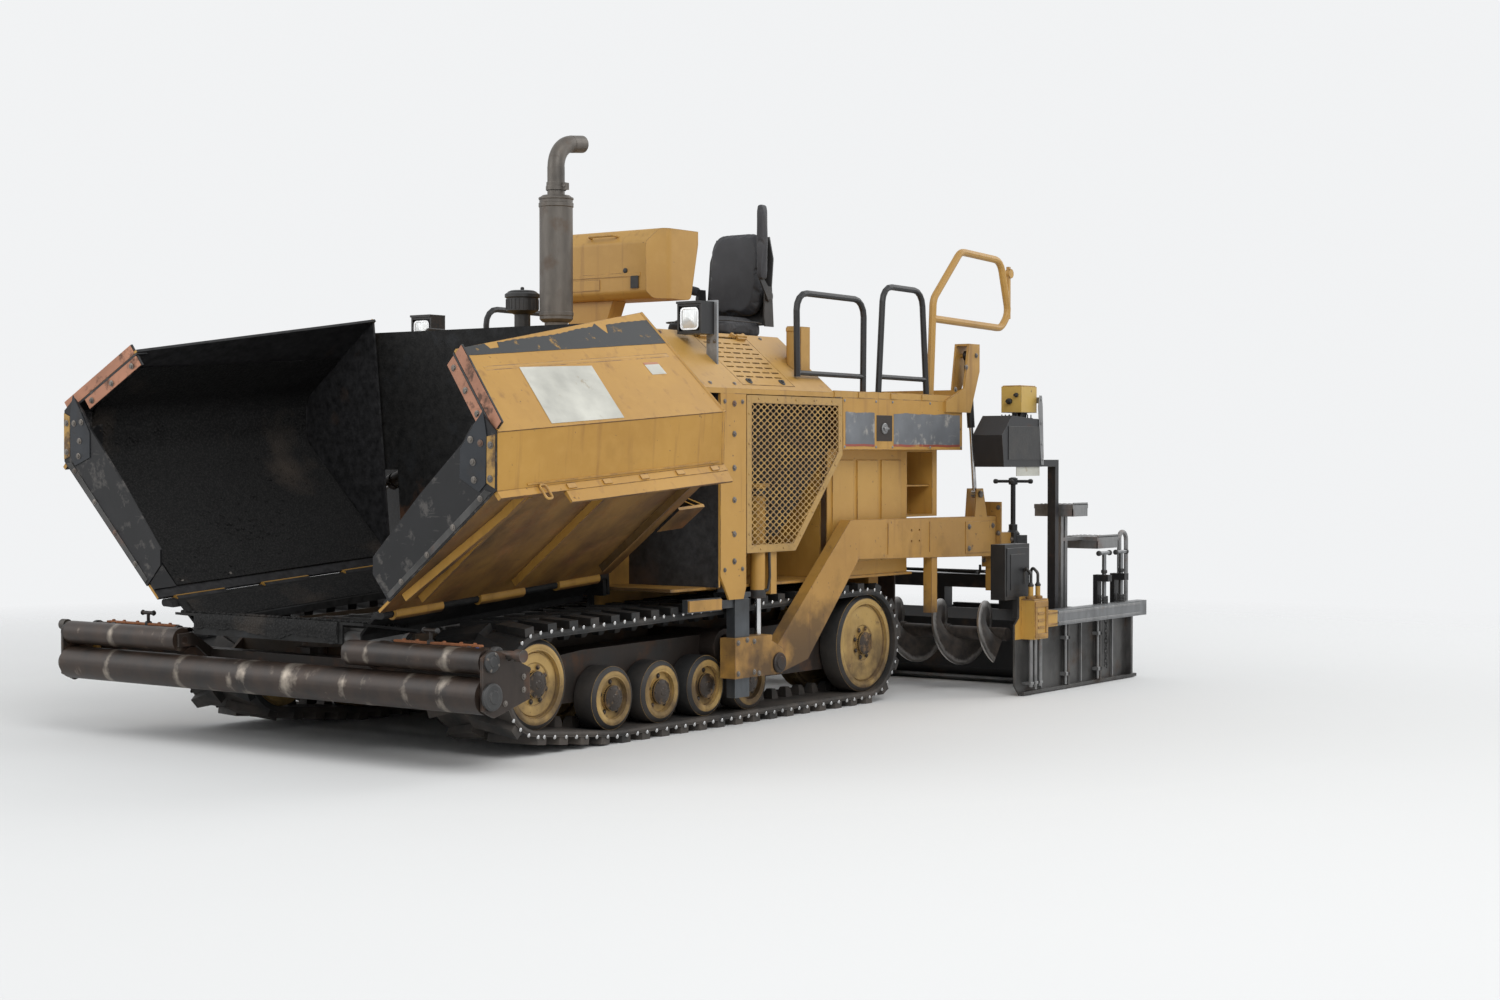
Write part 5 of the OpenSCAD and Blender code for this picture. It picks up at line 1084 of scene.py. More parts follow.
def makeBands(end, side):
    # torn strips on the left band panel, a dark plate that paints the shade of the latch's recess, the
    # latch, screws, plates along the deck's edge and below
    if side > 0:
        bands = begin("bareStrips", "fadedGrey")
        red = begin("stripEdges", "fadedRed")
        for x0, x1, seed in ((-0.48, -0.198, 4), (-1.372, -0.672, 9)):
            x = np.linspace(x0, x1, 80)
            torn = 0.006 * (1 + ripple(x * 40, x * 0, seed, 4))
            top, low = 1.59 - torn, 1.412 + 0.5 * torn[::-1]
            for piece, za, zb in ((bands, low, top), (red, low - 0.012 + 0 * x, low - 0.0005)):
                X = np.repeat(x[:, None], 3, 1)
                Z = za[:, None] + (zb - za)[:, None] * np.array([0, 0.5, 1])
                between(piece, xyz(X, 1.1662, Z), xyz(X, 1.1649, Z))
    # flat dark oily plate round the latch: painted shade of a recess
    recessShade = begin("latchRecessShade" + end, "grime")
    recessShade.sideBlock(side, (-0.655, -0.5), (1.1645, 1.1668), (1.432, 1.572), 0.001)
    latch = begin("latch" + end, "bare")
    latch.sideTurn(side, (-0.577, 1.1668, 1.5), [(0, 0.03), (0.004, 0.03), (0.007, 0.026), (0.007, 0.016),
        (0.012, 0.014)], 20)
    latch.sideBlock(side, (-0.6, -0.554), (1.176, 1.184), (1.495, 1.505))
    screws = [(x, z) for x in (-1.385, -1.05, -0.66, -0.495, -0.19) for z in (1.4, 1.645)]
    latch.scatter(rivetShape, [(x, side * flank, z) for x, z in screws], (0, side, 0), 0.008)
    edges = begin("deckEdgePlates" + end, "paintHigh")
    for x in (-1.34, -1.02, -0.7, -0.38, -0.15):
        edges.sideBlock(side, (x, x + 0.06), (flank + 0.0001, 1.17), (1.662, 1.692), 0.001)
    for x in (-0.9, -0.66, -0.42):
        edges.sideBlock(side, (x, x + 0.2), (1.0631, 1.07), (0.78, 1.33), 0.004)


def makeTowPoint(end, side):
    # bolts and boss of the tow point, hose loops and glands of its cylinder
    bolts = begin("carriageBolts" + end, "wornBolt", "tow_points")
    spots = [(0.775, 0.425), (0.775, 0.272), (0.64, 0.425), (0.64, 0.272), (0.7, 0.435), (0.6, 0.262)]
    bolts.bolts(side, 1.178, spots, 0.0095)
    boss = begin("towBoss" + end, "grime", "tow_points", slot="cast_metal")
    boss.sideTurn(side, (0.43, 1.178, 0.303), [(0, 0.052), (0.01, 0.052), (0.015, 0.047), (0.015, 0.034),
        (0.021, 0.031)], 28)
    boss.bolts(side, 1.188, around(0.43, 0.303, 0.042, (0.5, 2.6, 4.7)), 0.005)
    lines = begin("levellingLines" + end, "blackHose")
    y = side * 1.152
    path = roundPath([(0.5, y - side * 0.015, 1.15), (0.47, y, 1.175), (0.455, y, 1.12),
        (0.47, y - side * 0.01, 0.98), (0.515, y - side * 0.002, 0.93)], 0.05, 7)
    lines.tube(path, 0.0075, 10)
    path = roundPath([(0.53, y - side * 0.012, 0.69), (0.5, y + side * 0.006, 0.66),
        (0.482, y + side * 0.008, 0.74), (0.478, y, 0.9), (0.5, y - side * 0.02, 1.16)], 0.05, 7)
    lines.tube(path, 0.0075, 10)
    gland = begin("levellingGlands" + end, "cast")
    gland.turn((0.525, side * 1.116, 0.632), toTop,
        [(0, 0.03), (0.004, 0.0415), (0.04, 0.0415), (0.044, 0.0395)], 24)
    gland.turn((0.525, side * 1.116, 1.15), toTop, [(0, 0.0395), (0.003, 0.0415), (0.03, 0.0415),
        (0.034, 0.039)], 24)


def makeArm(end, side):
    # doubler plate, seams and end bolts of the tow arm, the eye pin of the lift cylinder
    arm = begin("armDoublers" + end, "paintLow", "screed")
    arm.sideBlock(side, (-1.775, -1.44), (1.1641, 1.168), (0.792, 0.975), 0.001)
    for x in (-1.05, -0.62):
        arm.sideBlock(side, (x, x + 0.006), (1.1641, 1.168), (0.815, 0.985), 0.001)
    bolts = begin("armBolts" + end, "wornBolt", "screed")
    bolts.bolts(side, 1.168, product((-1.745, -1.475), (0.82, 0.945)), 0.011)
    bolts.scatter(boltShape, [(-1.7898, side * y, z) for y in (1.083, 1.18) for z in (0.74, 0.9, 1.05)],
        (1, 0, 0), 0.01)
    bolts.sideTurn(side, (-1.6, 1.164, 1.13), [(0, 0.02), (0.012, 0.02), (0.015, 0.017)], 20)


def makeRear():
    # bolted covers behind the conveyors and hose couplings with short elbows
    x = -1.0102
    cover = begin("rearCovers", "paintHigh")
    for y0, y1, z0, z1 in ((-0.46, -0.06, 1.05, 1.52), (0.02, 0.46, 1.05, 1.52)):
        outline = roundedOutline((y0, z0), (y1, z1), 0.03)
        put = lambda o, at: xyz(at, o[:, 0], o[:, 1])
        inset = roundedOutline((y0 + 0.004, z0 + 0.004), (y1 - 0.004, z1 - 0.004), 0.027)
        cover.rings(np.stack([put(outline, x), put(outline, x - 0.006), put(inset, x - 0.009)], 1)[::-1])
    bolts = begin("rearBolts", "wornBolt")
    for y0, y1 in ((-0.46, -0.06), (0.02, 0.46)):
        bolts.scatter(boltShape, [(x - 0.009, y, z) for y in (y0 + 0.03, y1 - 0.03)
            for z in (1.08, 1.285, 1.49)], (-1, 0, 0), 0.0085)
    pipes = begin("rearLines", "blackHose")
    for y in (-0.4, -0.33, -0.26, 0.26, 0.33, 0.4):
        pipes.turn((x, y, 0.975), (-1, 0, 0), [(0, 0.017), (0.012, 0.017), (0.014, 0.012), (0.024, 0.011)],
            14)
        path = roundPath([(x - 0.022, y, 0.975), (x - 0.045, y, 0.975), (x - 0.045, y, 0.925),
            (x - 0.002, y, 0.915)], 0.02, 6)
        pipes.tube(path, 0.0095, 12)


makeRear()
makeGrilles()
for end, side in sides.items():
    makeColumn(end, side)
    makeBands(end, side)
    makeTowPoint(end, side)
    makeArm(end, side)
finishStage("sides dressed")


# Upper side: lamps, exhaust, hood fittings, console, deck, rails, precleaner

def makeLamps():
    # round-cornered reflector pan and fluted lens in each lamp body, bracket bolts and the visor's lip
    lens = begin("lampLenses", "lens")
    pan = begin("lampPans", "rod", slot="bare_steel")
    trim = begin("lampBolts", "wornBolt")
    for side in sides.values():
        outline = roundedOutline((0.868, 1.979), (0.982, 2.091), 0.022)
        inner = roundedOutline((0.876, 1.987), (0.974, 2.083), 0.017)
        put = lambda o, x: xyz(x, side * o[:, 0], o[:, 1])
        rim = np.stack([put(outline, 0.8285), put(outline, 0.84), put(outline, 0.8425), put(inner, 0.8425),
            put(inner, 0.837)], 1)
        pan.rings(rim if side > 0 else rim[::-1])
        face = np.stack([put(inner, 0.8372), put(inner, 0.84),
            put(roundedOutline((0.886, 1.997), (0.964, 2.073), 0.014), 0.844)], 1)
        lens.rings(face if side > 0 else face[::-1])
        trim.scatter(boltShape, [(0.734, side * 0.985, 2.06), (0.734, side * 0.985, 1.99),
            (0.734, side * 0.965, 1.925), (0.734, side * 1.002, 1.925)], (1, 0, 0), 0.007)


def makeExhaust():
    # seam down the shell, clamps with their bolts, weld rings and a black disc in the pipe: soot and the
    # painted shade of its hole
    x, y = 0.94, 0.135
    piece = begin("mufflerTrim", "exhaust")
    piece.turn((x, y, 2.716), toTop, [(0, 0.0505), (0.002, 0.053), (0.022, 0.053), (0.024, 0.0505)], 32)
    piece.turn((x, y, 2.668), toTop, [(0, 0.088), (0.003, 0.0905), (0.009, 0.0905), (0.012, 0.088)], 40)
    piece.turn((x, y, 2.07), toTop, [(0, 0.0862), (0.003, 0.089), (0.02, 0.089), (0.023, 0.0862)], 40)
    t = np.linspace(-0.03, 0.03, 4)
    a, z = net(2.6 + t, np.linspace(2.06, 2.645, 20))
    top = xyz(x + 0.0885 * np.cos(a), y + 0.0885 * np.sin(a), z)
    base = xyz(x + 0.0855 * np.cos(a), y + 0.0855 * np.sin(a), z)
    between(piece, top, base)
    piece.block((x - 0.012, y + 0.05, 2.716), (x + 0.012, y + 0.078, 2.752))
    bolts = begin("clampBolts", "wornBolt")
    bolts.scatter(boltShape, [(x + 0.012, y + 0.067, 2.734)], (1, 0, 0), 0.006)
    bolts.scatter(boltShape, [(x + 0.07 * math.cos(k), y + 0.07 * math.sin(k), 1.9855)
        for k in (0.8, 2.4, 3.9, 5.5)], toTop, 0.007)
    # black disc that closes the pipe: soot, and painted shade of the hole's depth
    dark = begin("pipeMouthSootAndShade", "soot")
    bend, r = (x - 0.13, y, 2.838), 0.13
    a = math.radians(84)
    tip = np.array([bend[0] + r * math.cos(a), y, bend[2] + r * math.sin(a)])
    along = np.array([-math.sin(a), 0, math.cos(a)])
    dark.turn(tip + along * 0.024, along, [(0.0, 0.0405), (0.004, 0.0405)], 24)


def makeHood():
    # seams, grab handles and filler caps on the flat top, door latches, bolts on the slopes, tank caps
    seams = begin("hoodSeams", "paintHigh")
    for y in (-0.52, 0.52):
        seams.block((0.0, y - 0.02, hoodTop + 0.0001), (1.2, y + 0.02, 1.9885), 0.0012)
    for x in (0.695, 1.215):
        seams.block((x, -0.78, hoodTop + 0.0001), (x + 0.035, 0.78, 1.988), 0.0012)
    seams.block((0.5, -0.3, hoodTop + 0.0001), (0.66, 0.3, 2.002), 0.004)
    bars = begin("hoodHandles", "blackPaint")
    for y in (-0.68, 0.68):
        for x in (0.4, 0.98):
            path = roundPath([(x - 0.075, y, 1.984), (x - 0.075, y, 2.026), (x + 0.075, y, 2.026),
                (x + 0.075, y, 1.984)], 0.022, 6)
            bars.tube(path, 0.0075, 10)
    caps = begin("fillerCaps", "cast")
    for x, y, r in ((0.84, 0.46, 0.05), (0.66, -0.62, 0.042)):
        caps.turn((x, y, hoodTop + 0.0002), toTop, [(0, r * 1.25), (0.008, r * 1.25), (0.01, r), (0.034, r),
            (0.042, r * 0.86), (0.045, r * 0.3)], 24)
        caps.block((x - r * 0.8, y - 0.007, 2.026), (x + r * 0.8, y + 0.007, 2.044))
    slope = math.atan2(hoodTop - 1.686, 1.165 - 0.8)
    for end, side in sides.items():
        down = np.array([0, side * math.cos(slope), -math.sin(slope)])
        out = np.array([0, side * math.sin(slope), math.cos(slope)])
        latch = begin("doorLatches" + end, "cast", "hood_" + end.lower())
        for x in (0.315, 0.6):
            at = np.array([x, side * 0.8, hoodTop]) + down * 0.408 + out * 0.0002
            latch.turn(at, out, [(0, 0.021), (0.003, 0.021), (0.005, 0.017), (0.005, 0.011), (0.011, 0.01),
                (0.013, 0.007)], 18)
        eye = begin("slopeFittings" + end, "wornBolt")
        at = np.array([[x, side * 0.8, hoodTop] for x in (0.1, 0.75, 0.95, 1.15)]) + down * 0.028
        eye.scatter(boltShape, at, out, 0.008)
        at = np.array([[x, side * 0.8, hoodTop] for x in (0.75, 0.95, 1.15)]) + down * 0.435
        eye.scatter(boltShape, at, out, 0.008)
        box = begin("hoodTank" + end, "paintHigh")
        box.turn((0.062, side * 1.0, 2.0005), toTop,
            [(0, 0.0262), (0.004, 0.031), (0.02, 0.031), (0.026, 0.027), (0.028, 0.01)], 20)


def makeConsole():
    # hood seams, slot handle, latch, and the instruments that face the seat
    trim = begin("consoleTrim", "paintHigh")
    trim.block((0.5001, -0.33, 2.298), (0.5035, 0.335, 2.318), 0.0012)
    trim.block((0.5001, -0.33, 2.232), (0.504, 0.06, 2.29), 0.0015)
    path = roundPath([(0.47, -0.02, 2.512), (0.505, -0.02, 2.52), (0.505, 0.16, 2.52), (0.47, 0.16, 2.512)],
        0.018, 6)
    trim.tube(path, 0.0065, 10)
    dark = begin("consoleFittings", "plastic")
    dark.turn((0.4999, 0.235, 2.33), (1, 0, 0), [(0, 0.014), (0.004, 0.014), (0.006, 0.01)], 18)
    dark.block((0.4999, 0.275, 2.235), (0.508, 0.325, 2.3), 0.003)
    # instrument board on the seat side with its gauges, knobs and levers
    dark.block((0.12, -0.36, 2.3), (0.1495, 0.39, 2.5), 0.006)
    for y in (-0.26, -0.13, 0.0):
        dark.turn((0.12, y, 2.42), (-1, 0, 0), [(0, 0.044), (0.006, 0.044), (0.01, 0.04), (0.01, 0.034)],
            26)
    for y in (0.13, 0.2, 0.27, 0.34):
        dark.turn((0.12, y, 2.44), (-1, 0, 0), [(0, 0.016), (0.004, 0.016), (0.018, 0.011), (0.021, 0.007)],
            14)
    dark.turn((0.12, 0.235, 2.35), (-1, 0, 0), [(0, 0.04), (0.01, 0.04), (0.018, 0.032), (0.034, 0.03),
        (0.04, 0.024)], 28)
    faces = begin("gaugeFaces", "signWhite", slot="black_plastic")
    for y in (-0.26, -0.13, 0.0):
        faces.turn((0.11, y, 2.42), (-1, 0, 0), [(0, 0.0338), (0.0016, 0.0338)], 26)
    levers = begin("driveLevers", "rod")
    knobs = begin("leverKnobs", "plastic")
    for y in (-0.16, 0.02):
        levers.tube([(0.122, y, 2.33), (0.08, y, 2.345), (0.05, y, 2.38), (0.04, y, 2.44)], 0.006, 10)
        knobs.turn((0.04, y, 2.436), (-0.1, 0, 0.99),
            [(0, 0.008), (0.006, 0.015), (0.02, 0.019), (0.034, 0.015), (0.04, 0.006)], 18)


def makeDeck():
    # raised tread pattern, hatches with their handles and hinges
    tread = begin("treadBars", "paintHigh", smooth=30)
    bar = mergedTemplate(([(0, 1.0), (0.18, 0.86), (0.24, 0.5)], 6))
    x, y = net(np.arange(-1.36, -0.12, 0.062), np.arange(-1.12, 1.13, 0.062))
    odd = (np.indices(x.shape).sum(0) % 2).ravel()
    at = xyz(x.ravel(), y.ravel(), deckTop)
    free = (np.hypot(at[:, 0] + 0.33, at[:, 1] - 0.2) > 0.1) & (np.abs(at[:, 1]) < 1.04)
    points, faces = bar
    for k, (sx, sy) in enumerate(((1.0, 0.34), (0.34, 1.0))):
        shape = points * np.array([sx, sy, 1.0])
        chosen = at[free & (odd == k)]
        p = chosen[:, None] + 0.0115 * shape[None]
        n = len(points)
        ids = [[i + q * n for i in f] for q in range(len(chosen)) for f in faces]
        tread.add(p, ids)
    frames = begin("deckHatches", "paintHigh")
    for x0, x1, y0, y1 in ((-1.3, -0.72, -0.95, -0.2), (-1.3, -0.72, 0.42, 0.98)):
        frames.block((x0, y0, deckTop + 0.0001), (x1, y1, 1.676), 0.002)
    hinges = begin("hatchHandles", "blackPaint")
    for y in (-0.575, 0.7):
        hinges.tube(roundPath([(-1.22, y - 0.05, 1.675), (-1.22, y - 0.05, 1.7), (-1.22, y + 0.05, 1.7),
            (-1.22, y + 0.05, 1.675)], 0.012, 5), 0.005, 8)
        hinges.turn((-0.735, y - 0.12, 1.678), (0, 1, 0), [(0, 0.008), (0.24, 0.008)], 10)


def makeRails():
    # weld collars at the feet of the rails and bolts of the grab rail
    collars = begin("railCollars", "blackPaint")
    bolts = begin("railBolts", "wornBolt")
    for side in sides.values():
        for x, y, z in ((-0.48, 1.09, 1.6705), (-0.6, 1.11, 1.6705), (-1.1, 1.11, 1.6705)):
            collars.turn((x, side * y, z), toTop, [(0, 0.038), (0.006, 0.038), (0.01, 0.03), (0.02, 0.02)],
                18)
            bolts.scatter(boltShape, [(x + dx, side * y, z + 0.006) for dx in (-0.028, 0.028)], toTop,
                0.005)
        bolts.scatter(boltShape, [(x, side * y, 1.6822) for x in (-1.207, -1.145) for y in (1.07, 1.12)],
            toTop, 0.0065)
        bolts.bolts(side, 1.1792, ((-1.3, 1.73), (-1.42, 1.86), (-1.53, 1.93)), 0.01)


def makePrecleaner():
    x, y = 0.905, -0.13
    piece = begin("precleanerCap", "plastic")
    piece.turn((x, y, 2.2062), toTop, [(0, 0.074), (0.003, 0.076), (0.01, 0.06), (0.013, 0.02)], 32)
    piece.turn((x, y, 2.219), toTop, [(0, 0.01), (0.012, 0.01), (0.016, 0.006)], 12)
    for t in circle(24):
        c, s = math.cos(t), math.sin(t)
        piece.tube([(x + 0.0845 * c, y + 0.0845 * s, 2.116), (x + 0.0845 * c, y + 0.0845 * s, 2.17)],
            0.0028, 5)


makeLamps()
makeExhaust()
makeHood()
makeConsole()
makeDeck()
makeRails()
makePrecleaner()
finishStage("upper side dressed")


# Lower side: tracks, push rollers, screed and augers

track = {"roads": [(1.59 - 0.362 * k, 0.2143) for k in range(4)], "roadR": 0.15,
    "idler": (2.129, 0.322, 0.2057), "drive": (-0.56, 0.33, 0.2657), "out": 1.055}


def makeWheels(end, side):
    # rubber tyre ring, dished rim lip, hub cap and bolt circle on the outer face of every wheel
    tyre = begin("wheelTyres" + end, "tyre", smooth=60)
    lip = begin("wheelRims" + end, "rim")
    hub = begin("wheelHubs" + end, "hubGrease")
    y = side * track["out"]
    wheels = [(x, z, track["roadR"], False) for x, z in track["roads"]]
    wheels += [(*track["idler"], True), (*track["drive"], True)]
    for x, z, r, big in wheels:
        tyre.sideTurn(side, (x, 0.938, z), [(-0.0012, r - 0.02), (-0.0012, r + 0.001), (0.102, r + 0.001),
            (0.108, r - 0.004), (0.1175, r - 0.021)], 64, True)
        lip.turn((x, y, z), (0, side, 0), [(-0.02, r - 0.0535), (-0.014, r - 0.0515), (0.0002, r - 0.045),
            (0.003, r - 0.038), (0.003, r - 0.03), (-0.002, r - 0.022), (-0.01, r - 0.024)], 56, True)
        if big:
            lip.turn((x, y - side * 0.0238, z), (0, side, 0),
                [(0, r - 0.06), (0.006, r - 0.064), (0.006, 0.1), (0.0, 0.094)], 56, True)
        hub.turn((x, y + side * 0.006, z), (0, side, 0), [(-0.029, 0.0615), (-0.01, 0.0625), (-0.004, 0.06),
            (0.0, 0.046), (0.003, 0.04), (0.003, 0.02), (0.006, 0.016)], 36)
        count, ring = (8, 0.08) if big else (5, 0.076)
        depth = -0.018 if big else -0.0235
        hub.bolts(side, track["out"] + depth, around(x, z, ring, 0.3 + circle(count)), 0.0085)
        hub.bolts(side, track["out"] + 0.002, around(x, z, 0.052, circle(6)), 0.005)


def beltPath():
    # tangent lines and arcs round the idler, drive wheel and first road wheel, at the belt's inner face
    wheels = [(*track["idler"][:2], 0.27), (*track["drive"][:2], 0.33),
        (track["roads"][0][0], 0.214, 0.214)]

    def angle(a, b):
        dx, dz = b[0] - a[0], b[1] - a[1]
        return math.atan2(dz, dx) - math.acos((a[2] - b[2]) / math.hypot(dx, dz))

    points = []
    for k in range(3):
        before, here, after = wheels[k - 1], wheels[k], wheels[(k + 1) % 3]
        a0, a1 = angle(before, here), angle(here, after)
        a1 = a1 + 2 * math.pi if a1 < a0 else a1
        t = np.linspace(a0, a1, 60)
        points.append(np.stack([here[0] + here[2] * np.cos(t), here[1] + here[2] * np.sin(t)], 1))
    return resample(np.concatenate(points + [points[0][:1]]), 1200)


def makeBelt(end, side):
    # bright studs along the outer edge, a raised edge bead and the guide lugs inside
    path = beltPath()
    step = np.gradient(path, axis=0)
    step /= np.linalg.norm(step, axis=1)[:, None]
    outward = np.stack([step[:, 1], -step[:, 0]], 1)
    centre = path.mean(0)
    outward *= np.sign(np.sum(outward * (path - centre)))
    mid = path - outward * 0.036
    length = np.linalg.norm(np.diff(path, axis=0), axis=1).sum()
    bead = begin("beltEdge" + end, "rubber", smooth=50)
    ring = mid[:-1:8] - outward[:-1:8] * 0.014
    p = xyz(ring[:, 0], side * 1.0772, ring[:, 1])
    n = xyz(outward[:-1:8, 0], 0.0, outward[:-1:8, 1])
    t = circle(8)[:, None, None]
    tube = p[None] + 0.0085 * n[None] * np.cos(t) + 0.0035 * np.array([0, side, 0]) * np.sin(t)
    bead.grid(facing(tube, (0, 0, 0)) if side > 0 else tube[::-1], True, True)
    # guide lugs in a row along the inner face
    k = (np.arange(0, 1199, 1199 / 58)).astype(int)
    inner = mid[k] - outward[k] * 0.0285
    for q, o, s in zip(inner, outward[k], step[k]):
        wide, high = 0.03, 0.052
        corner = lambda along, y, up, scale: (q[0] + s[0] * along * scale - o[0] * up,
            side * 0.837 + y * scale, q[1] + s[1] * along * scale - o[1] * up)
        levels = ((0.0, 1.0), (high * 0.6, 0.86), (high, 0.6))
        corners = ((-1, -1), (1, -1), (1, 1), (-1, 1))
        rows = np.array([[corner(a * 0.028, b * wide, up, sc) for up, sc in levels] for a, b in corners])
        volume = np.dot(np.cross(rows[1, 0] - rows[0, 0], rows[3, 0] - rows[0, 0]), rows[0, 2] - rows[0, 0])
        bead.rings(rows if volume > 0 else rows[::-1])
    studs = begin("beltStuds" + end, "rod")
    k = (np.arange(0, 1199, 1199 * 0.0745 / length)).astype(int)
    at = xyz(mid[k, 0], side * 1.0768, mid[k, 1])
    studs.scatter(rivetShape, at, (0, side, 0), 0.0105)


def makeFront():
    # bearing caps, locknuts, worn collars and locking pins of the roller beam
    tubeX, tubeZ = 2.69, 0.512
    cap = begin("beamBearings", "cast", "roller_beam")
    nuts = begin("beamBolts", "wornBolt", "roller_beam")
    for side in sides.values():
        y = 1.396
        cap.sideTurn(side, (2.802, y, 0.345), [(0.0002, 0.058), (0.012, 0.058), (0.018, 0.05),
            (0.018, 0.03), (0.0235, 0.026)], 28)
        cap.sideTurn(side, (2.802, y, 0.491), [(0.0002, 0.044), (0.01, 0.044), (0.014, 0.038),
            (0.014, 0.024), (0.019, 0.02)], 24)
        for cx, cz, r in ((2.802, 0.345, 0.046), (2.802, 0.491, 0.035)):
            nuts.bolts(side, y + 0.012, around(cx, cz, r, (0.4, 1.97, 3.54, 5.11)), 0.0055)
        nuts.bolts(side, y, ((2.6, 0.36), (2.6, 0.415), (2.715, 0.31)), 0.009)
        nuts.scatter(boltShape, [(2.64, side * y2, 0.385) for y2 in (0.25, 0.6, 0.95, 1.25)], (1, 0, 0),
            0.01)
        # T handle's knob ends, and the clamp blocks on the guide tube
        for yy in (0.904, 0.976):
            cap.turn((tubeX, side * yy, 0.596), (0, side if yy > 0.94 else -side, 0),
                [(0, 0.012), (0.004, 0.0135), (0.01, 0.01), (0.012, 0.004)], 14)
        cap.turn((tubeX, side * 0.94, 0.5385), toTop, [(0, 0.017), (0.014, 0.017), (0.018, 0.01)], 6)
        for yy in (0.72, 1.18, 1.32):
            cap.turn((tubeX, side * yy, tubeZ), (0, 1, 0), [(-0.012, 0.0272), (-0.01, 0.033), (0.01, 0.033),
                (0.012, 0.0272)], 24)
        cap.sideTurn(side, (tubeX, 1.3302, tubeZ), [(0, 0.0195), (0.0005, 0.0315), (0.006, 0.0315),
            (0.009, 0.0285), (0.009, 0.0195)], 28, True)
    tape = begin("blueTape", "blueTape", "roller_beam")
    tape.turn((tubeX, 1.226, tubeZ), (0, 1, 0), [(-0.009, 0.0273), (-0.008, 0.0285), (0.009, 0.0283),
        (0.01, 0.0273)], 30)
    rusty = begin("tubeBars", "orangeRust", "roller_beam")
    upright = begin("beamUprights", "paintLow", "roller_beam")
    for side in sides.values():
        rusty.sideBlock(side, (2.677, 2.703), (0.726, 1.238), (0.538, 0.5475), 0.002)
        for y in (0.78, 0.86, 1.02, 1.12, 1.2):
            rusty.turn((tubeX, side * y, 0.5475), toTop, [(0, 0.0085), (0.005, 0.0085), (0.007, 0.005)], 6)
        upright.sideBlock(side, (2.648, 2.676), (1.352, 1.3795), (0.33, 0.47), 0.002)
        upright.sideBlock(side, (2.652, 2.672), (1.344, 1.3795), (0.296, 0.33), 0.002)
    rods = begin("beamRods", "cast", "roller_beam")
    for side in sides.values():
        rods.sideTurn(side, (tubeX, 0.5, tubeZ), [(0, 0.01), (0.137, 0.01)], 12)


def makeAuger(end, side):
    # flight: the line from shaft to rim turns while it moves along the shaft; two such faces and a rim
    body, node = "screw_" + end.lower(), "auger_" + end.lower()
    x, z, r0, r1 = -1.48, 0.335, 0.037, 0.19
    start, length, pitch = 0.144, 1.245, 0.3
    turns = length / pitch
    t = np.linspace(0, 1, int(turns * 30) + 1)
    a = -t * turns * 2 * np.pi
    s = np.linspace(0, 1, 5)
    radius = r0 + (r1 - r0) * s
    wear = 1 - 0.012 * (1 + np.sin(a * 3.1)) * 0.5
    R = radius[None, :] * np.where(s[None, :] > 0.9, wear[:, None], 1.0)
    thick = np.interp(s, (0, 1), (0.009, 0.0055))
    Y = start + t[:, None] * length + 0 * R
    place = lambda y: xyz(x + R * np.cos(a)[:, None], side * y, z + R * np.sin(a)[:, None])
    flight = begin("augerScrew" + end, "augerSteel", body, smooth=50, replaces=[node])
    between(flight, place(Y + thick), place(Y - thick))
    flight.sideTurn(side, (x, 0.1181, z), [(0, 0.038), (0.02, 0.038), (1.27, 0.038), (1.3018, 0.038)], 28)
    flight.sideTurn(side, (x, 0.1185, z), [(0, 0.046), (0.012, 0.052), (0.03, 0.052), (0.034, 0.04)], 24)
    for along in (0.42, 0.72, 1.02):
        flight.sideTurn(side, (x, along, z), [(-0.016, 0.0385), (-0.013, 0.046), (0.013, 0.046),
            (0.016, 0.0385)], 20)


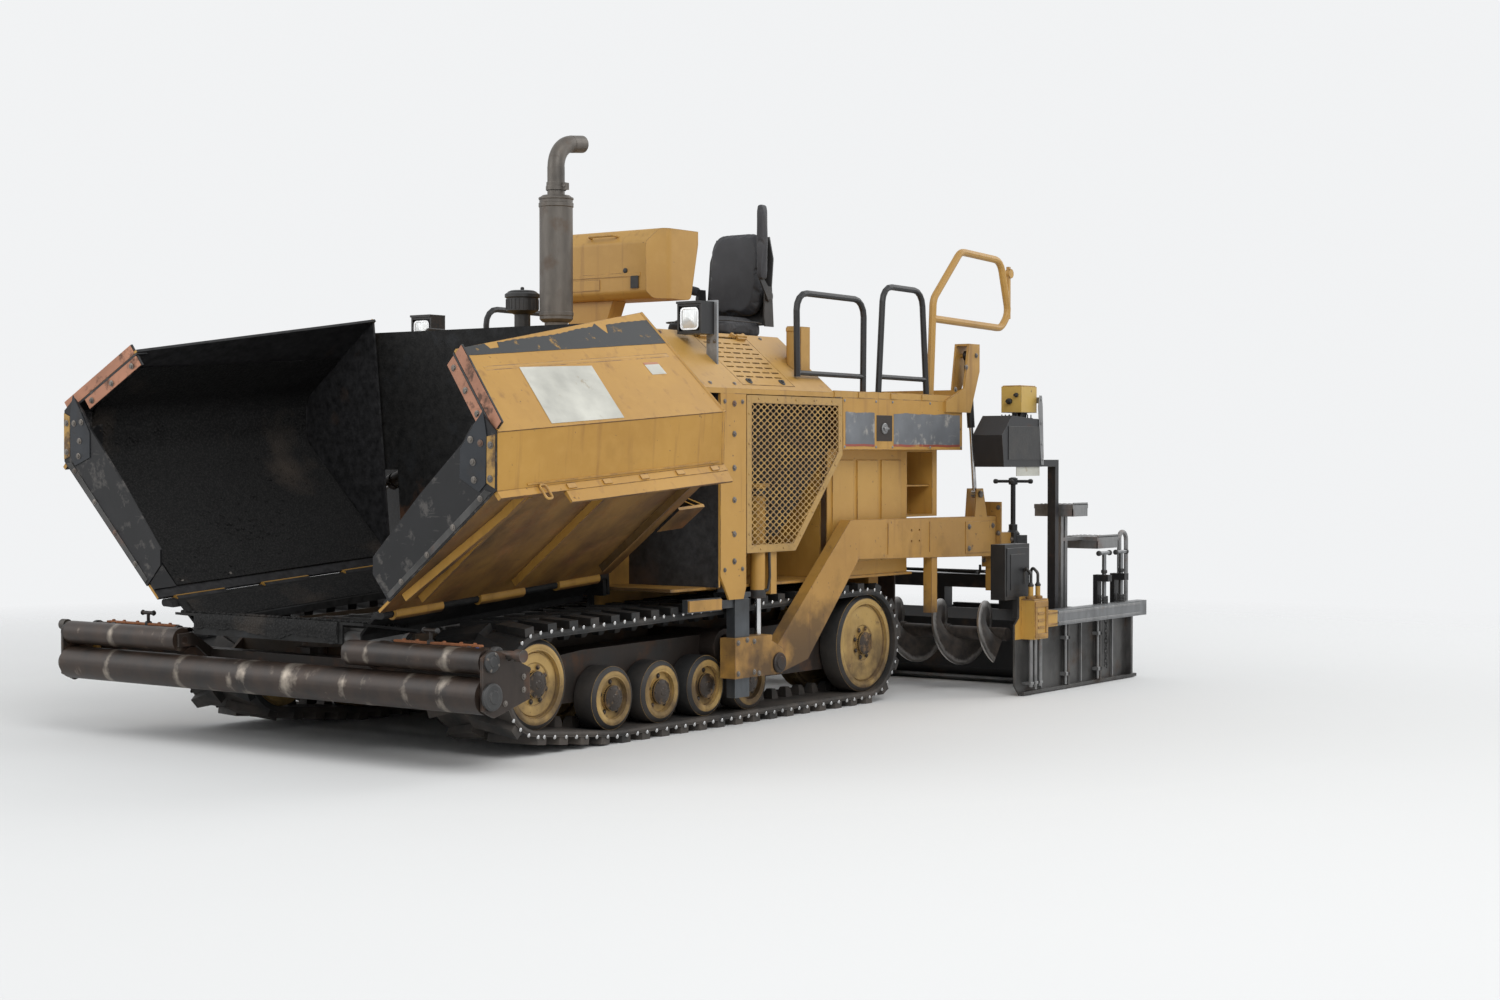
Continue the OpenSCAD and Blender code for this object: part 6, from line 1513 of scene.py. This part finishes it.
def makeGate(end, side):
    # end gate: ribs, rails, chain, springs on the depth screws, gear box trim and its hydraulic lines
    body = "gate_" + end.lower()
    face = 1.5521
    trim = begin("gateTrim" + end, "bare", body)
    for x in (-2.5, -2.1, -1.62):
        trim.sideBlock(side, (x, x + 0.01), (face, face + 0.014), (0.03, 0.372), 0.002)
    trim.sideBlock(side, (-2.76, -1.72), (1.6141, 1.618), (0.448, 0.46), 0.001)
    trim.sideBlock(side, (-2.76, -1.72), (1.6141, 1.618), (0.39, 0.402), 0.001)
    for x in (-2.28, -1.88, -1.52):
        trim.turn((x, side * 1.577, 0.03), toTop, [(0, 0.009), (0.345, 0.009)], 14)
        for z in (0.09, 0.3):
            trim.sideBlock(side, (x - 0.02, x + 0.02), (face, 1.592), (z - 0.01, z + 0.01), 0.002)
    chain = begin("gateChain" + end, "cast", body, smooth=60)
    t = circle(14)
    for k in range(9):
        u = 0.0085 * np.cos(t)
        w = 0.365 - k * 0.03 + 0.02 * np.sin(t)
        path = xyz(-2.395 + (u if k % 2 else 0 * u), side * (1.572 + (0 * u if k % 2 else u)), w)
        chain.loop(path, 0.0035, 6)
    screw = begin("gateScrews" + end, "cast", body)
    for x in (-2.42, -2.64):
        y = side * 1.546
        screw.turn((x, y, 0.452), toTop, [(0, 0.016), (0.004, 0.024), (0.012, 0.024), (0.014, 0.016)], 18)
        h = np.linspace(0, 1, 161)
        a = h * 2 * np.pi * 5
        coil = xyz(x + 0.022 * np.cos(a), y + 0.022 * np.sin(a), 0.47 + h * 0.044)
        screw.tube(coil, 0.0036, 6)
        screw.turn((x, y, 0.648), toTop, [(0, 0.016), (0.004, 0.021), (0.018, 0.021), (0.022, 0.016)], 6)
        for e in (-0.06, 0.06):
            screw.turn((x + e, y, 0.77), (1 if e > 0 else -1, 0, 0),
                [(0, 0.0112), (0.003, 0.016), (0.014, 0.016), (0.018, 0.009)], 14)
    gear = begin("gearBoxTrim" + end, "paintLow", body)
    for x0, x1, z0, z1, y in ((-1.553, -1.408, 0.5, 0.533, 1.6355), (-1.553, -1.408, 0.327, 0.352, 1.6355),
            (-1.553, -1.53, 0.352, 0.5, 1.6355), (-1.43, -1.408, 0.352, 0.5, 1.6355),
            (-1.69, -1.566, 0.388, 0.398, 1.6215), (-1.69, -1.566, 0.452, 0.462, 1.6215)):
        gear.sideBlock(side, (x0, x1), (y, y + 0.006), (z0, z1), 0.002)
    for z in (0.385, 0.425, 0.465):
        gear.sideBlock(side, (-1.518, -1.442), (1.6355, 1.64), (z - 0.007, z + 0.007), 0.002)
    for x in (-1.52, -1.44):
        gear.turn((x, side * 1.592, 0.5395), toTop,
            [(0, 0.024), (0.006, 0.027), (0.02, 0.027), (0.024, 0.016)], 20)
    gear.sideBlock(side, (-1.56, -1.4), (1.5525, 1.636), (0.5401, 0.546), 0.002)
    pins = begin("gearPins" + end, "bare", body)
    for x in (-1.53, -1.475, -1.425):
        pins.turn((x, side * 1.6, 0.05), toTop, [(0, 0.01), (0.004, 0.012), (0.268, 0.012), (0.27, 0.01)],
            14)
        pins.sideBlock(side, (x - 0.016, x + 0.016), (face, 1.612), (0.064, 0.078), 0.002)
    hook = begin("chainHook" + end, "cast", body)
    t = np.linspace(-0.3, 4.1, 22)
    hook.tube(xyz(-2.395 + 0.017 * np.cos(t), side * 1.572, 0.098 + 0.017 * np.sin(t)), 0.0045, 8)
    bolts = begin("gearBoxBolts" + end, "wornBolt", body)
    bolts.scatter(boltShape, [(x, side * 1.6, 0.54) for x in (-1.545, -1.415)], toTop, 0.008)
    bolts.scatter(boltShape, [(x, side * 1.566, 0.015) for x in np.linspace(-2.7, -1.5, 7)], (0, side, 0.4),
        0.007)
    lines = begin("gateLines" + end, "blackHose", body)
    for x in (-1.44, -1.52):
        base = (x, side * 1.592, 0.616)
        lines.turn(base, toTop, [(0, 0.0145), (0.003, 0.017), (0.012, 0.017), (0.014, 0.012),
            (0.022, 0.01)], 16)
        path = roundPath([(x, side * 1.592, 0.634), (x, side * 1.592, 0.69), (x, side * 1.56, 0.72),
            (x - 0.01, side * 1.5425, 0.7), (x - 0.01, side * 1.5425, 0.63)], 0.03, 7)
        lines.tube(path, 0.0085, 12)
    box = begin("gateBoxTrim" + end, "blackPaint", body)
    box.sideBlock(side, (-1.505, -1.262), (1.5361, 1.54), (0.565, 0.836), 0.004)
    box.sideBlock(side, (-1.47, -1.3), (1.5401, 1.543), (0.6, 0.8), 0.003)


def makeScreed(end, side):
    # covers, tread of the side steps, cases and their leads, mast bolts, crank knobs, switches and tubes
    body = "screed"
    cover = begin("screedCovers" + end, "blackPaint", body)
    for y0, y1 in ((0.06, 0.42), (0.5, 0.86), (0.94, 1.04)):
        cover.sideBlock(side, (-2.338, -2.125), (y0, y1), (0.3001, 0.312), 0.004)
        cover.sideBlock(side, (-2.3, -2.24), (y0 + 0.02, y0 + 0.05), (0.3121, 0.32), 0.002)
    steps = ((-2.296, -2.114), (-2.696, -2.424))
    tread = begin("stepTread" + end, "bare", body)
    for (x0, x1), z in zip(steps, (1.0661, 0.8661)):
        for x in np.arange(x0 + 0.012, x1 - 0.01, 0.024):
            for y in np.arange(1.262, 1.48, 0.036):
                tread.turn((x, side * (y + (0.012 if int(round((x - x0) / 0.024)) % 2 else 0)), z), toTop,
                    [(0, 0.0085), (0.002, 0.0075), (0.003, 0.004)], 6)
        tread.sideBlock(side, (x0, x1), (1.496, 1.5), (z - 0.004, z + 0.01), 0.001)
    for (x0, x1), z in zip(steps, (1.04, 0.84)):
        for x in (x0, x1 - 0.005):
            tread.sideBlock(side, (x, x + 0.005), (1.242, 1.498), (z - 0.046, z + 0.001), 0.001)
        tread.sideBlock(side, (x0, x1), (1.493, 1.498), (z - 0.046, z + 0.001), 0.001)
    strip = begin("barePlate" + end, "signWhite", body, slot="bare_steel")
    strip.sideBlock(side, (-1.735, -1.47), (1.478, 1.483), (1.238, 1.2905), 0.001)
    bracket = begin("caseBracket" + end, "bare", body)
    bracket.sidePlate(side, [(-1.765, 1.3), (-1.735, 1.3), (-1.7, 1.64), (-1.716, 1.7), (-1.738, 1.7),
        (-1.75, 1.64)], 1.4905, 0.005)
    bracket.sideBlock(side, (-1.7512, -1.7408), (1.456, 1.4905), (1.655, 1.69), 0.001)
    bracket.bolts(side, 1.4955, ((-1.748, 1.33), (-1.738, 1.42), (-1.728, 1.54), (-1.727, 1.675)), 0.0065)
    leads = begin("remoteLeads" + end, "blackHose", body)
    for x in (-1.715, -1.69, -1.6, -1.58):
        leads.turn((x, side * 1.4, 1.6003), (0, 0, -1), [(0, 0.011), (0.01, 0.011), (0.012, 0.0075),
            (0.034, 0.0055)], 12)
    leads.turn((-1.5598, side * 1.385, 1.665), (1, 0, 0),
        [(0, 0.017), (0.014, 0.017), (0.017, 0.011), (0.034, 0.01)], 16)
    leads.turn((-1.5598, side * 1.43, 1.7), (1, 0, 0),
        [(0, 0.013), (0.01, 0.013), (0.013, 0.008), (0.028, 0.007)], 14)
    bolts = begin("mastBolts" + end, "wornBolt", body)
    bolts.scatter(boltShape, [(-1.95, side * y, z) for y in (1.086, 1.176) for z in (0.56, 0.7, 0.86)],
        (1, 0, 0), 0.0105)
    bolts.scatter(boltShape, [(-2.3 + dx, side * 1.45, 0.434) for dx in (-0.03, 0.03)], toTop, 0.008)
    crank = begin("crankKnobs" + end, "plastic", body)
    for a in (25, 115):
        c, s = math.cos(math.radians(a)), math.sin(math.radians(a))
        for e in (-1, 1):
            crank.turn((-2.05 + e * 0.09 * c, side * 1.131 + side * e * 0.09 * s, 1.201),
                (e * c, side * e * s, 0), [(0, 0.0092), (0.004, 0.014), (0.02, 0.015), (0.028, 0.008)], 14)
    panel = begin("controlFace" + end, "plastic", body)
    panel.sideBlock(side, (-1.735, -1.5), (1.315, 1.475), (1.5605, 1.566), 0.002)
    for x in (-1.7, -1.66, -1.62, -1.58, -1.54):
        for w in (1.345, 1.395, 1.445):
            panel.turn((x, side * w, 1.566), toTop,
                [(0, 0.01), (0.004, 0.01), (0.005, 0.004), (0.022, 0.0032), (0.024, 0.0015)], 10)
    panel.sideBlock(side, (-1.72, -1.36), (1.4902, 1.4935), (1.33, 1.52), 0.002)
    small = begin("remoteBoxTrim" + end, "paintHigh", body)
    small.sideBlock(side, (-1.735, -1.565), (1.335, 1.455), (1.7501, 1.756), 0.003)
    rods = begin("screedTubes" + end, "blackHose", body)
    for k, (yy, zz) in enumerate(((1.06, 0.66), (1.0, 0.655), (0.94, 0.65))):
        path = roundPath([(-1.99, side * yy, 0.7), (-1.99, side * yy, zz), (-2.03, side * (yy - 0.05), zz),
            (-2.03, side * 0.3, zz + 0.004 * k), (-2.03, side * 0.22, 0.645)], 0.03, 6)
        rods.tube(path, 0.008, 10)


def makeScreedMiddle():
    # heater pipe with its burners and the crown turnbuckle on the screed's top
    piece = begin("screedPiping", "bare", "screed")
    piece.tube([(-2.06, -1.0, 0.345), (-2.06, 1.0, 0.345)], 0.014, 14)
    for y in (-0.9, -0.45, 0.0, 0.45, 0.9):
        piece.turn((-2.06, y, 0.3002), toTop, [(0, 0.03), (0.008, 0.03), (0.012, 0.018), (0.04, 0.018)], 16)
    piece.tube(roundPath([(-2.06, -1.0, 0.345), (-2.06, -1.02, 0.345), (-2.0, -1.03, 0.4),
        (-2.0, -1.03, 0.47)], 0.03, 6), 0.01, 10)
    turn = begin("crownTurnbuckle", "cast", "screed")
    turn.turn((-2.17, -0.2, 0.355), (0, 1, 0), [(0, 0.012), (0.08, 0.012), (0.085, 0.024), (0.315, 0.024),
        (0.32, 0.012), (0.4, 0.012)], 16)
    for y in (-0.215, 0.195):
        turn.block((-2.19, y, 0.3001), (-2.15, y + 0.02, 0.38), 0.004)


def makeExtension(end, side):
    body = "screed_extension_" + end.lower()
    trim = begin("extensionTrim" + end, "blackPaint", body)
    trim.sideBlock(side, (-2.7275, -2.7241), (0.56, 1.0), (0.06, 0.215), 0.001)
    trim.sideBlock(side, (-2.7275, -2.7241), (1.05, 1.49), (0.06, 0.215), 0.001)
    trim.sideBlock(side, (-2.7, -2.44), (0.6, 0.98), (0.2501, 0.26), 0.003)
    trim.sideBlock(side, (-2.7, -2.44), (1.04, 1.4), (0.2501, 0.26), 0.003)
    bolts = begin("extensionBolts" + end, "wornBolt", body)
    bolts.scatter(boltShape, [(-2.7275, side * y, z) for y in (0.58, 0.98, 1.07, 1.47)
        for z in (0.075, 0.2)], (-1, 0, 0), 0.006)


for end, side in sides.items():
    makeWheels(end, side)
    makeBelt(end, side)
    makeAuger(end, side)
    makeGate(end, side)
    makeScreed(end, side)
    makeExtension(end, side)
makeFront()
makeScreedMiddle()
finishStage("lower side dressed")


# Seat: padded pieces blown up as cloth, with piping and a moulded shell

seat = {"x": -0.33, "y": 0.2, "voxel": 0.006, "pressure": 4.0, "cap": 0.022}


def padForm(low, high, power=5.0, pull=0.012, crown=0.0, steps=26):
    # cube grid pushed onto |x|^p + |y|^p + |z|^p = 1 and scaled to the box, its sides pulled in
    u = np.linspace(-1, 1, steps)
    a, b = net(np.sin(u * np.pi / 2), np.sin(u * np.pi / 2))
    one = np.ones_like(a)
    sheets = []
    for axis in range(3):
        for sign in (-1, 1):
            p = np.stack(([sign * one, a, b], [b, sign * one, a], [a, b, sign * one])[axis], -1)
            sheets.append(p if sign > 0 else p[::-1])
    low, high = np.asarray(low, float), np.asarray(high, float)
    middle, half = (low + high) / 2, (high - low) / 2
    out = []
    for p in sheets:
        q = p / (np.sum(np.abs(p) ** power, -1, keepdims=True) ** (1 / power))
        r = q * half
        waist = 1 - np.abs(q) ** 2
        r[..., 0] -= np.sign(q[..., 0]) * np.abs(q[..., 0]) * pull * waist[..., 1]
        r[..., 1] -= np.sign(q[..., 1]) * np.abs(q[..., 1]) * pull * waist[..., 0]
        r[..., 2] += np.maximum(q[..., 2], 0) * crown * waist[..., 0] * waist[..., 1]
        out.append(middle + r)
    return out


def weldedMesh(name, grids, finish):
    points, faces, count = [], [], 0
    for g in grids:
        points.append(g.reshape(-1, 3))
        faces.append(gridFaces(*g.shape[:2]) + count)
        count += g.shape[0] * g.shape[1]
    mesh = bpy.data.meshes.new(name)
    mesh.from_pydata(np.concatenate(points).tolist(), [], np.concatenate(faces).tolist())
    work = bmesh.new()
    work.from_mesh(mesh)
    bmesh.ops.remove_doubles(work, verts=work.verts, dist=0.0002)
    bmesh.ops.recalc_face_normals(work, faces=work.faces)
    work.to_mesh(mesh)
    work.free()
    mesh.materials.append(finishes[finish])
    piece = bpy.data.objects.new(name, mesh)
    bpy.context.scene.collection.objects.link(piece)
    return piece


def coordinates(mesh):
    flat = np.empty(len(mesh.vertices) * 3)
    mesh.vertices.foreach_get("co", flat)
    return flat.reshape(-1, 3)


def puff(piece):
    # voxel skin, 20 steps of cloth under pressure without weight; no point moves more than the cap
    bpy.context.view_layer.objects.active = piece
    skin = piece.modifiers.new("skin", "REMESH")
    skin.mode, skin.voxel_size = "VOXEL", seat["voxel"]
    bpy.ops.object.modifier_apply(modifier="skin")
    start = coordinates(piece.data)
    cloth = piece.modifiers.new("cloth", "CLOTH")
    cloth.settings.use_pressure = True
    cloth.settings.uniform_pressure_force = seat["pressure"]
    cloth.settings.effector_weights.gravity = 0
    scene = bpy.context.scene
    for k in range(1, 21):
        scene.frame_set(k)
    ready = piece.evaluated_get(bpy.context.evaluated_depsgraph_get())
    shift = coordinates(ready.data) - start
    reach = np.linalg.norm(shift, axis=1, keepdims=True)
    shift *= np.minimum(1, seat["cap"] / np.maximum(reach, 1e-9))
    piece.modifiers.remove(cloth)
    scene.frame_set(1)
    piece.data.vertices.foreach_set("co", (start + shift).ravel())
    piece.data.update()


def cushion(name, low, high, turn=None, floor=None, **form):
    # turn is (pivot, axis, degrees) for a leaning back
    grids = padForm(low, high, **form)
    piece = weldedMesh(name, grids, "vinyl")
    puff(piece)
    points = coordinates(piece.data)
    if turn:
        pivot, axis, degrees = turn
        spin = np.array(Matrix.Rotation(math.radians(degrees), 3, axis))
        points = (points - np.array(pivot)) @ spin.T + np.array(pivot)
    if floor is not None:
        points[:, 2] = np.maximum(points[:, 2], floor)
    piece.data.vertices.foreach_set("co", points.ravel())
    piece.data.update()
    piece.data.shade_smooth()
    smooth = piece.modifiers.new("fine", "SUBSURF")
    smooth.levels = smooth.render_levels = 1
    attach(piece, "seat")
    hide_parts("seat_pads")
    return points


def makeSeat():
    x, y = seat["x"], seat["y"]
    lean = ((x - 0.185, 0, 2.1), "Y", -6.0)
    cushion("seatCushion", (x - 0.205, y - 0.225, 2.012), (x + 0.225, y + 0.225, 2.098), floor=2.0002,
        crown=0.01)
    cushion("seatBack", (x - 0.222, y - 0.215, 2.118), (x - 0.148, y + 0.215, 2.63), turn=lean, power=4.0,
        pull=0.02)
    cushion("armrestRaised", (x - 0.13, y + 0.238, 2.332), (x - 0.062, y + 0.274, 2.748), power=7.0,
        pull=0.002)
    cushion("armrest", (x - 0.186, y - 0.274, 2.28), (x + 0.114, y - 0.238, 2.332),
        turn=((x, 0, 2.31), "Y", -5.5), power=7.0, pull=0.002)
    shell = begin("seatShell", "plastic", "seat", smooth=40, replaces=["seat_pads"])
    # back shell: a sheet behind the cushion, bowed across and leaning with it
    u, v = net(np.linspace(-1, 1, 15), np.linspace(0, 1, 17))
    width = 0.222 * (1 - 0.16 * np.maximum(v - 0.75, 0) * 4 * np.abs(u) ** 3)
    bx = x - 0.232 - 0.052 * v + 0.02 * u ** 2 + 0.004
    between(shell, xyz(bx, y + u * width, 2.085 + 0.5 * v),
        xyz(bx - 0.012, y + u * width * 0.985, 2.085 + 0.5 * v))
    shell.block((x - 0.22, y - 0.215, 2.0002), (x + 0.215, y + 0.215, 2.018), 0.006)
    for s in (-1, 1):
        yy = y + s * 0.2335
        shell.prism([(x - 0.232, 2.075), (x - 0.15, 2.075), (x - 0.14, 2.13), (x - 0.15, 2.3),
            (x - 0.215, 2.3)], (0, yy + 0.005, 0), (1, 0, 0), toTop, 0.01, 0.002)
        shell.turn((x - 0.178, yy + s * 0.006, 2.245), (0, s, 0),
            [(0, 0.028), (0.004, 0.032), (0.01, 0.032), (0.013, 0.024)], 20)
    shell.prism([(x - 0.19, 2.225), (x - 0.155, 2.225), (x - 0.072, 2.345), (x - 0.072, 2.39),
        (x - 0.095, 2.39), (x - 0.105, 2.35), (x - 0.19, 2.265)], (0, y + 0.2485 + 0.005, 0), (1, 0, 0),
        toTop, 0.01, 0.002)
    trim = begin("seatPiping", "plastic", "seat", smooth=60, replaces=["seat_pads"])
    # piping along the cushion's upper edge and the back's front edge
    t = np.linspace(0, 2 * np.pi, 65)[:-1]
    c, s = np.cos(t), np.sin(t)
    squash = (np.abs(c) ** 5 + np.abs(s) ** 5) ** -0.2
    ring = xyz(x + 0.01 + 0.21 * c * squash, y + 0.222 * s * squash, 2.094)
    trim.loop(ring, 0.0038)
    stand = begin("seatStandTrim", "blackPaint", "seat", smooth=40)
    pleats = [(0.002 + 0.02 * k + (0.01 if half else 0.0), 0.066 if half else 0.074) for k in range(9)
        for half in (0, 1)]
    stand.turn((x, y, 1.766), toTop, [(0, 0.061)] + pleats + [(0.186, 0.061)], 28)
    for dx in (-0.12, 0.1):
        for s in (-1, 1):
            stand.block((x + dx - 0.012, y + s * 0.118 - 0.014, 1.95),
                (x + dx + 0.012, y + s * 0.118 + 0.014, 1.9605), 0.002)


makeSeat()
finishStage("seat padded")


# Floor and light

def makeFloor():
    # one flat sheet that fades into the background between two distances from the object
    mesh = bpy.data.meshes.new("floor")
    s = 60.0
    mesh.from_pydata([(-s, -s, 0), (s, -s, 0), (s, s, 0), (-s, s, 0)], [], [(0, 1, 2, 3)])
    floor = bpy.data.objects.new("floor", mesh)
    bpy.context.scene.collection.objects.link(floor)
    f = Finish("paleFloor")
    grain = f.noise(0.35, 3)
    mat = f.put(f.mix(grain, rgb(0.8, 0.8, 0.79), rgb(0.83, 0.83, 0.82)), 0.85)
    x, y = f.axis(0), f.axis(1)
    far = ((x * x + y * y) ** 0.5).over(4.0, 10.0)
    clear = f.node("BsdfTransparent")
    both = f.tree.nodes.new("ShaderNodeMixShader")
    f.tree.links.new(far.socket, both.inputs[0])
    f.tree.links.new(f.shader.outputs[0], both.inputs[1])
    f.tree.links.new(clear.socket, both.inputs[2])
    f.tree.links.new(both.outputs[0], f.tree.nodes["Material Output"].inputs["Surface"])
    mesh.materials.append(mat)


def makeLight():
    world = bpy.data.worlds.new("studio")
    bpy.context.scene.world = world
    world.use_nodes = True
    tree = world.node_tree
    path = tree.nodes.new("ShaderNodeLightPath")
    plain, shown = tree.nodes.new("ShaderNodeBackground"), tree.nodes.new("ShaderNodeBackground")
    plain.inputs[0].default_value, plain.inputs[1].default_value = rgb(0.94, 0.97, 1.0), 0.55
    shown.inputs[0].default_value, shown.inputs[1].default_value = rgb(0.93, 0.94, 0.95), 0.95
    seen = tree.nodes.new("ShaderNodeMath")
    seen.operation = "MAXIMUM"
    tree.links.new(path.outputs["Is Camera Ray"], seen.inputs[0])
    tree.links.new(path.outputs["Is Glossy Ray"], seen.inputs[1])
    through = tree.nodes.new("ShaderNodeMath")
    through.operation = "MAXIMUM"
    tree.links.new(seen.outputs[0], through.inputs[0])
    tree.links.new(path.outputs["Is Transmission Ray"], through.inputs[1])
    mix = tree.nodes.new("ShaderNodeMixShader")
    tree.links.new(through.outputs[0], mix.inputs[0])
    tree.links.new(plain.outputs[0], mix.inputs[1])
    tree.links.new(shown.outputs[0], mix.inputs[2])
    tree.links.new(mix.outputs[0], tree.nodes["World Output"].inputs["Surface"])
    for name, place, size, power in (("key", (6, 9, 9), 7, 680), ("side", (9, -6, 6), 7, 300),
            ("rear", (-9, 4, 8), 8, 420)):
        data = bpy.data.lights.new(name, "AREA")
        data.size, data.energy = size, power
        lamp = bpy.data.objects.new(name, data)
        lamp.location = place
        lamp.rotation_mode = "QUATERNION"
        lamp.rotation_quaternion = (Vector((0, 0, 1)) - Vector(place)).to_track_quat("-Z", "Y")
        bpy.context.scene.collection.objects.link(lamp)


makeFloor()
makeLight()
print("floor and light made")
